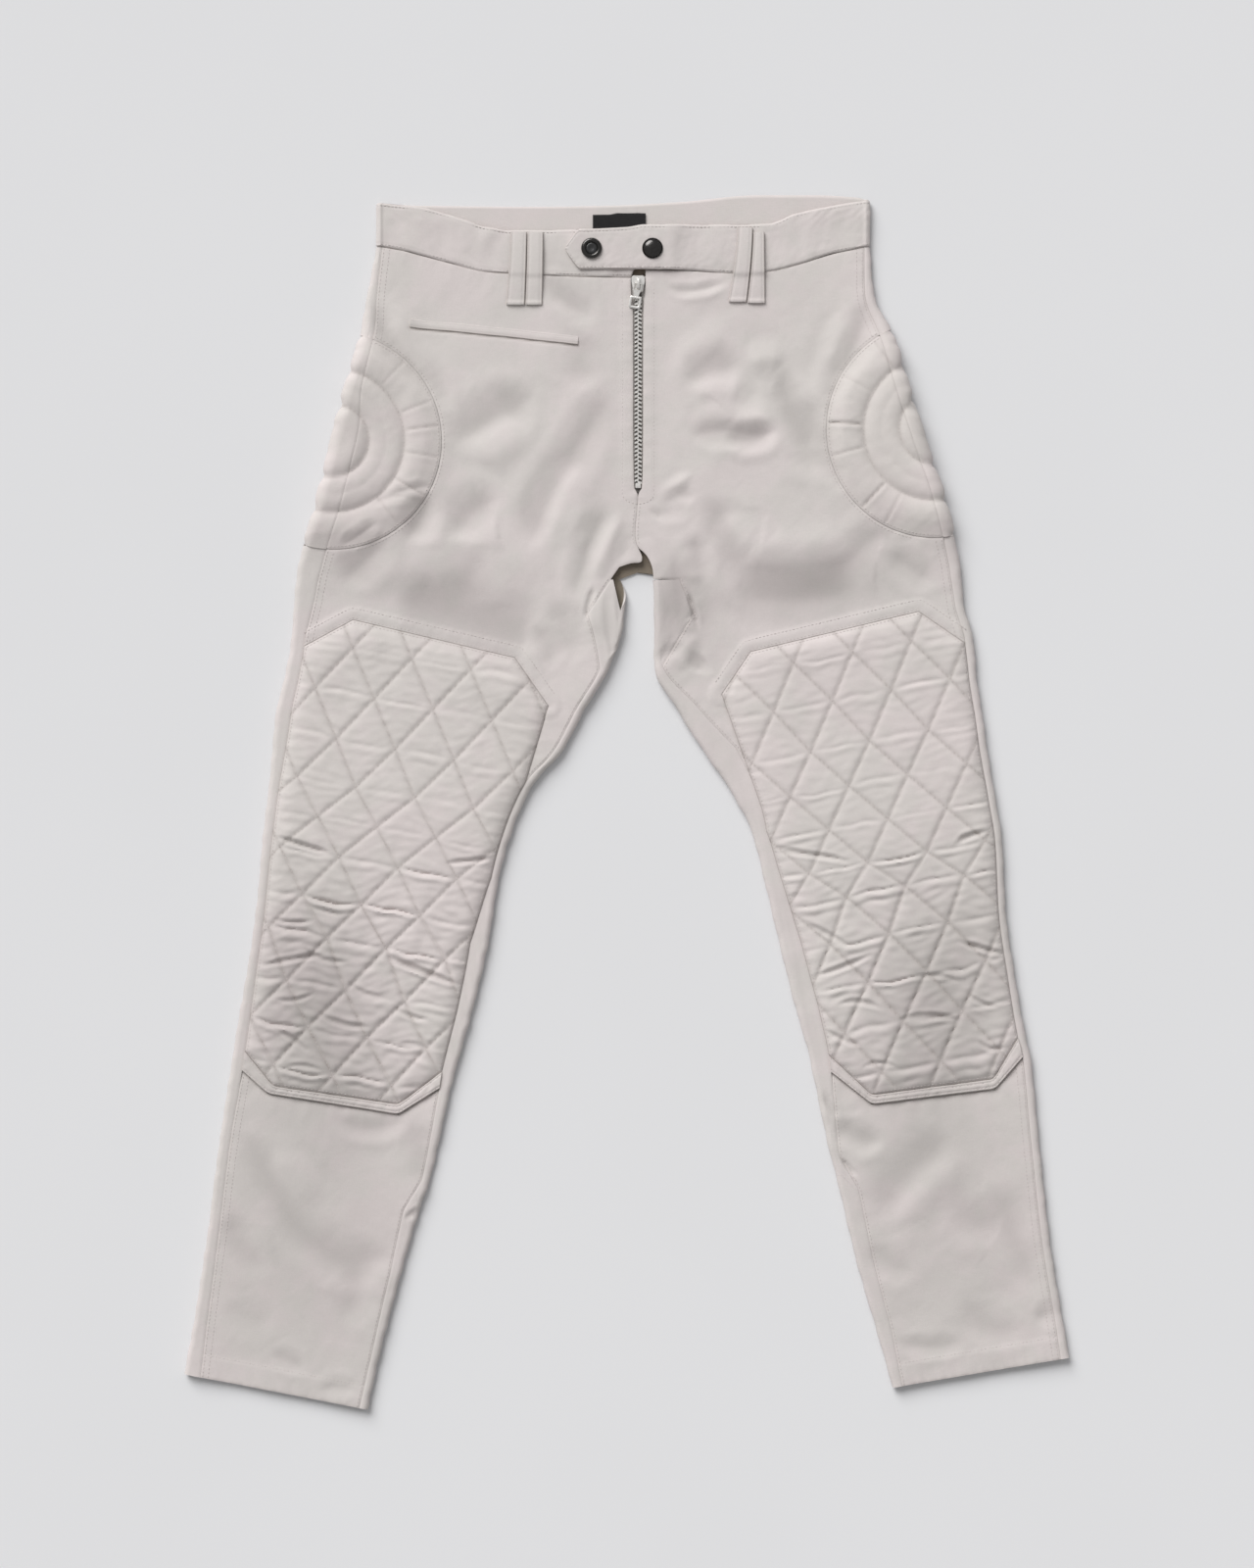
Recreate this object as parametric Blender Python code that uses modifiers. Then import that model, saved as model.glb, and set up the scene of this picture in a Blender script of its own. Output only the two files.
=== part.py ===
"""Motocross trousers of bone-coloured cotton, laid flat on their back.

The cloth lies in two layers. The back panels lie on the ground and wrap round the
sides of each leg, up to the seams that show in front. The front panels lie on them.
Every sheet is a closed wall of its real thickness, and neighbours end 0.3 mm apart.
Right and left are the wearer's, so the right leg lies at -X. Tables are in millimetres.
"""

import math

import bmesh
import bpy
import numpy as np
from mathutils import Matrix, Vector
from mathutils.bvhtree import BVHTree

MM = 0.001

# Walls and gaps
WALL = 1.6  # a cotton panel with its lining
BAND_WALL = 2.8  # the waistband, folded and stiffened
LOOP_WALL = 1.6
LABEL_WALL = 0.6
SEAM = 0.3  # between the walls of two pieces that are sewn together
LAID = 0.4  # under a piece that lies on a panel
LOWEST_FRONT = 4.9  # top of the front layer where it lies lowest

# Waist and zip
CENTRE_X = 8.3
BAND_Y = 470.9  # the waistband's lower edge behind
BAND_FRONT_Z = 7.2
TAB_Z = BAND_FRONT_Z + SEAM + BAND_WALL
TAB_RISE = (34.0, 60.0)  # X over which the left band climbs on to the right one
BAND_FOLD = 8.0  # height of the band's folds at the hips
BAND_FOLD_RADIUS = 5.0
ZIP_X = 9.4
ZIP_TOP_Y = 446.0
ZIP_END_Y = 269.0
ZIP_LEVEL = 6.5  # top of the fronts beside the zip
ZIP_CALM = 30.0  # how far from the zip the folds fade out
SNAP_RADIUS = 8.8

# Hips and knees
HIP_RINGS = (30.7, 60.6, 92.0)  # radii of the sewn circles
HIP_CROWN = 4.2
HIP_REST = 5.0  # the padding that lies under the hip
HIP_LIFT = 3.0
HIP_TIP = 0.6  # how far apart the sewn circles stay where they run out on a seam
PAD_EDGE = 0.8  # the rise of a padded panel at its stitched edge
KNEE_CROWN = 4.6
KNEE_EDGE = 11.0  # how far in from its edge a knee panel is full
KNEE_RIM = 3.0  # the row of points that holds a knee panel's stitched edge
BINDING_CROWN = (1.6, 2.4, 1.6)  # the rise of the binding's upper edge, middle and lower edge
FADE = 55.0  # how far in from a fold the cloth falls to its middle height
FOLD_IN = 5.0  # where the height of a leg's fold is taken, in from its end
FOLD_WIDTH = 0.6  # the fold's width for each millimetre of its height
FOLD_STEPS = 4
FRONT_CELL = 24.0  # the spacing of the points that hold a front panel's folds

# One row for each section across a leg, from the waist down. out and in are the ends of
# the section at the two folds, side and inseam the distances from them to the seams in
# front, sweep how much lower the inseam lies than the section, tuck the distance to the
# inner leg panel's hidden edge, and the heights those of the folds and of the middle.
SECTION = ("out_x", "out_y", "in_x", "in_y", "side", "inseam", "sweep", "tuck", "h_out", "h_in", "h_mid")
RIGHT_ROWS = (
    (-212.5, 470.5, 8.3, 470.5, 5.0, 0.0, 0.0, 0.0, 8.0, 6.5, 6.5),
    (-220.0, 431.0, 8.3, 429.0, 8.0, 0.0, 0.0, 0.0, 9.0, 6.5, 6.8),
    (-226.0, 397.5, 8.3, 393.5, 12.0, 0.0, 0.0, 0.0, 11.0, 6.5, 7.2),
    (-239.0, 352.0, 8.3, 348.0, 15.0, 0.0, 0.0, 0.0, 12.5, 6.5, 7.8),
    (-250.5, 306.5, 8.3, 300.5, 22.0, 0.0, 0.0, 0.0, 13.0, 6.5, 8.2),
    (-263.0, 256.5, 8.3, 250.5, 22.0, 0.0, 0.0, 0.0, 12.5, 6.8, 8.4),
    (-279.0, 198.5, 8.3, 191.0, 20.0, 0.0, 0.0, 0.0, 10.0, 7.5, 8.4),
    (-279.3, 196.5, -1.0, 188.5, 19.5, 13.0, 0.0, 6.5, 10.0, 7.8, 8.4),
    (-282.0, 172.0, -3.5, 158.5, 17.0, 30.0, 0.0, 14.0, 9.0, 8.5, 8.2),
    (-285.0, 133.5, -16.0, 113.0, 11.5, 7.0, 0.0, 22.0, 8.5, 8.5, 7.6),
    (-290.5, 105.5, -35.5, 79.5, 12.0, 7.0, 0.0, 26.0, 8.5, 8.5, 7.0),
    (-298.0, 74.0, -55.5, 42.5, 13.0, 7.0, 0.0, 26.0, 8.5, 8.0, 7.0),
    (-300.5, 45.0, -79.0, 16.0, 11.0, 7.0, 0.0, 26.0, 8.5, 8.0, 7.2),
    (-304.5, 6.0, -98.0, -25.5, 8.5, 6.5, 0.0, 26.0, 8.5, 8.0, 7.8),
    (-309.0, -32.5, -108.5, -64.0, 8.0, 6.5, 0.0, 26.0, 8.5, 8.0, 8.2),
    (-314.5, -92.0, -118.0, -121.0, 7.5, 15.0, 0.0, 26.0, 8.5, 8.0, 7.8),
    (-322.0, -142.0, -129.5, -171.0, 8.0, 13.0, 0.0, 26.0, 8.0, 8.0, 7.0),
    (-333.5, -209.0, -146.0, -229.0, 10.0, 11.0, 0.0, 26.0, 8.0, 7.5, 6.6),
    (-336.0, -226.0, -149.5, -243.0, 10.0, 9.5, 0.0, 26.0, 8.0, 7.5, 6.6),
    (-345.5, -287.0, -167.5, -320.5, 9.0, 6.5, 0.0, 26.0, 7.5, 7.5, 6.6),
    (-348.5, -310.0, -173.5, -338.0, 9.0, 16.0, 9.5, 26.0, 7.5, 7.5, 6.6),
    (-356.0, -368.0, -191.5, -399.0, 9.5, 9.0, 0.0, 26.0, 7.5, 7.5, 6.4),
    (-366.0, -432.5, -208.5, -464.0, 11.0, 7.0, 0.0, 26.0, 7.5, 7.5, 6.2),
    (-375.2, -484.0, -220.0, -514.0, 14.0, 7.0, 0.0, 26.0, 7.5, 7.5, 6.2),
)
LEFT_ROWS = (
    (206.0, 470.5, 8.3, 470.5, 5.0, 0.0, 0.0, 0.0, 8.0, 6.5, 6.5),
    (209.5, 431.0, 8.3, 429.0, 8.0, 0.0, 0.0, 0.0, 9.0, 6.5, 6.8),
    (225.0, 397.5, 8.3, 393.5, 12.0, 0.0, 0.0, 0.0, 11.0, 6.5, 7.2),
    (239.0, 352.0, 8.3, 348.0, 12.5, 0.0, 0.0, 0.0, 12.5, 6.5, 7.8),
    (253.0, 306.5, 8.3, 300.5, 11.5, 0.0, 0.0, 0.0, 13.0, 6.5, 8.2),
    (270.0, 256.5, 8.3, 250.5, 11.5, 0.0, 0.0, 0.0, 12.5, 6.8, 8.4),
    (283.0, 198.5, 8.3, 191.0, 10.0, 0.0, 0.0, 0.0, 10.0, 7.5, 8.4),
    (283.3, 196.5, 22.0, 188.5, 10.0, 22.0, 0.0, 6.5, 10.0, 7.8, 8.4),
    (285.0, 172.0, 23.0, 158.5, 8.0, 33.0, 0.0, 14.0, 9.0, 8.5, 8.2),
    (294.0, 136.0, 23.0, 115.5, 8.0, 7.0, 0.0, 22.0, 8.5, 8.5, 7.6),
    (296.5, 105.5, 41.5, 80.5, 7.0, 17.0, 0.0, 26.0, 8.5, 8.5, 7.0),
    (301.5, 74.0, 65.5, 42.5, 7.0, 27.0, 0.0, 26.0, 8.5, 8.0, 7.0),
    (305.5, 45.0, 84.0, 16.0, 7.0, 22.0, 0.0, 26.0, 8.5, 8.0, 7.2),
    (312.0, 6.0, 106.0, -25.5, 6.5, 12.0, 0.0, 26.0, 8.5, 8.0, 7.8),
    (318.0, -32.5, 116.0, -64.5, 6.5, 14.0, 0.0, 26.0, 8.5, 8.0, 8.2),
    (321.0, -92.0, 129.5, -121.0, 6.5, 18.0, 0.0, 26.0, 8.5, 8.0, 7.8),
    (328.0, -142.0, 142.0, -171.0, 6.5, 19.0, 0.0, 26.0, 8.0, 8.0, 7.0),
    (338.0, -198.5, 154.5, -215.0, 7.0, 16.5, 0.0, 26.0, 8.0, 7.5, 6.6),
    (342.0, -215.0, 157.5, -229.5, 7.0, 15.5, 0.0, 26.0, 8.0, 7.5, 6.6),
    (349.0, -285.0, 172.5, -299.5, 7.0, 7.0, 0.0, 26.0, 7.5, 7.5, 6.6),
    (351.0, -304.0, 177.0, -316.0, 7.0, 19.0, 13.0, 26.0, 7.5, 7.5, 6.6),
    (358.0, -367.5, 195.0, -391.0, 7.0, 14.0, 0.0, 26.0, 7.5, 7.5, 6.4),
    (368.5, -432.5, 212.5, -451.0, 7.0, 12.0, 0.0, 26.0, 7.5, 7.5, 6.2),
    (375.2, -470.0, 225.0, -495.5, 8.0, 8.0, 0.0, 26.0, 7.5, 7.5, 6.2),
)
CROTCH, KNEE_TOP, KNEE_IN, KNEE_FOOT, BAND_FOOT, INNER_END, HEM = 7, 9, 12, 17, 18, 20, 23

# The main folds of the front layer: a soft ridge, or a trough where height is negative,
# from one end to the other.
FOLD = ("x0", "y0", "x1", "y1", "width", "height")
FOLD_ROWS = (
    (-214.0, 420.0, -142.0, 330.0, 11.0, -2.2),
    (-87.0, 346.0, -150.0, 299.0, 13.0, -2.6),
    (-70.0, 300.0, -128.0, 262.0, 15.0, 2.2),
    (-104.0, 255.0, -150.0, 216.0, 11.0, -2.4),
    (-165.0, 262.0, -188.0, 219.0, 10.0, -1.8),
    (-196.0, 225.0, -243.0, 180.0, 12.0, -1.8),
    (-60.0, 232.0, -80.0, 160.0, 14.0, 2.4),
    (-15.0, 246.0, -45.0, 172.0, 10.0, -2.0),
    (-190.0, 190.0, -85.0, 158.0, 20.0, -2.6),
    (112.0, 352.0, 132.0, 378.0, 13.0, -2.0),
    (128.0, 372.0, 152.0, 315.0, 12.0, 2.6),
    (56.0, 336.0, 120.0, 336.0, 12.0, -2.2),
    (64.0, 300.0, 128.0, 296.0, 15.0, 2.2),
    (132.0, 340.0, 173.0, 270.0, 10.0, -2.4),
    (22.0, 250.0, 68.0, 262.0, 9.0, 1.6),
    (66.0, 244.0, 96.0, 190.0, 15.0, -2.4),
    (60.0, 172.0, 170.0, 160.0, 20.0, -2.8),
    (185.0, 196.0, 232.0, 152.0, 15.0, -1.8),
    (-205.0, -300.0, -250.0, -350.0, 18.0, 1.6),
    (-290.0, -320.0, -262.0, -400.0, 18.0, 1.6),
    (230.0, -300.0, 265.0, -350.0, 18.0, 1.6),
    (300.0, -330.0, 280.0, -410.0, 18.0, 1.6),
)


def table(columns, rows):
    """The rows as one array for each named column."""
    return {name: np.array(column, float) for name, column in zip(columns, zip(*rows))}


FOLDS = table(FOLD, FOLD_ROWS)


class Side:
    """What one leg is cut from. inward is the direction of X from the outer fold to the middle."""

    def __init__(self, name, inward, rows, hip, waist, zip_edge, crotch, knee, band):
        self.name = name
        self.inward = inward
        self.rows = table(SECTION, rows)
        self.hip = np.array(hip)
        self.waist = waist
        self.zip_edge = zip_edge
        self.crotch = crotch
        self.knee = knee
        self.band = band

    def row(self, at):
        """The section at a row number, which may lie between two rows."""
        numbers = np.arange(len(self.rows["out_x"]))
        return {name: float(np.interp(at, numbers, column)) for name, column in self.rows.items()}


# waist is the seam under the waistband from the side to the zip, zip_edge the front's edge
# from the zip's top to the crotch's point, crotch its edge from there to the inseam, and
# knee and band the free corners of the knee panel and of the binding at its foot.
RIGHT = Side(
    "right",
    1.0,
    RIGHT_ROWS,
    hip=(-249.0, 306.3),
    waist=(
        (-190.0, 467.5), (-173.0, 463.0), (-149.0, 456.5), (-123.0, 449.5), (-85.0, 447.2), (-40.0, 445.2),
    ),
    zip_edge=(
        (3.2, 444.6), (3.2, 431.0), (5.2, 424.0), (5.2, 267.5), (9.25, 261.0), (6.7, 228.0), (11.4, 215.0),
    ),
    crotch=((5.8, 205.8), (-5.8, 201.5)),
    knee={
        "top": ((-232.0, 155.0), (-95.0, 123.0)),
        "inner": (-66.5, 82.0),
        "foot": ((-299.5, -240.0), (-193.5, -255.5)),
    },
    band=((-304.0, -246.5), (-194.0, -264.0)),
)
LEFT = Side(
    "left",
    -1.0,
    LEFT_ROWS,
    hip=(260.6, 316.2),
    waist=(
        (190.0, 468.0), (174.0, 464.8), (142.0, 454.5), (119.0, 449.5), (93.0, 447.8), (47.0, 450.7),
    ),
    zip_edge=(
        (15.6, 451.2), (15.6, 431.0), (13.6, 424.0), (13.6, 267.5), (9.55, 261.0), (7.0, 228.0), (11.9, 215.0),
    ),
    crotch=((19.2, 207.5), (23.5, 193.5)),
    knee={
        "top": ((247.0, 162.0), (104.5, 128.0)),
        "inner": (80.0, 92.0),
        "foot": ((310.5, -234.0), (207.5, -247.5)),
    },
    band=((312.0, -242.5), (207.5, -255.5)),
)
SIDES = (RIGHT, LEFT)

# The upper edges of the waistband, and of its hidden back, from right to left.
BAND_TOP = (
    (-209.0, 508.0), (-173.5, 504.0), (-140.0, 494.5), (-119.5, 488.0), (-96.0, 484.8), (-41.5, 485.5),
    (0.0, 487.2), (15.0, 489.5), (93.0, 489.8), (120.0, 490.5), (142.0, 498.8), (174.0, 505.5), (203.0, 510.4),
)
BACK_TOP = (
    (-209.0, 508.0), (-173.5, 506.3), (-78.0, 505.5), (-16.6, 506.3), (47.0, 509.6), (110.0, 515.2),
    (158.0, 515.2), (197.5, 513.0), (203.0, 510.4),
)

# Each belt loop's ends: where its left and right edges start above and end below.
LOOP = ("name", "x0_top", "x1_top", "y_top", "x0_foot", "x1_foot", "y_foot")
LOOP_ROWS = (
    ("belt_loop_right_outer", -98.6, -84.9, 483.0, -102.8, -86.7, 421.6),
    ("belt_loop_right_inner", -84.3, -70.9, 483.0, -86.1, -71.9, 421.6),
    ("belt_loop_left_inner", 93.6, 106.4, 487.0, 85.6, 101.2, 424.0),
    ("belt_loop_left_outer", 107.0, 116.4, 483.0, 101.8, 117.0, 423.0),
)
WELT_ENDS = ((-183.4, 405.8), (-41.5, 391.4))
WELT_HALF = 3.6
LABEL_BOX = (-29.0, 15.8, 480.0, 499.7)
SNAP_RING_AT = (-30.0, 469.0)
SNAP_DOME_AT = (21.6, 469.0)

# Zip hardware
TAPE_HALF = 11.5
TAPE_WALL = 0.9
TAPE_Z = ZIP_LEVEL - WALL - SEAM
CHAIN_HALF = 2.6
STOP_HALF = 2.4
CHAIN_HEIGHT = 1.9
SLIDER_Y = 439.5
SLIDER_LENGTH = 14.0
SLIDER_HEIGHT = 3.0
SLIDER_HEAD = 11.4
SLIDER_TAIL = 8.4
SLIDER_TOP = TAPE_Z + SEAM + SLIDER_HEIGHT
BRIDGE_WIDTH = 2.4
PIVOT_Z = SLIDER_TOP + 1.6
TAB_SWING = math.radians(9.0)
TAB_PITCH = math.radians(4.5)
TAB_LENGTH = 21.2

COTTON = (0.60, 0.57, 0.55)
TAPE_COTTON = (0.50, 0.47, 0.45)
LABEL_BLACK = (0.02, 0.02, 0.02)
NICKEL = (0.62, 0.62, 0.64)
GUNMETAL = (0.10, 0.10, 0.11)


# ---------------------------------------------------------------- objects and materials


def clear_scene():
    for obj in list(bpy.data.objects):
        bpy.data.objects.remove(obj, do_unlink=True)


def new_collection(name):
    collection = bpy.data.collections.new(name)
    bpy.context.scene.collection.children.link(collection)
    return collection


def material(name, colour, roughness, metallic):
    made = bpy.data.materials.new(name)
    made.use_nodes = True
    shader = made.node_tree.nodes["Principled BSDF"]
    shader.inputs["Base Color"].default_value = (*colour, 1.0)
    shader.inputs["Roughness"].default_value = roughness
    shader.inputs["Metallic"].default_value = metallic
    return made


def add_object(collection, name, mesh, colour=COTTON, roughness=0.9, metallic=0.0):
    obj = bpy.data.objects.new(name, mesh)
    mesh.materials.append(material(name, colour, roughness, metallic))
    collection.objects.link(obj)
    return obj


def mesh_of(name, bm):
    bmesh.ops.recalc_face_normals(bm, faces=bm.faces)
    mesh = bpy.data.meshes.new(name)
    bm.to_mesh(mesh)
    bm.free()
    return mesh


def closed_sheet(name, outer, inner, kept=None):
    """A wall between two grids of points in millimetres. kept marks the cells it has."""
    rows, columns = outer.shape[:2]
    kept = np.ones((rows - 1, columns - 1), bool) if kept is None else kept
    number = np.arange(rows * columns).reshape(rows, columns)
    below = rows * columns
    faces = []
    around = np.pad(kept, 1)
    for i, j in zip(*np.nonzero(kept)):
        a, b, c, d = number[i, j], number[i, j + 1], number[i + 1, j + 1], number[i + 1, j]
        faces += [(a, b, c, d), (a + below, d + below, c + below, b + below)]
        beside = (around[i, j + 1], around[i + 1, j + 2], around[i + 2, j + 1], around[i + 1, j])
        for (p, q), covered in zip(((a, b), (b, c), (c, d), (d, a)), beside):
            if not covered:
                faces.append((q, p, p + below, q + below))
    points = np.concatenate([outer.reshape(-1, 3), inner.reshape(-1, 3)]) * MM
    mesh = bpy.data.meshes.new(name)
    mesh.from_pydata(points.tolist(), [], [tuple(int(n) for n in face) for face in faces])
    bm = bmesh.new()
    bm.from_mesh(mesh)
    bpy.data.meshes.remove(mesh)
    bmesh.ops.delete(bm, geom=[v for v in bm.verts if not v.link_faces], context="VERTS")
    return mesh_of(name, bm)


# ---------------------------------------------------------------- outlines and patches


def spread(points, count):
    """count + 1 points along a polyline that keep all its corners, the rest shared out by length."""
    points = np.array(points, float)
    lengths = np.linalg.norm(np.diff(points, axis=0), axis=1)
    shares = np.ones(len(lengths), int)
    while shares.sum() < count:
        shares[np.argmax(lengths / shares)] += 1
    made = [points[:1]]
    for start, end, share in zip(points[:-1], points[1:], shares):
        steps = np.linspace(0.0, 1.0, share + 1)[1:, None]
        made.append(start + (end - start) * steps)
    return np.concatenate(made)


def with_rims(line, rim):
    """The line with one more point near each end, rim from it."""
    first = line[0] + (line[1] - line[0]) * min(0.5, rim / np.linalg.norm(line[1] - line[0]))
    last = line[-1] + (line[-2] - line[-1]) * min(0.5, rim / np.linalg.norm(line[-2] - line[-1]))
    return np.concatenate([line[:1], [first], line[1:-1], [last], line[-1:]])


def patch(top, foot, left, right):
    """A grid between four lines of matching counts, each interior point blended from all four."""
    u = np.linspace(0.0, 1.0, len(top))[None, :, None]
    v = np.linspace(0.0, 1.0, len(left))[:, None, None]
    across = left[:, None] * (1 - u) + right[:, None] * u
    down = top[None] * (1 - v) + foot[None] * v
    corners = (1 - v) * ((1 - u) * top[0] + u * top[-1]) + v * ((1 - u) * foot[0] + u * foot[-1])
    return across + down - corners


def inset(line, by=SEAM / 2):
    """A closed outline moved inwards by a distance."""
    following = np.roll(line, -1, axis=0)
    before, after = line - np.roll(line, 1, axis=0), following - line
    before /= np.linalg.norm(before, axis=1)[:, None]
    after /= np.linalg.norm(after, axis=1)[:, None]
    area = np.sum(line[:, 0] * following[:, 1] - following[:, 0] * line[:, 1])
    turn = np.array([[0.0, 1.0], [-1.0, 0.0]]) if area > 0 else np.array([[0.0, -1.0], [1.0, 0.0]])
    normals = (before + after) @ turn
    normals /= np.linalg.norm(normals, axis=1)[:, None]
    reach = by / np.maximum(0.35, np.sum(normals * (after @ turn), axis=1))
    return line + normals * reach[:, None]


def shrunk(grid):
    """The grid with its rim moved inwards, so that neighbours on one line end a seam's gap apart."""
    rows, columns = grid.shape[:2]
    ring = [(0, j) for j in range(columns)] + [(i, columns - 1) for i in range(1, rows)]
    ring += [(rows - 1, j) for j in range(columns - 2, -1, -1)] + [(i, 0) for i in range(rows - 2, 0, -1)]
    i, j = np.array(ring).T
    moved = grid.copy()
    moved[i, j] = inset(grid[i, j])
    return moved


def distance_to(points, line):
    """The distance of each XY point from a polyline."""
    nearest = np.full(points.shape[:-1], np.inf)
    for start, end in zip(line[:-1], line[1:]):
        along = end - start
        share = np.clip(((points - start) @ along) / (along @ along), 0.0, 1.0)
        nearest = np.minimum(nearest, np.linalg.norm(points - start - share[..., None] * along, axis=-1))
    return nearest


def smooth(share):
    share = np.clip(share, 0.0, 1.0)
    return share * share * (3 - 2 * share)


# ---------------------------------------------------------------- heights of the front layer


def folds_at(points):
    """The height that the main folds add: each is a bell across its line, fading past its ends."""
    total = np.zeros(points.shape[:-1])
    for x0, y0, x1, y1, width, height in zip(*(FOLDS[name] for name in FOLD)):
        away = distance_to(points, np.array(((x0, y0), (x1, y1))))
        total += height * np.exp(-((away / width) ** 2))
    return total


def front_height(side, points):
    """The top of the front layer: high at the legs' folds, lower in the middle, with the main folds."""
    x, y = points[..., 0], points[..., 1]
    rows = side.rows

    def at(name, level):
        return np.interp(-y, -rows[level], rows[name])

    outer = side.inward * (x - at("out_x", "out_y"))
    inner = side.inward * (at("in_x", "in_y") - x)
    middle = at("h_mid", "out_y")
    height = middle + (at("h_out", "out_y") - middle) * (1 - smooth(outer / FADE))
    height = height + (at("h_in", "in_y") - middle) * (1 - smooth(inner / FADE))
    away = np.linalg.norm(points - side.hip, axis=-1) / HIP_RINGS[-1]
    height = height + HIP_LIFT * (1 - smooth((away - 0.8) / 0.5))
    calm = smooth(outer / ZIP_CALM) * smooth(np.abs(x - ZIP_X) / ZIP_CALM)
    height = height + folds_at(points) * calm
    above_end = smooth((y - ZIP_END_Y) / ZIP_CALM + 1.5)
    beside_zip = (1 - smooth((np.abs(x - ZIP_X) - TAPE_HALF) / ZIP_CALM)) * above_end
    height = height + (ZIP_LEVEL - height) * beside_zip
    return np.maximum(height, LOWEST_FRONT)


def laid_sheet(name, side, grid, crown=0.0, wall=WALL):
    """A panel of the front layer on an XY grid, its top raised by crown."""
    top = front_height(side, grid)
    outer = np.dstack([grid, top + crown])
    inner = np.dstack([grid, top - wall])
    return closed_sheet(name, outer, inner)


# ---------------------------------------------------------------- the sections of a leg

SPLIT = 7  # the column on the underside where the inner leg panel meets the back panel


def ring_crown(away):
    """The rise of the padding between the sewn circles at a distance from their centre."""
    edges = (-HIP_RINGS[0], *HIP_RINGS)
    rise = np.zeros_like(away)
    for start, end in zip(edges[:-1], edges[1:]):
        share = (away - start) / (end - start)
        inside = (share >= 0) & (share <= 1)
        rise = np.where(inside, np.sin(np.pi * np.clip(share, 0, 1)) ** 0.7, rise)
    return PAD_EDGE + HIP_CROWN * rise


def section(side, at, underside=WALL, padded=False):
    """The wall round a leg at one row, from the inseam round to the side seam: outer and inner points."""
    row = side.row(at)
    start = np.array((row["out_x"], row["out_y"]))
    end = np.array((row["in_x"], row["in_y"]))
    length = np.linalg.norm(end - start)
    along = (end - start) / length

    def on_row(distance):
        return start + along * distance

    def height(point):
        return float(front_height(side, np.array([point]))[0])

    def crown(point):
        return float(ring_crown(np.linalg.norm([point - side.hip], axis=1))[0]) if padded else 0.0

    outer, inner = [], []

    def top(point):
        outer.append((*point, height(point) + crown(point)))
        inner.append((*point, height(point) - WALL))

    def bottom(distance):
        outer.append((*on_row(distance), 0.0))
        inner.append((*on_row(distance), underside))

    def fold_of(seam, inseam):
        """The fold's height and how wide it is."""
        peak = height(on_row(length - FOLD_IN if inseam else FOLD_IN)) + (HIP_CROWN / 2 if padded else 0.0)
        return peak, min(FOLD_WIDTH * peak, seam - 0.8)

    def fold(peak, radius, start_angle, step, inseam):
        wall = min(underside, radius - 1.0)
        for angle in start_angle + step * np.arange(FOLD_STEPS + 1):
            for made, thick in ((outer, 0.0), (inner, wall)):
                reach = radius - (radius - thick) * math.cos(angle)
                level = peak / 2 + (peak / 2 - thick) * math.sin(angle)
                made.append((*on_row(length - reach if inseam else reach), level))

    upright, step = math.pi / 2, math.pi / FOLD_STEPS
    if row["inseam"] > 0.0:
        drop = np.array((0.0, -row["sweep"]))
        seam_at = length - row["inseam"]
        peak, radius = fold_of(row["inseam"], True)
        top(on_row(seam_at + SEAM / 2) + drop)
        top(on_row((seam_at + length - radius) / 2) + drop / 2)
        fold(peak, radius, upright, -step, True)
        split = length - row["tuck"]
    else:
        split = length - SEAM / 2
        for _ in range(SPLIT):
            bottom(split)
    bottom(split)
    peak, radius = fold_of(row["side"], False)
    bottom((split + radius) / 2)
    fold(peak, radius, -upright, step, False)
    top(on_row((radius + row["side"]) / 2))
    top(on_row(row["side"] - SEAM / 2))
    return np.array(outer), np.array(inner)


def sections(side, places, **how):
    made = [section(side, at, **how) for at in places]
    return np.array([outer for outer, _ in made]), np.array([inner for _, inner in made])


def seam_point(side, at, inseam):
    """Where a seam crosses a row, on the line that both its pieces share."""
    row = side.row(at)
    start = np.array((row["out_x"], row["out_y"]))
    end = np.array((row["in_x"], row["in_y"]))
    along = (end - start) / np.linalg.norm(end - start)
    if inseam:
        return end - along * row["inseam"] - np.array((0.0, row["sweep"]))
    return start + along * row["side"]


def seam_line(side, first, last, inseam=False):
    return [seam_point(side, at, inseam) for at in range(first, last + 1)]


def back_panel(collection, side):
    places = range(HEM + 1)
    outer, inner = sections(side, places)
    columns = outer.shape[1]
    kept = np.ones((HEM, columns - 1), bool)
    kept[:INNER_END, :SPLIT] = False
    toward_out = np.array((-side.inward * SEAM / 2, 0.0, 0.0))
    outer[CROTCH:INNER_END + 1, SPLIT] += toward_out
    inner[CROTCH:INNER_END + 1, SPLIT] += toward_out
    outer[INNER_END, :SPLIT, 1] -= SEAM / 2
    inner[INNER_END, :SPLIT, 1] -= SEAM / 2
    return add_object(collection, f"back_{side.name}", closed_sheet("back", outer, inner, kept))


def inner_leg_panel(collection, side):
    outer, inner = sections(side, range(CROTCH, INNER_END + 1))
    for grid in (outer, inner):
        grid[:, SPLIT, 0] += side.inward * SEAM / 2
        grid[-1, :, 1] += SEAM / 2
    mesh = closed_sheet("inner_leg", outer[:, :SPLIT + 1], inner[:, :SPLIT + 1])
    return add_object(collection, f"inner_leg_{side.name}", mesh)


# ---------------------------------------------------------------- front panels


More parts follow.
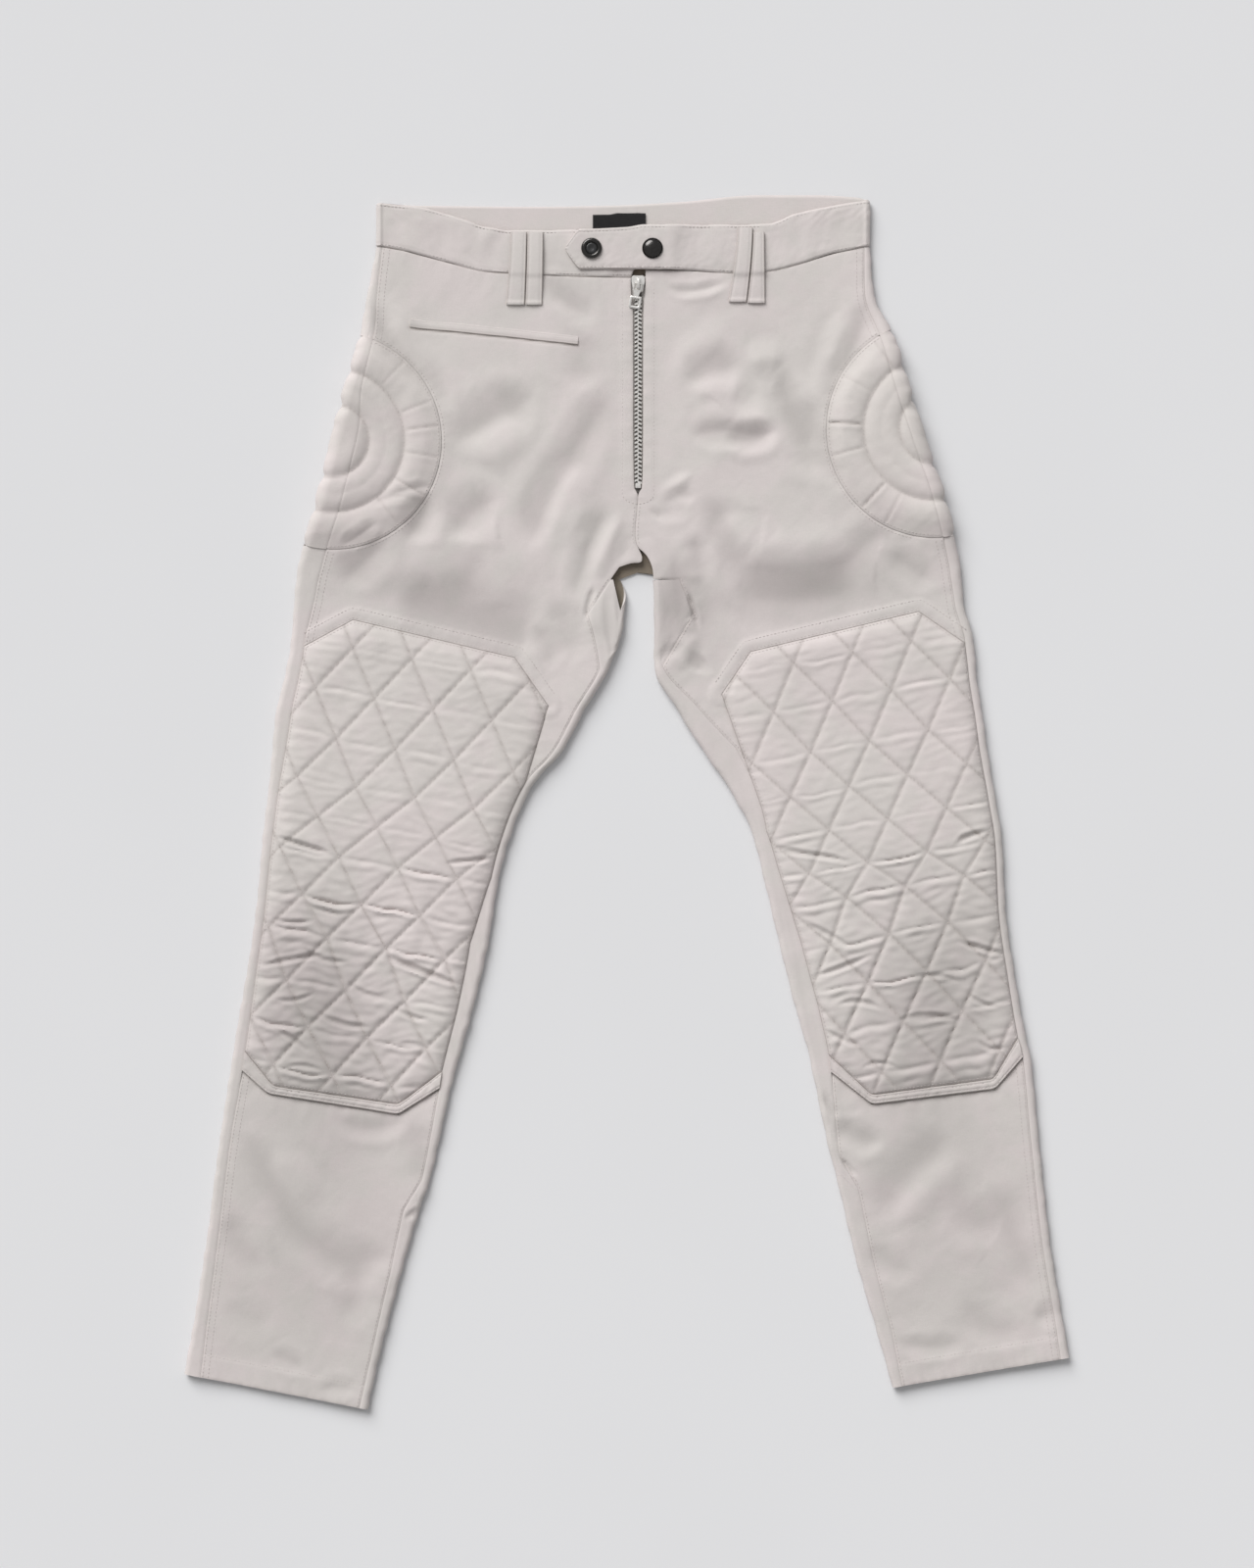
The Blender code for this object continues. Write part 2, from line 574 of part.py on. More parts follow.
def front_panel(collection, cutters, side):
    """Cut to its pattern from a laid sheet, so that its corners are those of its neighbours."""
    top, _, _, right = knee_outline(side)
    pattern = [*seam_line(side, 0, KNEE_TOP), *top[1:-1], right[0]]
    pattern += [*seam_line(side, CROTCH, KNEE_IN, inseam=True)[::-1], *side.crotch[::-1], *side.zip_edge[::-1]]
    pattern = inset(np.array([*pattern, *side.waist[::-1]]))
    low, high = pattern.min(axis=0) - 2.0, pattern.max(axis=0) + 2.0
    far = low[0] if side is RIGHT else high[0]
    beside_zip = ZIP_X - side.inward * (TAPE_HALF + 1.0)
    near = ZIP_X + side.inward * 4.0
    x = np.array([near, *np.linspace(beside_zip, far, 1 + round(abs(far - beside_zip) / FRONT_CELL))])
    y = np.linspace(low[1], high[1], 1 + round((high[1] - low[1]) / FRONT_CELL))
    sheet = laid_sheet("front", side, np.stack(np.meshgrid(x, y), axis=-1))
    obj = add_object(collection, f"front_{side.name}", sheet)
    cut(obj, cutter_of(cutters, f"front_pattern_{side.name}", prism(pattern, -10.0, 50.0)), "INTERSECT")
    return obj


def knee_outline(side):
    left = seam_line(side, KNEE_TOP, KNEE_FOOT)
    right = [side.knee["inner"], *seam_line(side, KNEE_IN, KNEE_FOOT, inseam=True)]
    top = [left[0], *side.knee["top"], right[0]]
    foot = [left[-1], *side.knee["foot"], right[-1]]
    return top, foot, left, right


def knee_pad(collection, side):
    top, foot, left, right = knee_outline(side)
    counted = ((top, 8), (foot, 8), (left, 12), (right, 12))
    grid = patch(*(with_rims(spread(line, count), KNEE_RIM) for line, count in counted))
    edge = np.array([*top, *right[1:], *foot[::-1][1:], *left[::-1][1:]])
    away = distance_to(grid, edge)
    crown = PAD_EDGE + KNEE_CROWN * smooth(away / KNEE_EDGE)
    mesh = laid_sheet("knee", side, shrunk(grid), crown)
    return add_object(collection, f"knee_pad_{side.name}", mesh)


def knee_band(collection, side):
    def edge(row, corners):
        return spread([seam_point(side, row, False), *corners, seam_point(side, row, True)], 8)

    upper, lower = edge(KNEE_FOOT, side.knee["foot"]), edge(BAND_FOOT, side.band)
    grid = shrunk(np.array([upper, (upper + lower) / 2, lower]))
    crown = np.array(BINDING_CROWN)[:, None] * np.ones(len(upper))
    return add_object(collection, f"knee_band_{side.name}", laid_sheet("band", side, grid, crown))


def shin_panel(collection, side):
    left = spread(seam_line(side, BAND_FOOT, HEM), 9)
    right = spread(seam_line(side, BAND_FOOT, HEM, inseam=True), 9)
    top = spread([left[0], *side.band, right[0]], 7)
    foot = spread([left[-1], right[-1]], 7)
    grid = shrunk(patch(top, foot, left, right))
    return add_object(collection, f"shin_{side.name}", laid_sheet("shin", side, grid))


# ---------------------------------------------------------------- hip panels


def hip_cutter(collection, side, extra):
    """An upright cylinder on the sewn circles' centre, for the panels that end at the outer circle."""
    bpy.ops.mesh.primitive_cylinder_add(
        vertices=48,
        radius=(HIP_RINGS[-1] + extra) * MM,
        depth=0.08,
        location=(side.hip[0] * MM, side.hip[1] * MM, 0.02),
    )
    cutter = bpy.context.active_object
    cutter.name = f"cutter_{side.name}_{extra:.1f}"
    for other in list(cutter.users_collection):
        other.objects.unlink(cutter)
    collection.objects.link(cutter)
    cutter.hide_render = True
    cutter.display_type = "WIRE"
    return cutter


def cutter_of(collection, name, bm):
    """A hidden object of the bmesh, for a Boolean."""
    obj = bpy.data.objects.new(name, mesh_of(name, bm))
    collection.objects.link(obj)
    obj.hide_render = True
    obj.display_type = "WIRE"
    return obj


def cut(obj, cutter, operation="DIFFERENCE"):
    modifier = obj.modifiers.new("hip", "BOOLEAN")
    modifier.operation = operation
    modifier.object = cutter
    modifier.solver = "EXACT"


def hip_front(collection, side):
    """The half in front of the side seam: rays from the circles' centre, cut off at the seam."""
    knots = np.array(seam_line(side, 0, KNEE_TOP))
    dense = np.concatenate([np.linspace(a, b, 400) for a, b in zip(knots[:-1], knots[1:])])
    turns, reaches = [], []
    for points in (dense, knots):
        away = points - side.hip
        reach = np.linalg.norm(away, axis=1)
        inside = reach < HIP_RINGS[-1] - 8.0
        turns.append(np.arctan2(away[inside, 1], away[inside, 0] * side.inward))
        reaches.append(reach[inside])
    order = np.argsort(turns[0])
    turn, reach = turns[0][order], reaches[0][order]
    rays = np.sort(np.concatenate([np.linspace(turn[0], turn[-1], 12), turns[1]]))
    rays = rays[np.concatenate([[True], np.diff(rays) > 0.02])]
    seam = np.interp(rays, turn, reach) + SEAM
    levels = (0.0, HIP_RINGS[0], 38.0, 53.0, HIP_RINGS[1], 68.0, 85.0, HIP_RINGS[2])
    last = len(levels) - 1
    spokes = np.stack([side.inward * np.cos(rays), np.sin(rays)], axis=1)
    grid = []
    for k, level in enumerate(levels):
        radius = np.minimum(np.maximum(level, seam + HIP_TIP * k), HIP_RINGS[-1] - HIP_TIP * (last - k))
        grid.append(side.hip + spokes * radius[:, None])
    grid = np.array(grid)
    crown = ring_crown(np.linalg.norm(grid - side.hip, axis=-1))
    return add_object(collection, f"hip_pad_{side.name}_front", laid_sheet("hip", side, grid, crown))


def hip_back(collection, side, cutter):
    """The half behind the side seam, which wraps round the fold and lies under the hip."""
    places = np.array([1.8, *np.linspace(2.0, 6.0, 9)])
    outer, inner = sections(side, places, underside=HIP_REST, padded=True)
    reach = HIP_RINGS[-1] + 12.0
    far = side.hip[0] + side.inward * reach
    for grid, level in ((outer, 0.0), (inner, HIP_REST)):
        for share, column in ((1.0, SPLIT), (0.5, SPLIT + 1)):
            grid[:, column] = grid[:, SPLIT + 2]
            grid[:, column, 0] += (far - grid[:, column, 0]) * share
            grid[:, column, 2] = level
    mesh = closed_sheet("hip", outer[:, SPLIT:], inner[:, SPLIT:])
    obj = add_object(collection, f"hip_pad_{side.name}_back", mesh)
    cut(obj, cutter, "INTERSECT")
    return obj


# ---------------------------------------------------------------- waistband


def line_at(points, x):
    points = np.array(points)
    order = np.argsort(points[:, 0])
    return np.interp(x, points[order, 0], points[order, 1])


def ribbon(name, rows, wall):
    """A strip through rows of (x, y_low, y_high, z, tilt): its outer face at z, its wall towards tilt."""
    outer, inner = [], []
    for x, low, high, z, (nx, nz) in rows:
        levels = np.linspace(low, high, 3)
        outer.append([(x, y, z) for y in levels])
        inner.append([(x - nx * wall, y, z - nz * wall) for y in levels])
    return closed_sheet(name, np.array(outer), np.array(inner))


def waistband(collection, side):
    """From its end in front, out along the front, round the fold and back to the centre behind."""
    seam = [seam_point(side, 0, False), *side.waist, side.zip_edge[0]]
    fold_x = side.rows["out_x"][0]
    turn = fold_x + side.inward * BAND_FOLD_RADIUS
    if side is RIGHT:
        front = [30.0, 14.0, -14.0, -40.0, -85.0, -123.0, -149.0, -173.0, -190.0]
    else:
        front = [-52.0, -41.5, -16.0, 15.0, *TAB_RISE, 93.0, 119.0, 142.0, 174.0, 190.0]
    rows = []
    for x in front:
        low, high, z = line_at(seam, x) + SEAM, line_at(BAND_TOP, x), BAND_FRONT_Z
        if side is RIGHT and x > 5.0:
            low = 453.0
        if side is LEFT:
            low = max(low, 450.2) if x < 14.0 else low
            start, end = TAB_RISE
            z = TAB_Z - (TAB_Z - BAND_FRONT_Z) * float(smooth((x - start) / (end - start)))
        if x == -52.0:
            low, high = 467.2, 470.4
        rows.append((x, low, high, z, (0.0, 1.0)))
    high = line_at(BAND_TOP, turn)
    for k in range(7):
        angle = math.pi / 2 - math.pi * k / 6
        x = fold_x + side.inward * BAND_FOLD_RADIUS * (1 - math.cos(angle))
        z = BAND_FOLD / 2 * (1 + math.sin(angle))
        rows.append((x, BAND_Y, high, z, (-side.inward * math.cos(angle), math.sin(angle))))
    behind = (-173.5, -78.0, -16.6) if side is RIGHT else (197.5, 158.0, 110.0, 47.0)
    for x in (*behind, CENTRE_X - side.inward * SEAM / 2):
        rows.append((x, BAND_Y, line_at(BACK_TOP, x), 0.0, (0.0, -1.0)))
    return add_object(collection, f"waistband_{side.name}", ribbon("waistband", rows, BAND_WALL))


# ---------------------------------------------------------------- what lies on the panels


def surface_of(objects):
    """The faces of the objects as they are built, for finding the height of what lies below a point."""
    graph = bpy.context.evaluated_depsgraph_get()
    points, faces = [], []
    for obj in objects:
        mesh = obj.evaluated_get(graph).to_mesh()
        start = len(points)
        points += [obj.matrix_world @ v.co for v in mesh.vertices]
        faces += [tuple(start + n for n in polygon.vertices) for polygon in mesh.polygons]
        obj.evaluated_get(graph).to_mesh_clear()
    return BVHTree.FromPolygons(points, faces)


def resting(tree, grid, wall, reach=2.0):
    """A wall laid on the surface, each of the grid's rows clear of all within reach of it."""
    down = Vector((0.0, 0.0, -1.0))
    outer, inner = [], []
    for row in grid:
        steps = (-reach, 0.0, reach)
        near = [(x + dx, y + dy) for x, y in row for dx in steps for dy in steps]
        hits = [tree.ray_cast(Vector((x * MM, y * MM, 0.1)), down)[0] for x, y in near]
        level = max(hit.z for hit in hits if hit) / MM + LAID
        inner.append([(x, y, level) for x, y in row])
        outer.append([(x, y, level + wall) for x, y in row])
    return np.array(outer), np.array(inner)


def belt_loops(collection, tree):
    loops = []
    steps = np.array((0.0, 0.12, 0.3, 0.44, 0.52, 0.58, 0.66, 0.84, 1.0))
    for name, x0, x1, y0, x2, x3, y1 in LOOP_ROWS:
        left, right = x0 + (x2 - x0) * steps, x1 + (x3 - x1) * steps
        across = np.stack([left, (left + right) / 2, right], axis=1)
        level = (y0 + (y1 - y0) * steps)[:, None] * np.ones(3)
        grid = np.stack([across, level], axis=-1)
        outer, inner = resting(tree, grid, LOOP_WALL)
        bulge = 1.2 * np.sin(np.pi * steps)[:, None]
        outer[..., 2] += bulge
        inner[..., 2] += bulge
        loops.append(add_object(collection, name, closed_sheet(name, outer, inner)))
    return loops


def pocket_welt(collection, tree):
    start, end = np.array(WELT_ENDS)
    along = (end - start) / np.linalg.norm(end - start)
    across = np.array((along[1], -along[0]))
    grid = np.array([
        [start + (end - start) * t - across * WELT_HALF, start + (end - start) * t,
         start + (end - start) * t + across * WELT_HALF]
        for t in np.linspace(0.0, 1.0, 12)
    ])
    return add_object(collection, "pocket_welt", closed_sheet("welt", *resting(tree, grid, WALL)))


def box(collection, name, low, high, colour=COTTON, roughness=0.9, metallic=0.0, bevel=0.0):
    bpy.ops.mesh.primitive_cube_add(size=1.0)
    cube = bpy.context.active_object
    mesh = cube.data
    low, high = Vector(low) * MM, Vector(high) * MM
    mesh.transform(Matrix.Translation((low + high) / 2) @ Matrix.Diagonal((*(high - low), 1.0)))
    bpy.data.objects.remove(cube)
    obj = add_object(collection, name, mesh, colour, roughness, metallic)
    if bevel:
        modifier = obj.modifiers.new("edges", "BEVEL")
        modifier.width = bevel * MM
        modifier.segments = 2
    return obj


def turned(collection, name, place, profile, colour, roughness):
    """A round piece from its profile of (radius, height) in millimetres, top to bottom."""
    mesh = bpy.data.meshes.new(name)
    points = [(radius * MM, 0.0, height * MM) for radius, height in profile]
    mesh.from_pydata(points, [(n, n + 1) for n in range(len(points) - 1)], [])
    obj = add_object(collection, name, mesh, colour, roughness, 1.0)
    obj.location = Vector(place) * MM
    screw = obj.modifiers.new("turn", "SCREW")
    screw.steps = screw.render_steps = 32
    screw.use_merge_vertices = True
    screw.merge_threshold = 0.00001
    screw.use_normal_calculate = True
    return obj


def snaps(collection):
    """A ring with a sunk middle on the tab, and a dome on the band beside it."""
    r = SNAP_RADIUS
    z = TAB_Z + SEAM
    ring = ((0.0, 1.2), (4.6, 1.2), (5.4, 2.2), (6.6, 2.6), (8.0, 2.0), (r, 0.9), (r - 0.3, 0.0), (0.0, 0.0))
    turned(collection, "snap_ring", (*SNAP_RING_AT, z), ring, GUNMETAL, 0.3)
    dome = [(r * math.sin(a), 0.7 + 2.9 * math.cos(a)) for a in np.linspace(0.0, math.pi / 2, 8)]
    dome = [(0.0, dome[0][1]), *dome[1:], (r - 0.3, 0.0), (0.0, 0.0)]
    turned(collection, "snap_dome", (*SNAP_DOME_AT, z), dome, GUNMETAL, 0.22)


# ---------------------------------------------------------------- the zip


def prism(outline, low, high):
    """A bmesh of a flat outline, in millimetres, raised from low to high."""
    bm = bmesh.new()
    face = bm.faces.new([bm.verts.new((x * MM, y * MM, low * MM)) for x, y in outline])
    raised = bmesh.ops.extrude_face_region(bm, geom=[face])
    moved = [item for item in raised["geom"] if isinstance(item, bmesh.types.BMVert)]
    bmesh.ops.translate(bm, verts=moved, vec=(0.0, 0.0, (high - low) * MM))
    return bm


def rectangle(x0, y0, x1, y1):
    return ((x0, y0), (x1, y0), (x1, y1), (x0, y1))


def rod(radius, low, high):
    """A bmesh of a round rod along X."""
    bm = bmesh.new()
    lie_along_x = Matrix.Translation(((low + high) / 2 * MM, 0.0, 0.0)) @ Matrix.Rotation(math.pi / 2, 4, "Y")
    bmesh.ops.create_cone(bm, cap_ends=True, segments=16, radius1=radius * MM, radius2=radius * MM,
                          depth=(high - low) * MM, matrix=lie_along_x)
    return bm


def joined(collection, name, first, steps, roughness):
    """One body: the first bmesh with each of the others added to it or cut from it."""
    obj = add_object(collection, name, mesh_of(name, first), NICKEL, roughness, 1.0)
    for n, (bm, operation) in enumerate(steps):
        cut(obj, cutter_of(bpy.data.collections["cutters"], f"{name}_{n}", bm), operation)
    return obj


def zip_tape_and_chain(collection):
    low = TAPE_Z - TAPE_WALL
    box(
        collection,
        "zip_tape",
        (ZIP_X - TAPE_HALF, ZIP_END_Y - 6.0, low),
        (ZIP_X + TAPE_HALF, ZIP_TOP_Y, TAPE_Z),
        TAPE_COTTON,
    )
    floor = TAPE_Z + SEAM
    chain_top = SLIDER_Y - SLIDER_LENGTH / 2 - SEAM
    metal = {"colour": NICKEL, "roughness": 0.3, "metallic": 1.0}
    box(
        collection,
        "zip_chain",
        (ZIP_X - CHAIN_HALF, ZIP_END_Y + 2.0, floor),
        (ZIP_X + CHAIN_HALF, chain_top, floor + CHAIN_HEIGHT),
        bevel=0.5,
        **metal,
    )
    box(
        collection,
        "zip_stop",
        (ZIP_X - STOP_HALF, ZIP_END_Y - 2.6, floor),
        (ZIP_X + STOP_HALF, ZIP_END_Y + 1.7, floor + 2.0),
        bevel=0.4,
        **metal,
    )


def zip_slider(collection):
    """The tapered body with the bridge that the pull tab's pin passes under."""
    front, back = SLIDER_Y - SLIDER_LENGTH / 2, SLIDER_Y + SLIDER_LENGTH / 2
    head, tail = SLIDER_HEAD / 2, SLIDER_TAIL / 2
    half = ((tail, front), (head, SLIDER_Y + 1.0), (head, back - 1.5), (head - 1.8, back))
    outline = [(ZIP_X + x, y) for x, y in half] + [(ZIP_X - x, y) for x, y in reversed(half)]
    body = prism(outline, TAPE_Z + SEAM, SLIDER_TOP)
    rise, crest = SLIDER_TOP - 0.6, PIVOT_Z + 2.3
    arch = ((-4.8, rise), (-4.8, crest - 0.9), (-3.9, crest), (3.9, crest), (4.8, crest - 0.9), (4.8, rise),
            (3.3, rise), (3.3, PIVOT_Z + 1.1), (-3.3, PIVOT_Z + 1.1), (-3.3, rise))
    bridge = prism(arch, -BRIDGE_WIDTH / 2, BRIDGE_WIDTH / 2)
    stand = Matrix(((0, 0, 1, ZIP_X * MM), (1, 0, 0, SLIDER_Y * MM), (0, 1, 0, 0), (0, 0, 0, 1)))
    bmesh.ops.transform(bridge, matrix=stand, verts=bridge.verts)
    joined(collection, "zip_slider", body, [(bridge, "UNION")], 0.25)


def zip_pull_tab(collection):
    """The pin, its two cheeks, a neck and a square ring, made about the pin and then laid down."""
    neck = prism(((-3.3, -5.6), (3.3, -5.6), (2.0, -11.9), (-2.0, -11.9)), -0.5, 0.5)
    steps = [(prism(rectangle(-5.0, -TAB_LENGTH, 5.0, -11.2), -0.7, 0.7), "UNION"),
             (prism(rectangle(-3.3, 1.7 - TAB_LENGTH, 3.3, -13.1), -2.0, 2.0), "DIFFERENCE")]
    for low, high in ((-3.6, -2.6), (2.6, 3.6)):
        steps.append((prism(rectangle(low, -6.3, high, 0.0), -0.6, 0.6), "UNION"))
        steps.append((rod(0.9, low - 0.1, high + 0.1), "UNION"))
    steps.append((rod(0.65, -3.1, 3.1), "UNION"))
    place = (Matrix.Translation(Vector((ZIP_X, SLIDER_Y, PIVOT_Z)) * MM)
             @ Matrix.Rotation(-TAB_SWING, 4, "Z") @ Matrix.Rotation(TAB_PITCH, 4, "X"))
    for bm in (neck, *(bm for bm, _ in steps)):
        bmesh.ops.transform(bm, matrix=place, verts=bm.verts)
    joined(collection, "zip_pull_tab", neck, steps, 0.25)


# ---------------------------------------------------------------- the whole


def main():
    clear_scene()
    trousers = new_collection("motocross_trousers")
    cutters = new_collection("cutters")
    under = []
    for side in SIDES:
        wide = hip_cutter(cutters, side, SEAM)
        true = hip_cutter(cutters, side, 0.0)
        back = back_panel(trousers, side)
        front = front_panel(trousers, cutters, side)
        cut(back, wide)
        cut(front, wide)
        inner_leg_panel(trousers, side)
        hip_front(trousers, side)
        hip_back(trousers, side, true)
        knee_pad(trousers, side)
        knee_band(trousers, side)
        shin_panel(trousers, side)
        under += [front, waistband(trousers, side)]
    bpy.context.view_layer.update()
    tree = surface_of(under)
    belt_loops(trousers, tree)
    pocket_welt(trousers, tree)
    x0, x1, y0, y1 = LABEL_BOX
    level = BAND_WALL + SEAM
    box(trousers, "label", (x0, y0, level), (x1, y1, level + LABEL_WALL), LABEL_BLACK)
    snaps(trousers)
    zip_tape_and_chain(trousers)
    zip_slider(trousers)
    zip_pull_tab(trousers)


main()
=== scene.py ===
"""Motocross trousers of bone cotton, laid flat on their back: the finished look.

Each panel is cut, padded, creased and stitched over the solid that it stands for. The
shapes are in millimetres until they are put into a mesh. Right and left are the wearer's,
so the right leg lies at -X, and the waist is at +Y.
"""

import logging
import math
from collections.abc import Callable, Sequence
from dataclasses import dataclass, field
from enum import Enum

import bpy
import numpy as np
from mathutils import Matrix, Vector
from mathutils.geometry import delaunay_2d_cdt


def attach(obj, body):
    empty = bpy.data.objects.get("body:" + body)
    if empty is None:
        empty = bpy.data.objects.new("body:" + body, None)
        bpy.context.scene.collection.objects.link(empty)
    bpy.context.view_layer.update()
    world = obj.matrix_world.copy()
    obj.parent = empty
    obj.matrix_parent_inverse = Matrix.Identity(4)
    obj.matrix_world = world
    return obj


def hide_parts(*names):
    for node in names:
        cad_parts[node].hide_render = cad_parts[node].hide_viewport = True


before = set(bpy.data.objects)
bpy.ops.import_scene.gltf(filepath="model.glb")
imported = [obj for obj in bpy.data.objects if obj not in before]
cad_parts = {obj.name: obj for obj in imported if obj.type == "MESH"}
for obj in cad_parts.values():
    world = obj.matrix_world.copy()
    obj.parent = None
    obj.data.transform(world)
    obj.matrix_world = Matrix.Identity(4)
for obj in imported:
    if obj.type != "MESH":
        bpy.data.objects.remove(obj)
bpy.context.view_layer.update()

Array = np.ndarray
Surface = Callable[[Array], Array]
LOG = logging.getLogger("trousers")
MM = 0.001
BODY = "trousers"
TAB_BODY = "pull_tab"
MADE = "_made"
TILE = 24.0
FOLD_SHARP = 55.0
SOFT_WIDTH, SOFT_HEIGHT, CRISP_HEIGHT = 1.25, 1.5, 1.9
# The last value is painted shade: how much darker a crease's trough is drawn for each millimetre of
# its depth.
FADE_OUT, CREASE_SHADE = 30.0, 0.055

# Walls, gaps and heights, as in the solids
WALL = 1.6
BAND_WALL = 2.8
SEAM = 0.3
GAP = 0.04
LAID = 0.4
LOWEST_FRONT = 4.9
CENTRE_X = 8.3
BAND_Y = 470.9
BAND_FRONT_Z = 7.2
TAB_Z = BAND_FRONT_Z + SEAM + BAND_WALL
TAB_RISE = (34.0, 60.0)
BAND_FOLD = 8.0
BAND_FOLD_RADIUS = 5.0
ZIP_X = 9.4
ZIP_TOP_Y = 446.0
ZIP_END_Y = 269.0
ZIP_LEVEL = 6.5
ZIP_CALM = 30.0
TAPE_HALF = 11.5
TAPE_Z = ZIP_LEVEL - WALL - SEAM
SLIDER_Y = 439.5
HIP_RINGS = (30.7, 60.6, 92.0)
HIP_LIFT = 3.0
FADE = 55.0

# Sewn rows: how far each runs from the edge or the middle that it follows
BAND_ROW = 2.2
BINDING_ROW = 2.1
SEAM_ROWS = (1.9, 6.6)
KNEE_ROWS = (1.8, 9.8)
HEM_ROW = 19.4
FLY_ROW = 13.4
FLY_TURN_Y = 262.0
CENTRE_ROW = 2.2
CENTRE_ROW_Y = (216.0, 252.0)

# The most that seam allowances may add to a sheet's cut, as a share of its area
ALLOWANCE_CAP = 1.3


class Edge(Enum):
    """How a crease's flanks meet at its foot: the power of the distance in its bell."""

    SOFT = 1.7
    CRISP = 1.15


SOFT, CRISP = Edge.SOFT, Edge.CRISP

# One row for each section across a leg, from the waist down: the ends of the section at the
# two folds, the distances from them to the seams in front, how much lower the inseam lies,
# the distance to the inner leg panel's hidden edge, and the heights of the folds and middle.
SECTION = (
    "out_x", "out_y", "in_x", "in_y", "side", "inseam", "sweep", "tuck", "h_out", "h_in", "h_mid"
)
RIGHT_ROWS = (
    (-212.5, 470.5, 8.3, 470.5, 5.0, 0.0, 0.0, 0.0, 6.3, 6.1, 6.1),
    (-220.0, 431.0, 8.3, 429.0, 8.0, 0.0, 0.0, 0.0, 8.3, 6.5, 6.8),
    (-226.0, 397.5, 8.3, 393.5, 12.0, 0.0, 0.0, 0.0, 11.0, 6.5, 7.2),
    (-239.0, 352.0, 8.3, 348.0, 15.0, 0.0, 0.0, 0.0, 12.5, 6.5, 7.8),
    (-250.5, 306.5, 8.3, 300.5, 22.0, 0.0, 0.0, 0.0, 13.0, 6.5, 8.2),
    (-263.0, 256.5, 8.3, 250.5, 22.0, 0.0, 0.0, 0.0, 12.5, 6.8, 8.4),
    (-279.0, 198.5, 8.3, 191.0, 20.0, 0.0, 0.0, 0.0, 10.0, 7.5, 8.4),
    (-279.3, 196.5, -1.0, 188.5, 19.5, 13.0, 0.0, 6.5, 10.0, 7.8, 8.4),
    (-282.0, 172.0, -3.5, 158.5, 17.0, 30.0, 0.0, 14.0, 9.0, 8.5, 8.2),
    (-285.0, 133.5, -16.0, 113.0, 11.5, 7.0, 0.0, 22.0, 8.5, 8.5, 7.6),
    (-290.5, 105.5, -35.5, 79.5, 12.0, 7.0, 0.0, 26.0, 8.5, 8.5, 7.0),
    (-298.0, 74.0, -55.5, 42.5, 13.0, 7.0, 0.0, 26.0, 8.5, 8.0, 7.0),
    (-300.5, 45.0, -79.0, 16.0, 11.0, 7.0, 0.0, 26.0, 8.5, 8.0, 7.2),
    (-304.5, 6.0, -98.0, -25.5, 8.5, 6.5, 0.0, 26.0, 8.5, 8.0, 7.8),
    (-309.0, -32.5, -108.5, -64.0, 8.0, 6.5, 0.0, 26.0, 8.5, 8.0, 8.2),
    (-314.5, -92.0, -118.0, -121.0, 7.5, 15.0, 0.0, 26.0, 8.5, 8.0, 7.8),
    (-322.0, -142.0, -129.5, -171.0, 8.0, 13.0, 0.0, 26.0, 8.0, 8.0, 7.0),
    (-333.5, -209.0, -146.0, -229.0, 10.0, 11.0, 0.0, 26.0, 8.0, 7.5, 6.6),
    (-336.0, -226.0, -149.5, -243.0, 10.0, 9.5, 0.0, 26.0, 8.0, 7.5, 6.6),
    (-345.5, -287.0, -167.5, -320.5, 9.0, 6.5, 0.0, 26.0, 7.5, 7.5, 6.6),
    (-348.5, -310.0, -173.5, -338.0, 9.0, 16.0, 9.5, 26.0, 7.5, 7.5, 6.6),
    (-356.0, -368.0, -191.5, -399.0, 9.5, 9.0, 0.0, 26.0, 7.5, 7.5, 6.4),
    (-366.0, -432.5, -208.5, -464.0, 11.0, 7.0, 0.0, 26.0, 7.5, 7.5, 6.2),
    (-375.2, -484.0, -220.0, -514.0, 14.0, 7.0, 0.0, 26.0, 7.5, 7.5, 6.2),
)
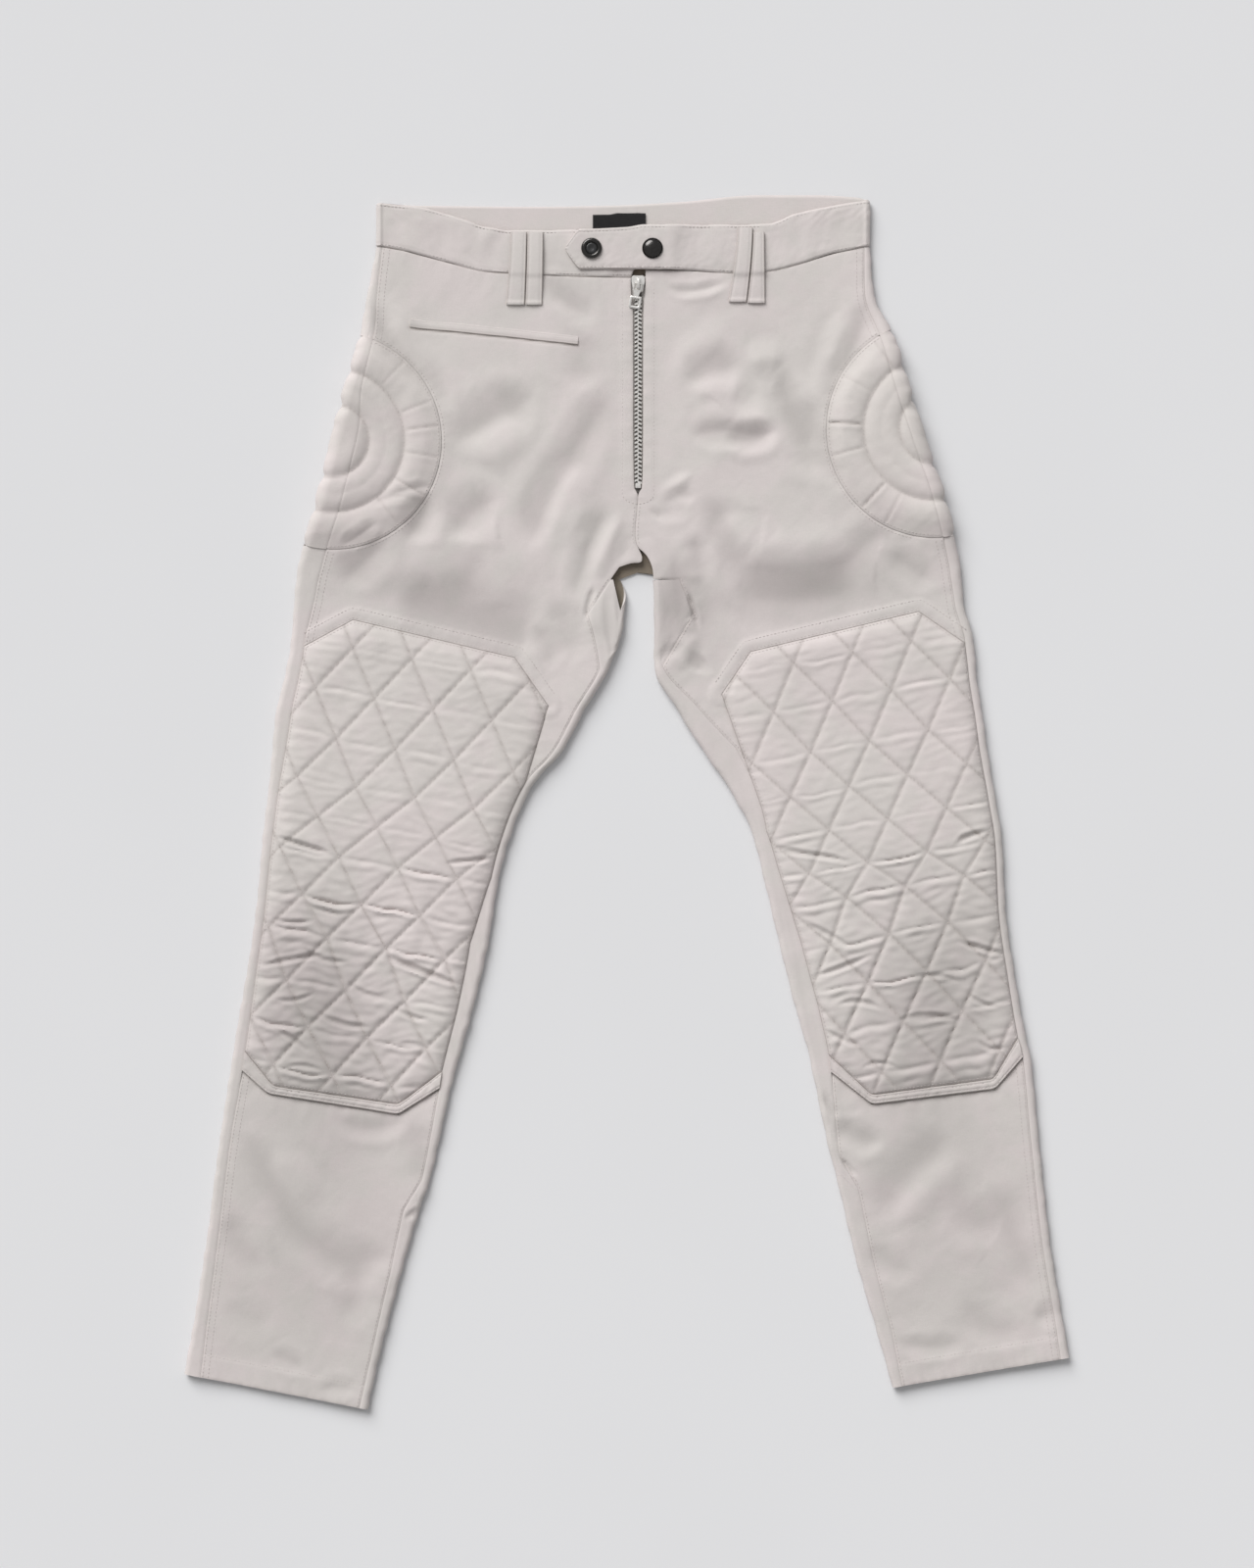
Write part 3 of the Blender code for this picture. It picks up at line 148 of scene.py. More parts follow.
LEFT_ROWS = (
    (206.0, 470.5, 8.3, 470.5, 5.0, 0.0, 0.0, 0.0, 6.3, 6.1, 6.1),
    (209.5, 431.0, 8.3, 429.0, 8.0, 0.0, 0.0, 0.0, 8.3, 6.5, 6.8),
    (225.0, 397.5, 8.3, 393.5, 12.0, 0.0, 0.0, 0.0, 11.0, 6.5, 7.2),
    (239.0, 352.0, 8.3, 348.0, 12.5, 0.0, 0.0, 0.0, 12.5, 6.5, 7.8),
    (253.0, 306.5, 8.3, 300.5, 11.5, 0.0, 0.0, 0.0, 13.0, 6.5, 8.2),
    (270.0, 256.5, 8.3, 250.5, 11.5, 0.0, 0.0, 0.0, 12.5, 6.8, 8.4),
    (283.0, 198.5, 8.3, 191.0, 10.0, 0.0, 0.0, 0.0, 10.0, 7.5, 8.4),
    (283.3, 196.5, 22.0, 188.5, 10.0, 22.0, 0.0, 6.5, 10.0, 7.8, 8.4),
    (285.0, 172.0, 23.0, 158.5, 8.0, 33.0, 0.0, 14.0, 9.0, 8.5, 8.2),
    (294.0, 136.0, 23.0, 115.5, 8.0, 7.0, 0.0, 22.0, 8.5, 8.5, 7.6),
    (296.5, 105.5, 41.5, 80.5, 7.0, 17.0, 0.0, 26.0, 8.5, 8.5, 7.0),
    (301.5, 74.0, 65.5, 42.5, 7.0, 27.0, 0.0, 26.0, 8.5, 8.0, 7.0),
    (305.5, 45.0, 84.0, 16.0, 7.0, 22.0, 0.0, 26.0, 8.5, 8.0, 7.2),
    (312.0, 6.0, 106.0, -25.5, 6.5, 12.0, 0.0, 26.0, 8.5, 8.0, 7.8),
    (318.0, -32.5, 116.0, -64.5, 6.5, 14.0, 0.0, 26.0, 8.5, 8.0, 8.2),
    (321.0, -92.0, 129.5, -121.0, 6.5, 18.0, 0.0, 26.0, 8.5, 8.0, 7.8),
    (328.0, -142.0, 142.0, -171.0, 6.5, 19.0, 0.0, 26.0, 8.0, 8.0, 7.0),
    (338.0, -198.5, 154.5, -215.0, 7.0, 16.5, 0.0, 26.0, 8.0, 7.5, 6.6),
    (342.0, -215.0, 157.5, -229.5, 7.0, 15.5, 0.0, 26.0, 8.0, 7.5, 6.6),
    (349.0, -285.0, 172.5, -299.5, 7.0, 7.0, 0.0, 26.0, 7.5, 7.5, 6.6),
    (351.0, -304.0, 177.0, -316.0, 7.0, 19.0, 13.0, 26.0, 7.5, 7.5, 6.6),
    (358.0, -367.5, 195.0, -391.0, 7.0, 14.0, 0.0, 26.0, 7.5, 7.5, 6.4),
    (368.5, -432.5, 212.5, -451.0, 7.0, 12.0, 0.0, 26.0, 7.5, 7.5, 6.2),
    (375.2, -470.0, 225.0, -495.5, 8.0, 8.0, 0.0, 26.0, 7.5, 7.5, 6.2),
)
CROTCH, KNEE_TOP, KNEE_IN, KNEE_FOOT, BAND_FOOT, INNER_END, HEM = 7, 9, 12, 17, 18, 20, 23

# The creases of the front layer. Each runs through three points, x and y in turn, and has
# a width, a height that is below zero for a trough, and an edge.
CREASES = (
    (-71, 444, -46, 426, -24, 405, 7.5, -1.6, SOFT),
    (-66, 434, -50, 424, -37, 413, 4.1, -0.7, SOFT),
    (-34, 400, -37, 377, -37, 348, 11.6, -1.3, SOFT),
    (-72, 345, -106, 330, -150, 300, 10.8, -2.6, SOFT),
    (-83, 327, -116, 310, -141, 290, 13.3, 1.2, SOFT),
    (-7, 350, -36, 309, -61, 265, 9.1, -1.8, SOFT),
    (-61, 265, -73, 240, -83, 211, 10.0, -2.0, SOFT),
    (-33, 290, -54, 256, -66, 215, 10.0, 1.6, SOFT),
    (-105, 255, -129, 247, -147, 218, 10.0, -2.0, SOFT),
    (-165, 265, -174, 242, -188, 218, 7.5, -2.0, SOFT),
    (-198, 227, -220, 205, -243, 182, 8.3, -1.6, SOFT),
    (-217, 431, -206, 399, -178, 366, 6.6, -1.8, SOFT),
    (-178, 366, -160, 349, -141, 330, 5.8, -1.1, SOFT),
    (-199, 421, -183, 389, -158, 360, 7.5, 0.9, SOFT),
    (-12, 259, -28, 225, -35, 203, 6.6, -1.5, SOFT),
    (-35, 203, -42, 182, -44, 164, 5.8, -1.2, SOFT),
    (0, 248, -18, 215, -30, 185, 5.0, 1.1, SOFT),
    (7, 232, 0, 215, -7, 203, 3.3, -0.6, CRISP),
    (-199, 172, -133, 157, -66, 136, 21.6, -2.6, SOFT),
    (-66, 173, -54, 149, -46, 115, 10.0, -1.2, SOFT),
    (-203, 259, -183, 265, -164, 267, 3.3, -0.7, CRISP),
    (-216, 248, -201, 258, -178, 255, 3.3, -0.6, CRISP),
    (-245, 215, -228, 225, -208, 240, 4.1, -0.8, CRISP),
    (-116, 215, -133, 190, -141, 165, 11.6, -1.2, SOFT),
    (-17, 182, -25, 161, -33, 140, 5.0, 0.8, SOFT),
    (-27, 186, -32, 169, -36, 152, 2.0, -1.0, CRISP),
    (-82, 149, -70, 136, -62, 110, 5.8, -1.2, SOFT),
    (52, 347, 68, 364, 101, 370, 9.1, -1.8, SOFT),
    (50, 358, 75, 349, 108, 344, 10.0, 1.3, SOFT),
    (101, 370, 120, 376, 134, 372, 7.5, 1.2, SOFT),
    (136, 372, 135, 345, 146, 317, 7.5, -2.2, SOFT),
    (146, 317, 157, 295, 174, 270, 9.1, -1.8, SOFT),
    (156, 348, 158, 323, 170, 298, 10.0, -1.4, SOFT),
    (52, 310, 83, 315, 108, 310, 6.6, -1.6, SOFT),
    (81, 310, 106, 309, 130, 317, 5.8, -2.2, SOFT),
    (50, 323, 91, 325, 129, 328, 7.5, 1.4, SOFT),
    (22, 258, 42, 270, 57, 279, 3.3, 0.9, SOFT),
    (27, 251, 43, 258, 60, 260, 4.1, -1.0, SOFT),
    (16, 249, 23, 246, 31, 239, 2.5, -0.7, CRISP),
    (17, 248, 42, 247, 56, 253, 4.1, -0.8, SOFT),
    (63, 259, 79, 240, 91, 215, 9.1, -1.8, SOFT),
    (91, 215, 104, 195, 128, 191, 10.0, -2.2, SOFT),
    (128, 191, 170, 195, 199, 215, 10.8, -2.0, SOFT),
    (199, 215, 216, 225, 226, 210, 7.5, -1.2, SOFT),
    (220, 217, 237, 200, 266, 183, 6.6, -1.3, SOFT),
    (83, 182, 133, 172, 208, 182, 16.6, -2.0, SOFT),
    (60, 232, 60, 211, 68, 186, 5.8, -1.2, SOFT),
    (83, 248, 95, 227, 112, 215, 7.5, 1.2, SOFT),
    (30, 444, 50, 433, 89, 443, 3.3, -1.0, CRISP),
    (42, 431, 66, 431, 100, 437, 6.6, 0.7, SOFT),
    (206, 431, 199, 402, 188, 376, 7.5, -1.6, SOFT),
    (188, 376, 174, 352, 171, 323, 5.0, -1.2, SOFT),
    (193, 416, 178, 389, 168, 361, 6.6, 0.9, SOFT),
    (171, 323, 173, 290, 184, 261, 5.0, -0.9, SOFT),
    (51, 182, 56, 164, 61, 145, 2.0, -1.4, CRISP),
    (61, 144, 50, 132, 28, 116, 5.0, 1.2, SOFT),
    (59, 109, 61, 115, 68, 122, 5.8, -1.3, SOFT),
    (38, 215, 42, 182, 37, 140, 7.5, -0.8, SOFT),
    (23, 129, 33, 125, 50, 136, 5.0, -1.6, SOFT),
    (12, 227, 17, 215, 23, 190, 4.1, 0.8, SOFT),
    (44, 215, 54, 203, 60, 182, 5.0, 0.8, SOFT),
    (-300, -27, -274, -36, -246, -44, 1.8, -1.6, CRISP),
    (-300, -21, -274, -28, -249, -37, 4.1, 0.8, SOFT),
    (-110, -46, -131, -49, -156, -51, 1.8, -1.5, CRISP),
    (-313, -139, -282, -132, -251, -128, 1.8, -1.5, CRISP),
    (-139, -156, -166, -145, -203, -130, 2.0, -2.0, CRISP),
    (-202, -134, -178, -141, -154, -150, 1.7, -1.0, CRISP),
    (-303, -96, -285, -101, -262, -99, 1.7, -1.1, CRISP),
    (-276, -120, -258, -132, -232, -134, 1.8, -1.2, CRISP),
    (-300, -190, -284, -199, -268, -212, 1.7, -1.4, CRISP),
    (-262, -176, -244, -186, -214, -190, 1.9, -1.6, CRISP),
    (-300, -164, -283, -167, -262, -160, 1.6, -1.0, CRISP),
    (-200, -172, -182, -181, -166, -183, 1.6, -1.2, CRISP),
    (-236, -150, -224, -160, -205, -163, 1.6, -1.1, CRISP),
    (-196, -205, -180, -204, -164, -212, 1.5, -0.9, CRISP),
    (-292, -226, -276, -222, -255, -228, 1.5, -0.9, CRISP),
    (125, -42, 158, -44, 193, -51, 1.8, -1.4, CRISP),
    (123, -36, 133, -39, 151, -41, 1.5, -0.8, CRISP),
    (300, -25, 290, -27, 278, -32, 1.8, -1.3, CRISP),
    (156, -146, 174, -142, 210, -127, 1.8, -1.6, CRISP),
    (325, -129, 303, -124, 277, -116, 1.8, -1.6, CRISP),
    (150, -100, 168, -110, 190, -122, 1.7, -1.1, CRISP),
    (176, -172, 196, -168, 218, -176, 1.8, -1.3, CRISP),
    (228, -186, 250, -180, 284, -184, 1.9, -1.6, CRISP),
    (166, -190, 182, -200, 202, -206, 1.6, -1.1, CRISP),
    (240, -150, 262, -146, 282, -152, 1.7, -1.1, CRISP),
    (286, -160, 302, -170, 318, -172, 1.6, -1.1, CRISP),
    (296, -200, 308, -208, 322, -206, 1.6, -1.2, CRISP),
    (196, -226, 214, -220, 232, -226, 1.5, -0.9, CRISP),
    (274, -37, 290, -29, 309, -22, 1.8, -1.2, CRISP),
    (-322, -278, -308, -308, -290, -338, 9.0, -1.4, SOFT),
    (-290, -338, -278, -362, -258, -376, 10.0, -1.6, SOFT),
    (-258, -376, -230, -389, -196, -374, 9.0, -1.5, SOFT),
    (-300, -290, -283, -318, -262, -346, 9.0, 0.9, SOFT),
    (-333, -340, -325, -378, -297, -396, 8.0, -1.1, SOFT),
    (-238, -388, -230, -418, -248, -440, 9.0, -1.1, SOFT),
    (-188, -270, -172, -296, -178, -332, 8.0, -1.0, SOFT),
    (-250, -266, -216, -276, -184, -266, 5.0, -1.2, SOFT),
    (-189, -353, -181, -347, -173, -341, 1.8, -1.4, CRISP),
    (-304, -468, -288, -472, -270, -483, 4.5, -0.9, SOFT),
    (-264, -499, -245, -495, -225, -499, 4.0, -0.8, SOFT),
    (-340, -420, -322, -436, -296, -440, 8.0, -0.6, SOFT),
    (176, -264, 192, -282, 221, -288, 6.0, -1.8, SOFT),
    (214, -360, 232, -318, 278, -280, 11.0, -1.5, SOFT),
    (226, -366, 250, -330, 292, -300, 9.0, 0.8, SOFT),
    (274, -334, 297, -354, 320, -346, 10.0, -1.5, SOFT),
    (320, -346, 334, -382, 350, -420, 8.0, -1.0, SOFT),
    (204, -372, 222, -390, 248, -399, 7.0, -1.0, SOFT),
    (284, -420, 306, -443, 341, -446, 7.5, -1.2, SOFT),
    (226, -455, 256, -461, 290, -455, 4.5, -0.9, SOFT),
    (344, -439, 357, -433, 371, -425, 5.0, -1.1, SOFT),
    (166, -244, 171, -256, 180, -268, 2.5, -1.1, SOFT),
    (180, -300, 187, -308, 196, -318, 1.8, -1.3, CRISP),
)


# Painted shade: soft ovals where the cloth is drawn darker to stand for the shade of its curves: an
# oval's middle, half length, half width, turn and depth
SHADE_OVALS = (
    (-183, 184, 62, 17, -8, 0.15),
    (165, 182, 75, 19, 8, 0.19),
    (199, 205, 40, 16, 12, 0.1),
    (-262, -180, 105, 52, -80, 0.31),
    (262, -180, 105, 52, 80, 0.29),
    (-275, -400, 130, 95, -76, 0.13),
    (285, -390, 120, 90, 76, 0.11),
    (45, 168, 40, 22, 80, 0.30),
)


# ---------------------------------------------------------------- numbers and lines


def smooth(share: Array) -> Array:
    """3t² - 2t³ of a share clipped to 0..1."""
    share = np.clip(share, 0.0, 1.0)
    return share * share * (3.0 - 2.0 * share)


def puff(distance: Array, width: float, power: float = 1.35) -> Array:
    """The swell of wadding away from a sewn line: 1 - exp(-(d / width)^power)."""
    return 1.0 - np.exp(-((np.abs(distance) / width) ** power))


def ripples(points: Array, length: float, seed: int, count: int = 9) -> Array:
    """A soft random relief of about unit height: a sum of plane waves near one wavelength.

    Args:
        points: (..., 2) places in millimetres.
        length: the middle wavelength.
        seed: fixes the waves' directions, lengths and phases.
        count: the number of waves.

    Returns:
        The relief at each place.
    """
    draw = np.random.default_rng(seed)
    turn = draw.uniform(0.0, math.pi, count)
    pitch = 2.0 * math.pi / (length * draw.uniform(0.65, 1.5, count))
    phase = draw.uniform(0.0, 2.0 * math.pi, count)
    bend = 0.35 * length * np.sin(points[..., ::-1] * (1.7 / length) + phase[:2])
    moved = points + bend
    total = np.zeros(points.shape[:-1])
    for a, k, p in zip(turn, pitch, phase):
        total += np.sin(k * (moved[..., 0] * math.cos(a) + moved[..., 1] * math.sin(a)) + p)
    return total * math.sqrt(2.0 / count)


def flutter(along: Array, length: float, seed: int) -> Array:
    """A random wave of unit height along a line: the product and sum of three sines."""
    draw = np.random.default_rng(seed)
    a, b, c = 2.0 * math.pi / (length * draw.uniform(0.8, 1.7, 3))
    p, q, r = draw.uniform(0.0, 2.0 * math.pi, 3)
    return 0.55 * np.sin(a * along + p) + 0.45 * np.sin(b * along + q) * np.sin(c * along + r)


def eased(x: Array, knots: Array, values: Array) -> Array:
    """A monotone cubic through the knots, so that a line through stations has no corners.

    The slope at a knot is the harmonic mean of its neighbours' slopes, or 0 where they turn.
    """
    steps = np.diff(knots)
    rise = np.diff(values) / steps
    slope = np.empty_like(values)
    product = rise[:-1] * rise[1:]
    total = rise[:-1] + rise[1:]
    slope[1:-1] = np.where(product > 0, 2.0 * product / np.where(total == 0, 1.0, total), 0.0)
    slope[0], slope[-1] = rise[0], rise[-1]
    k = np.clip(np.searchsorted(knots, x, side="right") - 1, 0, len(steps) - 1)
    h = steps[k]
    t = (x - knots[k]) / h
    start = (1 + 2 * t) * (1 - t) ** 2 * values[k] + t * (1 - t) ** 2 * h * slope[k]
    return start + t * t * (3 - 2 * t) * values[k + 1] + t * t * (t - 1) * h * slope[k + 1]


def rounded(points: Sequence, rounds: int = 2, keep: float = 0.22) -> Array:
    """An open polyline with each corner cut off at a share of its sides, the ends kept."""
    line = np.array(points, float)
    for _ in range(rounds):
        start, end = line[:-1], line[1:]
        cut = np.stack([start + (end - start) * keep, end - (end - start) * keep], axis=1)
        line = np.concatenate([line[:1], cut.reshape(-1, 2)[1:-1], line[-1:]])
    return line


def resampled(line: Array, step: float, closed: bool = False) -> Array:
    """Points along a polyline, step apart or closer, that keep its own corners."""
    if closed:
        line = np.concatenate([line, line[:1]])
    lengths = np.linalg.norm(np.diff(line, axis=0), axis=1)
    keep = np.concatenate([[True], lengths > 1e-6])
    line, lengths = line[keep], lengths[keep[1:]]
    counts = np.maximum(1, np.ceil(lengths / step)).astype(int)
    first = np.repeat(np.arange(len(lengths)), counts)
    within = np.arange(counts.sum()) - np.repeat(np.cumsum(counts) - counts, counts)
    share = (within / counts[first])[:, None]
    made = line[first] + (line[first + 1] - line[first]) * share
    return made if closed else np.concatenate([made, line[-1:]])


@dataclass
class Near:
    """What Line.near finds for each place: distance, arc length along, and signed side."""

    away: Array
    along: Array
    left: Array


class Line:
    """A polyline in the plane that a seam or a row of stitches follows."""

    def __init__(self, points: Sequence, step: float = 5.0, closed: bool = False) -> None:
        """Keeps the points and the arc length at each of them."""
        self.closed = closed
        self.points = resampled(np.array(points, float), step, closed)
        if closed:
            self.points = np.concatenate([self.points, self.points[:1]])
        self.steps = np.diff(self.points, axis=0)
        self.lengths = np.linalg.norm(self.steps, axis=1)
        self.arc = np.concatenate([[0.0], np.cumsum(self.lengths)])

    def near(self, places: Array, reach: float = 40.0) -> Near:
        """The nearest place on the line: the foot of the shortest perpendicular.

        Args:
            places: (n, 2) places.
            reach: places further than this from the line's box keep that distance.

        Returns:
            Distance, arc length and the sign of the side (+1 on the left).
        """
        away = np.full(len(places), reach)
        along = np.zeros(len(places))
        left = np.ones(len(places))
        low, high = self.points.min(axis=0) - reach, self.points.max(axis=0) + reach
        chosen = np.nonzero(((places > low) & (places < high)).all(axis=1))[0]
        for part, few in self.tiles(places, chosen, reach):
            offset = places[part, None, :] - self.points[None, few]
            share = np.clip(
                (offset * self.steps[few]).sum(axis=2) / self.lengths[few] ** 2, 0.0, 1.0
            )
            gap = offset - share[..., None] * self.steps[few]
            square = (gap ** 2).sum(axis=2)
            nearest = square.argmin(axis=1)
            row = np.arange(len(part))
            best = few[nearest]
            away[part] = np.minimum(reach, np.sqrt(square[row, nearest]))
            along[part] = self.arc[best] + share[row, nearest] * self.lengths[best]
            step, to = self.steps[best], offset[row, nearest]
            left[part] = np.where(step[:, 0] * to[:, 1] - step[:, 1] * to[:, 0] >= 0, 1.0, -1.0)
        return Near(away, along, left)

    def tiles(self, places: Array, chosen: Array, reach: float) -> list[tuple[Array, Array]]:
        """Splits the chosen places into square tiles, each with the steps within reach of it."""
        if len(chosen) * len(self.steps) < 150_000:
            return [(chosen, np.arange(len(self.steps)))] if len(chosen) else []
        tile = np.floor(places[chosen] / TILE).astype(int)
        key = tile[:, 0] * 4096 + tile[:, 1]
        order = np.argsort(key, kind="stable")
        low, high = np.minimum(
            self.points[:-1], self.points[1:]
        ), np.maximum(self.points[:-1], self.points[1:])
        made = []
        for part in np.split(chosen[order], np.nonzero(np.diff(key[order]))[0] + 1):
            start, end = places[part].min(axis=0) - reach, places[part].max(axis=0) + reach
            few = np.nonzero(((high > start) & (low < end)).all(axis=1))[0]
            if len(few):
                made.append((part, few))
        return made

    def at(self, along: Array) -> Array:
        """The places at arc lengths along the line."""
        return np.stack([np.interp(along, self.arc, self.points[:, k]) for k in (0, 1)], axis=-1)

    def offset(self, by: float) -> Array:
        """The line's points moved sideways, to its left where by is above zero."""
        unit = self.steps / self.lengths[:, None]
        ends = (unit[:1] + unit[-1:],) * 2 if self.closed else (unit[:1], unit[-1:])
        turn = np.concatenate([ends[0], unit[:-1] + unit[1:], ends[1]])
        turn /= np.maximum(np.linalg.norm(turn, axis=1), 1e-6)[:, None]
        return self.points + np.stack([-turn[:, 1], turn[:, 0]], axis=1) * by


# ---------------------------------------------------------------- the legs' lines


@dataclass
class Leg:
    """One leg's lines: its stations, free corners and quilting, in millimetres.

    inward is the direction of X from the outer fold to the middle. grain is the direction
    of the quilt's level rows, quilt_from a crossing on its second row, and quilt_rows the
    distance of each row of crossings down the leg and how far they are shifted across.
    """

    name: str
    inward: float
    stations: tuple
    hip: tuple
    waist: tuple
    zip_edge: tuple
    crotch: tuple
    knee_top: tuple
    knee_inner: tuple
    knee_foot: tuple
    band: tuple
    grain: tuple
    quilt_from: tuple
    quilt_rows: tuple
    seed: int
    table: dict = field(default_factory=dict)

    FINE = 24

    def __post_init__(self) -> None:
        """Works the stations out into close rows, eased except at the inseam's corners."""
        raw = {name: np.array(column, float) for name, column in zip(SECTION, zip(*self.stations))}
        path = np.hypot(np.diff(raw["out_x"]), np.diff(raw["out_y"]))
        knots = np.concatenate([[0.0], np.cumsum(path)])
        numbers = np.arange(len(knots))
        fine = np.linspace(0, len(knots) - 1, (len(knots) - 1) * self.FINE + 1)
        place = np.interp(fine, numbers, knots)
        self.table["at"] = fine
        for name, column in raw.items():
            plain = name in ("inseam", "sweep", "tuck")
            self.table[name] = np.interp(
                place, knots, column
            ) if plain else eased(place, knots, column)

    def row(self, at: Array) -> dict[str, Array]:
        """The section at station numbers, which may lie between two stations."""
        return {name: np.interp(at, self.table["at"], self.table[name]) for name in SECTION}

    def by_height(self, name: str, level: str, y: Array) -> Array:
        """A column read at a Y, where level names the fold whose Y counts."""
        return np.interp(-y, -self.table[level], self.table[name])

    def at_height(self, y: Array) -> Array:
        """The station numbers whose outer fold lies at a Y."""
        return np.interp(-y, -self.table["out_y"], self.table["at"])

    def seam(self, first: float, last: float, inseam: bool = False) -> Array:
        """A seam in front from one station to another: the section's end moved in along it."""
        count = max(2, int(round(abs(last - first) * 8)) + 1)
        row = self.row(np.linspace(first, last, count))
        start = np.stack([row["out_x"], row["out_y"]], axis=1)
        end = np.stack([row["in_x"], row["in_y"]], axis=1)
        unit = (end - start) / np.linalg.norm(end - start, axis=1)[:, None]
        if inseam:
            drop = np.stack([np.zeros(count), row["sweep"]], axis=1)
            return end - unit * row["inseam"][:, None] - drop
        return start + unit * row["side"][:, None]

    def knee_lines(self) -> tuple[Array, Array, Array, Array]:
        """The knee panel's top, foot, outer and inner edges, each from its upper or outer end."""
        outer = self.seam(KNEE_TOP, KNEE_FOOT)
        inner = np.concatenate([[self.knee_inner], self.seam(KNEE_IN, KNEE_FOOT, inseam=True)])
        top = np.array([outer[0], *self.knee_top, inner[0]])
        foot = np.array([outer[-1], *self.knee_foot, inner[-1]])
        return top, foot, outer, inner

    def band_foot(self) -> Array:
        """The binding's lower edge, from the outer seam to the inner one."""
        outer, inner = self.seam(BAND_FOOT, HEM)[0], self.seam(BAND_FOOT, HEM, inseam=True)[0]
        return np.array([outer, *self.band, inner])

    def ring(self, radius: float, count: int = 180) -> Array:
        """A circle about the hip's centre, starting on the side towards the outer fold."""
        turn = np.linspace(math.pi, -math.pi, count)
        return (
            np.array(self.hip)
            + radius * np.stack([self.inward * np.cos(turn), np.sin(turn)], axis=1)
        )

    def side_seam_ends(self) -> tuple[Array, Array, Array]:
        """The side seam above, within and below the padded hip."""
        seam = resampled(self.seam(0, KNEE_TOP), 1.5)
        inside = np.linalg.norm(seam - self.hip, axis=1) < HIP_RINGS[-1] + GAP
        first, last = np.nonzero(inside)[0][[0, -1]]
        return seam[:first], seam[first:last + 1], seam[last + 1:]

    def hip_arc(self, start: Array, end: Array, radius: float) -> Array:
        """The outer sewn circle in front, between two places on the side seam."""
        turns = [
            math.atan2(p[1] - self.hip[1], (p[0] - self.hip[0]) * self.inward) for p in (start, end)
        ]
        turn = np.linspace(turns[0], turns[1], 120)
        return (
            np.array(self.hip)
            + radius * np.stack([self.inward * np.cos(turn), np.sin(turn)], axis=1)
        )


RIGHT = Leg(
    name="right", inward=1.0, stations=RIGHT_ROWS, hip=(-249.0, 306.3),
    waist=(
        (-190.0, 467.5), (-173.0, 463.0), (-149.0, 456.5), (-123.0, 449.5), (-85.0, 447.2),
        (-40.0, 445.2)
    ),
    zip_edge=(
        (3.2, 444.6), (3.2, 431.0), (5.2, 424.0), (5.2, 267.5), (8.4, 263.0), (9.2, 260.0),
        (8.9, 254.0), (7.5, 240.0), (6.7, 228.0), (7.3, 221.0), (9.6, 215.5)
    ),
    crotch=((13.0, 208.5), (12.4, 203.2), (3.6, 203.0), (-6.6, 199.5)),
    knee_top=((-232.0, 155.0), (-95.0, 123.0)), knee_inner=(-66.5, 82.0),
    knee_foot=((-299.5, -240.0), (-193.5, -255.5)), band=((-304.0, -246.5), (-194.0, -264.0)),
    grain=(0.983, -0.18), quilt_from=(-214.0, 88.0),
    quilt_rows=(
        (-39.0, 0.0), (0.0, 0.0), (39.0, 0.0), (76.4, -1.7), (106.2, -3.3), (137.0, -5.0),
        (173.5, -4.6), (205.8, -2.5), (247.3, -4.6), (283.0, -5.0), (319.6, -2.5)
    ),
    seed=11,
)
LEFT = Leg(
    name="left", inward=-1.0, stations=LEFT_ROWS, hip=(260.6, 316.2),
    waist=(
        (190.0, 468.0), (174.0, 464.8), (142.0, 454.5), (119.0, 449.5), (93.0, 447.8), (47.0, 450.7)
    ),
    zip_edge=(
        (15.6, 451.2), (15.6, 431.0), (13.6, 424.0), (13.6, 267.5), (10.1, 263.0), (9.25, 260.0),
        (8.94, 254.0), (7.54, 240.0), (6.74, 228.0), (7.34, 221.0), (9.66, 215.5)
    ),
    crotch=((13.6, 212.6), (18.0, 207.6), (21.8, 198.5), (22.4, 189.3)),
    knee_top=((247.0, 162.0), (104.5, 128.0)), knee_inner=(80.0, 92.0),
    knee_foot=((310.5, -234.0), (207.5, -247.5)), band=((312.0, -242.5), (207.5, -255.5)),
    grain=(0.983, 0.185), quilt_from=(223.7, 96.3),
    quilt_rows=(
        (-36.7, -1.5), (0.8, -0.4), (39.8, -1.2), (73.9, 0.0), (107.5, 1.7), (140.7, 3.7),
        (166.0, 5.6), (202.9, 10.3), (240.7, 10.4), (278.9, 8.3), (317.1, 7.9)
    ),
    seed=37,
)
LEGS = (RIGHT, LEFT)

BAND_TOP = (
    (
        -209.0, 508.0
    ), (-173.5, 504.0), (-140.0, 494.5), (-119.5, 488.0), (-96.0, 484.8), (-41.5, 485.5),
    (0.0, 487.2), (15.0, 489.5), (93.0, 489.8), (
        120.0, 490.5
    ), (142.0, 498.8), (174.0, 505.5), (203.0, 510.4),
)
BACK_TOP = (
    (-209.0, 508.0), (-173.5, 506.3), (-78.0, 505.5), (-16.6, 506.3), (47.0, 509.6), (110.0, 515.2),
    (158.0, 515.2), (197.5, 513.0), (203.0, 510.4),
)


# ---------------------------------------------------------------- meshes


def link(name: str, mesh: bpy.types.Mesh) -> bpy.types.Object:
    """Puts a mesh into the scene as a new object at the origin, under its solid's name and MADE."""
    made = bpy.data.objects.new(name + MADE, mesh)
    bpy.context.scene.collection.objects.link(made)
    return made


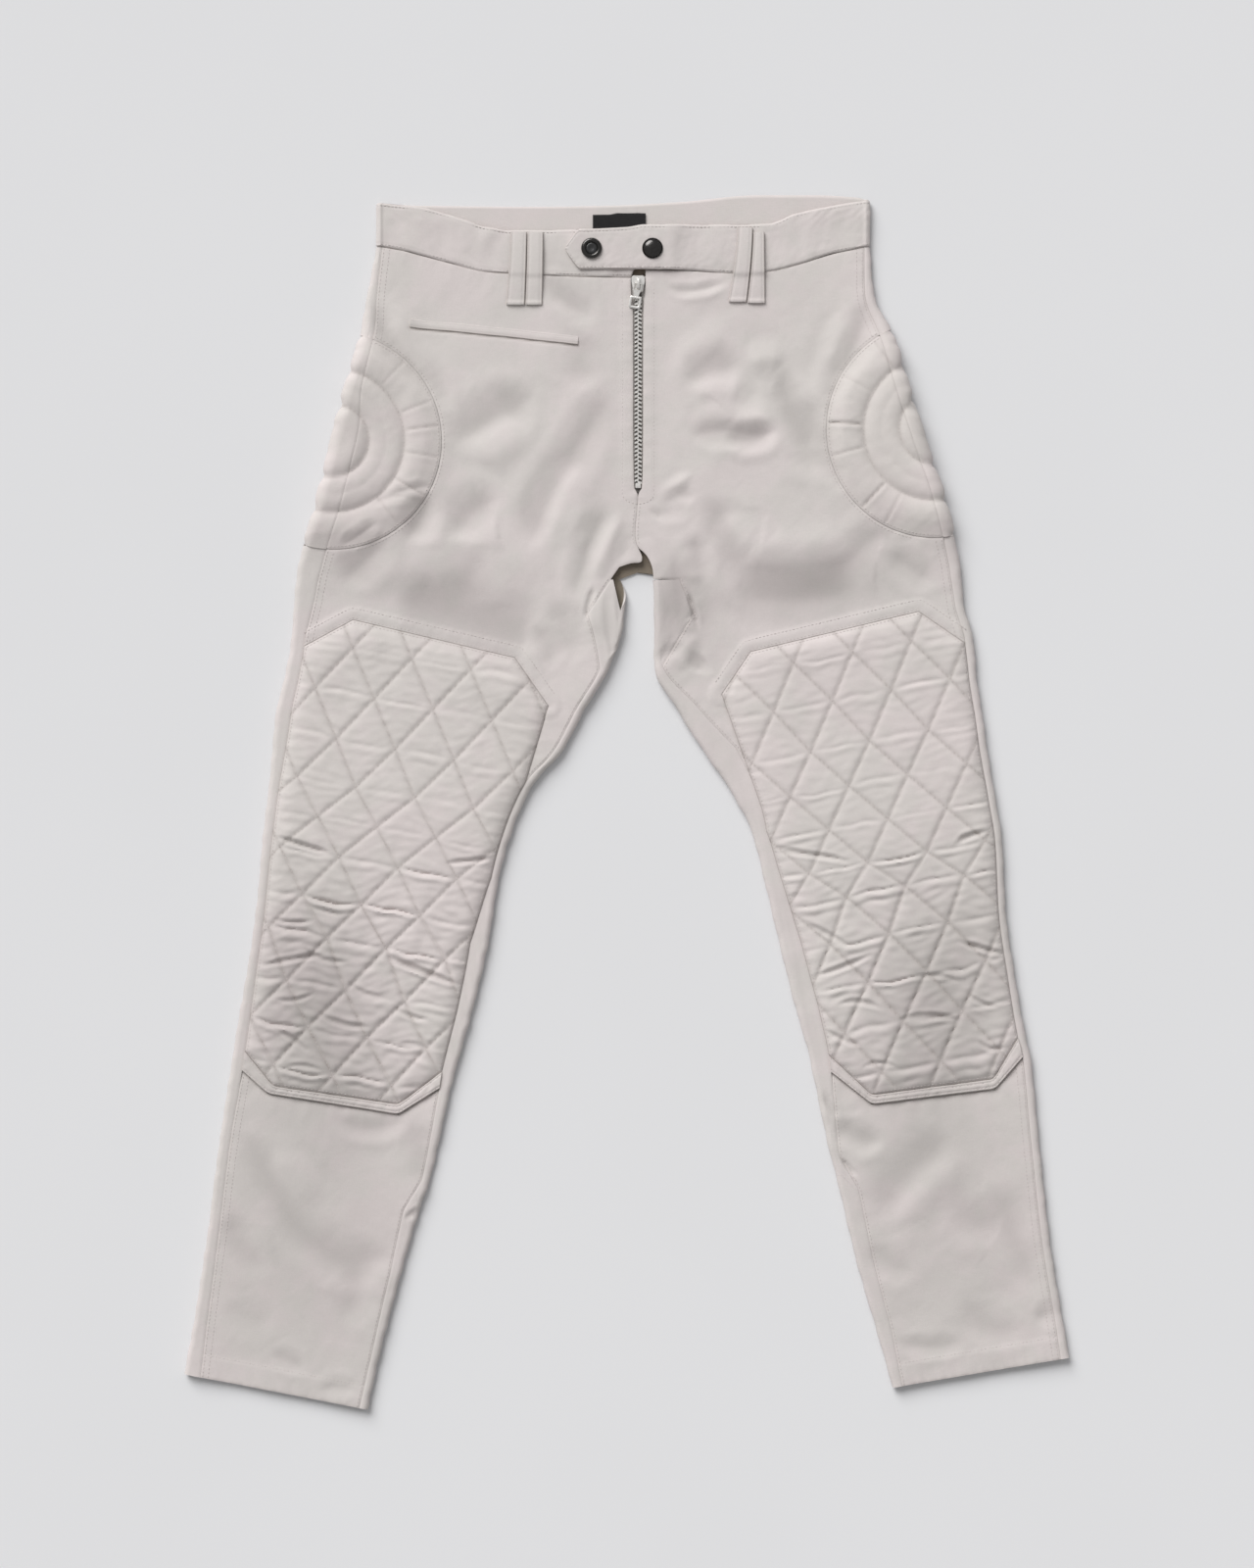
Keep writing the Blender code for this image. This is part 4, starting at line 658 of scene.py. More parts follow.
def mesh_from(
    name: str, points: Array, faces: Sequence[Array], smooth_faces: bool = True
) -> bpy.types.Mesh:
    """A mesh of triangles and quads.

    Args:
        name: the mesh's name.
        points: (n, 3) places in millimetres.
        faces: arrays of faces, (m, 3) or (m, 4), numbering the points from 0.
        smooth_faces: whether the faces are shaded smooth.

    Returns:
        The mesh, in metres.
    """
    mesh = bpy.data.meshes.new(name)
    faces = [part for part in faces if len(part)]
    corners = np.concatenate([part.ravel() for part in faces]).astype(np.int32)
    sizes = np.concatenate([np.full(len(part), part.shape[1]) for part in faces])
    mesh.vertices.add(len(points))
    mesh.vertices.foreach_set("co", (points * MM).astype(np.float32).ravel())
    mesh.loops.add(len(corners))
    mesh.loops.foreach_set("vertex_index", corners)
    mesh.polygons.add(len(sizes))
    mesh.polygons.foreach_set("loop_start", (np.cumsum(sizes) - sizes).astype(np.int32))
    mesh.update(calc_edges=True)
    mesh.validate()
    if smooth_faces:
        mesh.shade_smooth()
    return mesh


def normals_of(points: Array, triangles: Array) -> Array:
    """Unit normals at the vertices: the sum of the normals of the triangles round each."""
    a, b, c = (points[triangles[:, k]] for k in range(3))
    flat = np.cross(b - a, c - a)
    total = np.stack([
        sum(np.bincount(triangles[:, corner], flat[:, axis], len(points)) for corner in range(3))
        for axis in range(3)
    ], axis=1)
    return total / np.maximum(np.linalg.norm(total, axis=1), 1e-12)[:, None]


def rim_of(triangles: Array, below: int) -> Array:
    """The quads that join a sheet's free edges to the same edges of the sheet below it."""
    ends = np.concatenate([triangles[:, [0, 1]], triangles[:, [1, 2]], triangles[:, [2, 0]]])
    size = triangles.max() + 1
    forward = ends[:, 0] * size + ends[:, 1]
    free = ends[~np.isin(forward, ends[:, 1] * size + ends[:, 0])]
    return np.stack([free[:, 1], free[:, 0], free[:, 0] + below, free[:, 1] + below], axis=1)


def grid_triangles(rows: int, columns: int, kept: Array | None = None) -> Array:
    """Two triangles for each cell of a grid of vertices, numbered row by row.

    Args:
        rows: rows of vertices.
        columns: vertices in a row.
        kept: which cells are filled, or None for all.

    Returns:
        (m, 3) triangles, facing up where rows run along +Y and columns along +X.
    """
    number = np.arange(rows * columns).reshape(rows, columns)
    a, b, c, d = number[:-1, :-1], number[:-1, 1:], number[1:, 1:], number[1:, :-1]
    cells = np.stack([a, b, c, a, c, d], axis=-1)
    cells = cells.reshape(-1, 6) if kept is None else cells[kept]
    return cells.reshape(-1, 3)


def shaded(points: Array) -> Array:
    """Painted shade: how much darker the cloth is drawn to stand for shade, in the creases' troughs
    and in soft turned ovals.

    An oval adds depth · exp(-(along² + aside²)), and a trough the crease shade for each millimetre
    of its depth.
    """
    total = CREASE_SHADE * np.maximum(0.0, -RELIEF.creased(points[:, :2]))
    for x, y, long, short, degrees, depth in SHADE_OVALS:
        turn = math.radians(degrees)
        across, up = points[:, 0] - x, points[:, 1] - y
        along = (across * math.cos(turn) + up * math.sin(turn)) / long
        aside = (up * math.cos(turn) - across * math.sin(turn)) / short
        total += depth * np.exp(-(along ** 2 + aside ** 2))
    return total * smooth(points[:, 2] / 3.0 - 0.3)


def cloth_shell(
    name: str, top: Array, bottom: Array, triangles: Array, grain: Array, soil: Array
) -> bpy.types.Object:
    """A closed wall of cloth between two sheets that share their triangles.

    Args:
        name: the piece's name.
        top: (n, 3) the face that shows.
        bottom: (n, 3) the face behind it.
        triangles: (m, 3) counter-clockwise on the face that shows.
        grain: (n, 2) millimetres along the weft and the warp, for the map named cloth.
        soil: (n,) painted shade, how much a place lies in a groove, seam or gap, for the attribute
            of that name.

    Returns:
        The object.
    """
    used, inverse = np.unique(triangles, return_inverse=True)
    triangles = inverse.reshape(-1, 3)
    top, bottom, grain, soil = top[used], bottom[used], grain[used], soil[used]
    count = len(top)
    faces = [triangles, triangles[:, ::-1] + count, rim_of(triangles, count)]
    mesh = mesh_from(name, np.concatenate([top, bottom]), faces)
    corner = np.empty(len(mesh.loops), np.int32)
    mesh.loops.foreach_get("vertex_index", corner)
    laid = np.concatenate([grain, grain])[corner] * MM
    mesh.uv_layers.new(name="cloth").data.foreach_set("uv", laid.astype(np.float32).ravel())
    # Both attributes are painted shade: darkening in grooves, seams and gaps, and broad shade in
    # the creases' troughs and soft ovals.
    for label, values in (("soil", soil), ("tone", shaded(top))):
        mark = mesh.attributes.new(label, "FLOAT", "POINT")
        mark.data.foreach_set("value", np.concatenate([values, values]).astype(np.float32))
    mesh.set_sharp_from_angle(angle=math.radians(FOLD_SHARP))
    return link(name, mesh)


def inside(places: Array, outline: Array) -> Array:
    """Which places lie inside a closed outline: a ray crosses it an odd number of times."""
    start, end = outline, np.roll(outline, -1, axis=0)
    slant = (end[:, 0] - start[:, 0]) / np.where(
        end[:, 1] == start[:, 1], 1e-9, end[:, 1] - start[:, 1]
    )
    found = np.zeros(len(places), bool)
    size = max(1, 4_000_000 // len(outline))
    for begin in range(0, len(places), size):
        x, y = places[begin:begin + size, 0, None], places[begin:begin + size, 1, None]
        spans = (start[:, 1] > y) != (end[:, 1] > y)
        crossed = spans & (x < start[:, 0] + (y - start[:, 1]) * slant)
        found[begin:begin + size] = crossed.sum(axis=1) % 2 == 1
    return found


def filled(
    outline: Array, spacing: float, rims: Sequence[float] = (0.5, 1.2, 2.2)
) -> tuple[Array, Array, Near]:
    """A flat sheet of even triangles that ends exactly on an outline.

    Args:
        outline: (n, 2) closed outline.
        spacing: the side of the triangles inside.
        rims: distances from the edge at which there are rows of points along it.

    Returns:
        Places, triangles facing up, and each place's nearest point on the outline.
    """
    edge = Line(outline, spacing * 0.85, closed=True)
    area = np.sum(
        edge.points[:-1, 0] * edge.points[1:, 1] - edge.points[1:, 0] * edge.points[:-1, 1]
    )
    inner = [edge.offset(rim if area > 0 else -rim)[:-1] for rim in rims]
    low, high = outline.min(axis=0), outline.max(axis=0)
    x = np.arange(low[0], high[0], spacing)
    y = np.arange(low[1], high[1], spacing * math.sqrt(0.75))
    lattice = np.stack(np.meshgrid(x, y), axis=-1)
    lattice[1::2, :, 0] += spacing / 2
    parts = [edge.points[:-1]]
    for places, least in [*((p, 0.93 * rim) for p, rim in zip(inner, rims)),
                          (lattice.reshape(-1, 2), rims[-1] + 0.5 * spacing)]:
        places = places[inside(places, edge.points[:-1])]
        parts.append(places[edge.near(places, least + 0.01).away >= least])
    places = np.concatenate(parts)
    loop = list(range(len(edge.points) - 1))
    points, _, faces, *_ = delaunay_2d_cdt(
        [Vector(p) for p in places.tolist()], [], [loop], 1, 1e-4, False
    )
    triangles = np.array([face for face in faces if len(face) == 3], int)
    places = np.array([tuple(p) for p in points])
    triangles = triangles[inside(places[triangles].mean(axis=1), edge.points[:-1])]
    used, inverse = np.unique(triangles, return_inverse=True)
    places, triangles = places[used], inverse.reshape(-1, 3)
    return places, triangles, edge.near(places, 45.0)


# ---------------------------------------------------------------- the front layer's relief


class Relief:
    """The height of the front layer's top: its lie, its creases and the cloth's soft waves."""

    def __init__(self) -> None:
        """Lays the creases out as curves; a row that starts where one ends carries it on."""
        runs = []
        share = np.linspace(0.0, 1.0, 9)[:, None]
        for x0, y0, x1, y1, x2, y2, width, height, edge in CREASES:
            start, middle, end = np.array((x0, y0)), np.array((x1, y1)), np.array((x2, y2))
            pull = 2 * middle - (start + end) / 2
            curve = (1 - share) ** 2 * start + 2 * share * (1 - share) * pull + share ** 2 * end
            wide, tall = (SOFT_WIDTH, SOFT_HEIGHT) if edge is SOFT else (1.0, CRISP_HEIGHT)
            if runs and np.allclose(runs[-1][0][-1], curve[0]):
                runs[-1][0].extend(curve[1:])
            else:
                runs.append(([*curve], [], [], edge.value))
            runs[-1][1].append(width * wide)
            runs[-1][2].append(height * tall)
        self.creases = [
            (Line(run, 6.0), np.array(wide), np.array(tall), power) for run, wide, tall,
            power in runs
        ]

    def creased(self, places: Array) -> Array:
        """The sum of the creases: a bell across each with low banks, fading to its ends."""
        total = np.zeros(len(places))
        for line, widths, heights, power in self.creases:
            found = line.near(places, 4.5 * widths.max())
            middles = line.arc[-1] * (np.arange(len(widths)) + 0.5) / len(widths)
            width, height = (
                np.interp(found.along, middles, values) for values in (widths, heights)
            )
            to_end = np.minimum(found.along, line.arc[-1] - found.along)
            fade = smooth(to_end / min(0.34 * line.arc[-1], FADE_OUT))
            ratio = found.away / (width * (0.55 + 0.45 * fade))
            bank = 0.28 * np.exp(-((ratio - 2.1) / 0.8) ** 2)
            total += height * fade * (np.exp(-(ratio ** power)) - bank)
        return total

    def lie(self, leg: Leg, places: Array) -> Array:
        """The height without creases: high at the folds and under the hip, lower in the middle."""
        x, y = places[:, 0], places[:, 1]
        outer = leg.inward * (x - leg.by_height("out_x", "out_y", y))
        inner = leg.inward * (leg.by_height("in_x", "in_y", y) - x)
        middle = leg.by_height("h_mid", "out_y", y)
        height = middle + (leg.by_height("h_out", "out_y", y) - middle) * (1 - smooth(outer / FADE))
        height += (leg.by_height("h_in", "in_y", y) - middle) * (1 - smooth(inner / FADE))
        away = np.linalg.norm(places - leg.hip, axis=1) / HIP_RINGS[-1]
        return height + HIP_LIFT * (1 - smooth((away - 0.8) / 0.5))

    def top(self, leg: Leg, places: Array) -> Array:
        """The whole relief at (n, 2) places, calmed beside the zip and kept off the back panels."""
        x, y = places[:, 0], places[:, 1]
        outer = leg.inward * (x - leg.by_height("out_x", "out_y", y))
        calm = smooth(0.25 + outer / ZIP_CALM) * smooth(np.abs(x - ZIP_X) / ZIP_CALM + 0.15)
        waves = 0.2 * ripples(places, 70.0, leg.seed) + 0.05 * ripples(places, 27.0, leg.seed + 1)
        waves += 0.02 * ripples(places, 11.0, leg.seed + 2)
        height = self.lie(leg, places) + (self.creased(places) + waves) * calm
        above_end = smooth((y - ZIP_END_Y) / ZIP_CALM + 1.2)
        beside_zip = (1 - smooth((np.abs(x - ZIP_X) - TAPE_HALF) / ZIP_CALM)) * above_end
        height += (ZIP_LEVEL - height) * beside_zip * 0.85
        lift = (height - LOWEST_FRONT) / 0.7
        return LOWEST_FRONT + 0.7 * np.logaddexp(0.0, lift)


RELIEF = Relief()


def turned_edge(away: Array, depth: float = 0.3, width: float = 0.9) -> Array:
    """The roll of a sewn edge: -depth · exp(-(d / width)²)."""
    return -depth * np.exp(-((away / width) ** 2))


def pucker(near: Near, height: float, length: float, reach: float, seed: int) -> Array:
    """Short creases square to a sewn line that die out away from it."""
    fade = np.exp(-near.away / reach) * puff(near.away, 1.2, 1.0)
    return height * flutter(near.along, length, seed) * fade


def channel(near: Near, at: float, depth: float = 0.35, width: float = 0.9) -> Array:
    """The dent that a row of stitches pulls in, at a distance from an edge."""
    return -depth * np.exp(-(((near.away - at) / width) ** 2))


# ---------------------------------------------------------------- flat panels


@dataclass
class Panel:
    """A panel of the front layer, cut to an outline and laid on the relief."""

    leg: Leg
    spacing: float = 2.1
    wall: float = WALL
    kind: str = "panel"
    slot: str = "cotton"

    @property
    def name(self) -> str:
        """The piece's name, with its leg's."""
        return f"{self.kind}_{self.leg.name}"

    def outline(self) -> Array:
        """The closed outline of the cut, seam allowances turned in."""
        raise NotImplementedError

    def own(self, places: Array, near: Near) -> Array:
        """What this panel adds to the relief."""
        return turned_edge(near.away)

    def top(self, places: Array) -> Array:
        """The height of the panel's face at any place on it."""
        near = Line(self.inset_outline(), 2.0, closed=True).near(places, 45.0)
        return RELIEF.top(self.leg, places) + self.own(places, near)

    def inset_outline(self) -> Array:
        """The outline moved in by half of a seam's gap."""
        line = Line(self.outline(), 2.5, closed=True)
        area = np.sum(
            line.points[:-1, 0] * line.points[1:, 1] - line.points[1:, 0] * line.points[:-1, 1]
        )
        return line.offset(GAP if area > 0 else -GAP)[:-1]

    def grain(self, places: Array) -> Array:
        """Millimetres along weft and warp: the places turned to the leg's grain."""
        gx, gy = self.leg.grain
        return np.stack(
            [places[:, 0] * gx + places[:, 1] * gy, places[:, 1] * gx - places[:, 0] * gy], axis=1
        )

    def soil(self, places: Array, near: Near) -> Array:
        """Painted shade in the turned edges."""
        return np.exp(-near.away / 1.6)

    def build(self) -> bpy.types.Object:
        """The panel as a closed wall: its face on the relief, its back a wall's thickness below."""
        places, triangles, near = filled(self.inset_outline(), self.spacing)
        base = RELIEF.top(self.leg, places)
        face = base + self.own(places, near)
        back = np.minimum(base, face) - self.wall
        made = cloth_shell(
            self.name, np.column_stack([places, face]), np.column_stack([places, back]),
            triangles, self.grain(places), self.soil(places, near),
        )
        LOG.info("%s: %d triangles", self.name, 2 * len(triangles))
        return made


@dataclass
class Front(Panel):
    """The front from the waistband to the knee, round the hip's outer circle."""

    kind: str = "front"
    felled_width: float = 11.5
    felled_row: float = 9.4
    fly_width: float = 15.5

    def outline(self) -> Array:
        """Down the side seam, round the hip, over the knee, up the inseam, fly and waist."""
        leg = self.leg
        above, _, below = leg.side_seam_ends()
        top, _, _, inner = leg.knee_lines()
        return np.concatenate([
            above, leg.hip_arc(above[-1], below[0], HIP_RINGS[-1] + GAP), below,
            top[1:-1], inner[:1],
            leg.seam(CROTCH, KNEE_IN, inseam=True)[::-1],
            rounded((*leg.zip_edge, *leg.crotch))[::-1],
            rounded(leg.waist)[::-1],
        ])

    def own(self, places: Array, near: Near) -> Array:
        """Turned edges, puckers at the waist, the knee's felled seam and the fly's stitching."""
        leg = self.leg
        height = turned_edge(near.away) + pucker(near, 0.3, 13.0, 9.0, leg.seed + 3)
        top, *_ = leg.knee_lines()
        knee = Line(top).near(places, 30.0)
        height += (
            0.9 * smooth((self.felled_width - knee.away) / 1.7)
            + channel(knee, KNEE_ROWS[0]) + channel(knee, self.felled_row, 0.45)
        )
        x, y = places[:, 0], places[:, 1]
        fly = np.abs(x - ZIP_X)
        beside = smooth((ZIP_TOP_Y - y) / 4.0) * smooth((y - ZIP_END_Y + 14.0) / 4.0)
        height += beside * (
            0.35 * smooth((self.fly_width - fly) / 1.5)
            - 0.3 * np.exp(-((fly - FLY_ROW) / 0.8) ** 2)
        )
        ring = np.abs(np.linalg.norm(places - leg.hip, axis=1) - HIP_RINGS[-1])
        return height + 0.55 * np.exp(-((ring / 9.0) ** 2)) - 0.7 * self.under_welt(places, 1.3)

    def under_welt(self, places: Array, width: float) -> Array:
        """exp(-(d / width)²) of the distance to the pocket's slit, and nothing on the left leg."""
        if self.leg is LEFT:
            return np.zeros(len(places))
        return np.exp(-((Line(Welt().slit()).near(places, 12.0).away / width) ** 2))

    def soil(self, places: Array, near: Near) -> Array:
        """Painted shade at the edges, under the waistband and in the hollow round the hip, and a
        painted shadow along the welt's slit.
        """
        ring = np.abs(np.linalg.norm(places - self.leg.hip, axis=1) - HIP_RINGS[-1])
        beside = 1.0 - 0.8 * np.exp(-((ring / 4.0) ** 2))
        return (
            0.7 * np.exp(-near.away / 1.0) * beside + 0.1 * np.exp(-ring / 7.0)
            + 1.8 * self.under_welt(places, 1.2)
        )


@dataclass
class Quilt:
    """The knee's diamond quilting: two families of sewn lines that cross on the leg's rows."""

    leg: Leg
    cell: float = 50.6
    line_gap: float = 41.9
    row_gap: float = 37.0

    def __post_init__(self) -> None:
        """Extends the rows of crossings past both ends and draws each diamond's own creases."""
        rows = np.array(self.leg.quilt_rows)
        down = np.concatenate(
            [[rows[0, 0] - 80, rows[0, 0] - 40], rows[:, 0], [rows[-1, 0] + 40, rows[-1, 0] + 80]]
        )
        across = np.concatenate([rows[:1, 1], rows[:1, 1], rows[:, 1], rows[-1:, 1], rows[-1:, 1]])
        self.rows, self.down, self.across = np.arange(-2, len(rows) + 2), down, across
        self.draws = np.random.default_rng(self.leg.seed + 5).uniform(0.0, 1.0, (32, 32, 5))

    def lattice(self, places: Array) -> tuple[Array, Array]:
        """Each place as a row number down the leg and a count of cells across it."""
        gx, gy = self.leg.grain
        offset = places - np.array(self.leg.quilt_from)
        across = offset[:, 0] * gx + offset[:, 1] * gy
        down = offset[:, 0] * gy - offset[:, 1] * gx
        row = np.interp(down, self.down, self.rows)
        return row, (across - np.interp(down, self.down, self.across)) / self.cell

    def place(self, row: Array, cell: Array) -> Array:
        """The places at row numbers and counts of cells: the inverse of lattice."""
        gx, gy = self.leg.grain
        down = np.interp(row, self.rows, self.down)
        across = cell * self.cell + np.interp(down, self.down, self.across)
        return (
            np.array(self.leg.quilt_from)
            + np.stack([across * gx + down * gy, across * gy - down * gx], axis=-1)
        )

    def to_lines(self, row: Array, cell: Array) -> tuple[Array, Array]:
        """Distances to each family's nearest line, on which cell ± (row - 1) / 2 is whole."""
        return tuple(
            np.abs(f - np.round(f)) * self.line_gap
            for f in (cell + (row - 1) / 2, cell - (row - 1) / 2)
        )

    def creases(self, row: Array, cell: Array) -> Array:
        """The pulls between crossings: a crisp trough with a bank and a finer trough below."""
        level = np.round(row)
        shift = cell - 0.5 * (level % 2 == 0)
        share = shift - np.floor(shift)
        pick = self.draws[level.astype(int) % 32, np.floor(shift).astype(int) % 32]
        below = (row - level) * self.row_gap
        span = np.sin(np.pi * share)
        bow = (pick[:, 0] * 6.0 - 2.5) * span + 1.4 * (pick[:, 4] - 0.5) * np.sin(4 * np.pi * share)
        strength = (0.4 + 1.0 * pick[:, 1] ** 1.3) * (0.8 + 2.1 * smooth((level - 3.5) / 2.5))
        width = 1.1 + 1.1 * pick[:, 2]
        trough = np.exp(-np.abs((below - bow) / width) ** 1.4)
        bank = 0.45 * np.exp(-(((below - bow) / width - 2.4) / 1.6) ** 2)
        finer = (
            0.5 * pick[:, 3] * np.exp(-(((below - bow - 7.0 - 3.0 * pick[:, 2]) / 1.9) ** 2)) * span
        )
        return strength * span ** 0.8 * (bank - trough - finer)

    def seams(self) -> list[Array]:
        """Every sewn line as a polyline through its crossings."""
        row = np.linspace(self.rows[0], self.rows[-1], 180)
        return [
            self.place(
                row, whole + sign * (row - 1) / 2
            ) for sign in (-1, 1) for whole in range(-9, 10)
        ]


@dataclass
class Knee(Panel):
    """The padded and quilted knee panel."""

    kind: str = "knee_pad"
    slot: str = "padded_cotton"
    spacing: float = 1.75
    crown: float = 3.9
    edge_rise: float = 0.5

    def outline(self) -> Array:
        """Top, inner edge, foot and outer edge in turn."""
        top, foot, outer, inner = self.leg.knee_lines()
        return np.concatenate([top[:-1], inner[:-1], foot[::-1][:-1], outer[::-1][:-1]])

    def own(self, places: Array, near: Near) -> Array:
        """Wadding that swells between the sewn lines, with pulled creases and side wrinkles."""
        quilt = Quilt(self.leg)
        row, cell = quilt.lattice(places)
        first, second = quilt.to_lines(row, cell)
        swell = puff(first, 2.0, 1.2) * puff(second, 2.0, 1.2)
        deep = 0.32 + 0.2 * smooth((row - 5.0) / 2.5)
        full = puff(near.away, 5.5, 1.1)
        drop = np.interp(row, quilt.rows, quilt.down)
        dome = 0.35 * np.sin(np.pi * np.clip((drop + 40.0) / 360.0, 0.0, 1.0))
        height = self.edge_rise + self.crown * full * (1.0 - deep + deep * swell + dome)
        height += quilt.creases(row, cell) * full * (0.35 + 0.65 * swell)
        beside = np.exp(-near.away / 12.0) * puff(near.away, 2.0, 1.0)
        fine = (
            0.42 * flutter(drop, 11.0, self.leg.seed + 7)
            + 0.25 * flutter(drop + 0.2 * cell, 6.0, self.leg.seed + 8)
        )
        height += fine * beside
        crushed = 0.1 + 0.1 * smooth((row - 4.4) / 2.0)
        height += crushed * ripples(places * np.array((0.5, 1.0)), 11.0, self.leg.seed + 9) * full
        return height + turned_edge(near.away)

    def soil(self, places: Array, near: Near) -> Array:
        """Painted shade along the sewn lines and the edge."""
        quilt = Quilt(self.leg)
        first, second = quilt.to_lines(*quilt.lattice(places))
        return 0.7 * np.exp(-near.away / 0.9) + 0.65 * np.exp(-np.minimum(first, second) / 0.9)


@dataclass
class Hip(Panel):
    """The part of the padded hip in front of the side seam, sewn in rings."""

    kind: str = "hip_pad"
    slot: str = "padded_cotton"
    spacing: float = 1.7

    @property
    def name(self) -> str:
        """The piece's name, with its leg's and the half that it is."""
        return f"hip_pad_{self.leg.name}_front"

    def outline(self) -> Array:
        """Down the side seam inside the circle, and back along the circle."""
        _, seam, _ = self.leg.side_seam_ends()
        return np.concatenate(
            [seam, self.leg.hip_arc(seam[-1], seam[0], HIP_RINGS[-1] - GAP)[1:-1]]
        )

    def own(self, places: Array, near: Near) -> Array:
        """Rings of wadding, radial pleats in the outer one, and a rolled edge at the side seam."""
        return hip_rise(self.leg, places) + turned_edge(near.away)

    def soil(self, places: Array, near: Near) -> Array:
        """Painted shade in the sewn rings and at the edge."""
        return 0.2 * np.exp(-near.away / 1.0) + hip_crevice_shade(self.leg, places)


HIP_PLEATS = {
    "right": ((-9.0, 0.55), (8.0, 0.75), (22.0, 0.5), (-31.0, 0.8), (-52.0, 0.5), (48.0, 0.4)),
    "left": ((3.5, 1.4), (-14.5, 0.7), (-47.0, 1.1), (-62.0, 0.6), (30.0, 0.35), (55.0, 0.5)),
}


def hip_rise(leg: Leg, places: Array) -> Array:
    """The padded hip's rise: wadding swollen between sewn rings, crossed by radial pleats.

    Args:
        leg: the leg whose hip it is.
        places: (n, 2) places.

    Returns:
        The rise above the relief, in millimetres.
    """
    offset = places - np.array(leg.hip)
    away = np.linalg.norm(offset, axis=1)
    turn = np.arctan2(offset[:, 1], offset[:, 0] * leg.inward)
    groove = np.min([np.abs(away - r) for r in HIP_RINGS[:-1]], axis=0)
    shoulder = 0.3 + 0.7 * smooth((HIP_RINGS[-1] - away) / 15.0) ** 0.8
    rise = 0.15 + (
        4.0 * puff(groove, 4.6, 1.25) * (1.0 - 0.25 * smooth(groove / 15.0 - 0.6)) * shoulder
    )
    rise += 1.4 * (1.0 - puff(groove, 4.6, 1.25)) * shoulder
    fine = (
        flutter(turn * 60.0, 13.0, leg.seed + 12)
        * np.exp(-groove / 5.0) * puff(groove, 1.5, 1.0)
    )
    rise += 0.16 * fine + 0.04 * ripples(places, 14.0, leg.seed + 13)
    outer = smooth((away - HIP_RINGS[1]) / 5.0) * smooth((HIP_RINGS[2] - away) / 4.0)
    for degrees, depth in HIP_PLEATS[leg.name]:
        across = (turn - math.radians(degrees)) * away
        rise += outer * depth * (
            0.3 * np.exp(-((across + 3.4) / 2.4) ** 2) - np.exp(-np.abs(across / 1.1) ** 1.3)
        )
    return rise


def hip_crevice_shade(leg: Leg, places: Array) -> Array:
    """Painted shade in the padded hip's sewn rings and pleats, exp(-d / w) of the distance to each.
    """
    offset = places - np.array(leg.hip)
    away = np.linalg.norm(offset, axis=1)
    turn = np.arctan2(offset[:, 1], offset[:, 0] * leg.inward)
    ring = np.min([np.abs(away - r) for r in HIP_RINGS[:-1]], axis=0)
    ring_shade = 0.6 * np.exp(-ring / 0.9)
    outer = smooth((away - HIP_RINGS[1]) / 5.0) * smooth((HIP_RINGS[2] - away) / 4.0)
    for degrees, depth in HIP_PLEATS[leg.name]:
        across = np.abs(turn - math.radians(degrees)) * away
        ring_shade += 0.7 * depth * outer * np.exp(-across / 0.9)
    return ring_shade


@dataclass
class Shin(Panel):
    """The lower front, from the knee's binding to the hem."""

    kind: str = "shin"
    spacing: float = 2.4

    def outline(self) -> Array:
        """The binding's foot, the inseam, the hem and the side seam in turn."""
        outer = self.leg.seam(BAND_FOOT, HEM)
        inner = self.leg.seam(BAND_FOOT, HEM, inseam=True)
        return np.concatenate([self.leg.band_foot()[:-1], inner, outer[::-1][:-1]])

    def own(self, places: Array, near: Near) -> Array:
        """Turned edges, the hollow under the binding, and the hem's turn-up."""
        under = Line(self.leg.band_foot()).near(places, 40.0)
        height = turned_edge(near.away) + pucker(near, 0.25, 15.0, 8.0, self.leg.seed + 15)
        height -= 1.5 * np.exp(-under.away / 6.0)
        height += pucker(under, 0.5, 26.0, 16.0, self.leg.seed + 16)
        return height + hem_rise(self.leg, places)

    def soil(self, places: Array, near: Near) -> Array:
        """Painted shade at the edges, and a painted shadow under the binding."""
        under = Line(self.leg.band_foot()).near(places, 40.0)
        return 0.6 * np.exp(-near.away / 1.2) + 0.3 * np.exp(-under.away / 5.0)


def to_hem(leg: Leg, places: Array) -> Array:
    """The distance up the leg from the straight line of its hem."""
    row = leg.row(np.array([float(HEM)]))
    start = np.array((row["out_x"][0], row["out_y"][0]))
    end = np.array((row["in_x"][0], row["in_y"][0]))
    unit = (end - start) / np.linalg.norm(end - start)
    return np.abs((places[..., 0] - start[0]) * unit[1] - (places[..., 1] - start[1]) * unit[0])


def hem_rise(leg: Leg, places: Array) -> Array:
    """The hem's turn-up: a second thickness below its row of stitches, puckered along them."""
    up = to_hem(leg, places)
    wave = 0.28 * flutter(places[..., 0] + 0.2 * places[..., 1], 9.0, leg.seed + 17)
    return (
        0.45 * smooth((21.0 - up) / 1.6) - 0.4 * np.exp(-((up - HEM_ROW) / 0.9) ** 2)
        + wave * np.exp(-up / 9.0)
    )


# ---------------------------------------------------------------- panels that wrap round the leg


class Zone(Enum):
    """The parts of the wall round a leg, from the inseam's strip in front to the side seam's."""

    INNER_STRIP = 0
    INNER_FOLD = 1
    NEAR = 2
    UNDER = 3
    OUTER_FOLD = 4
    OUTER_STRIP = 5


RIM_STEPS = (0.0, 0.5, 1.2, 2.2)


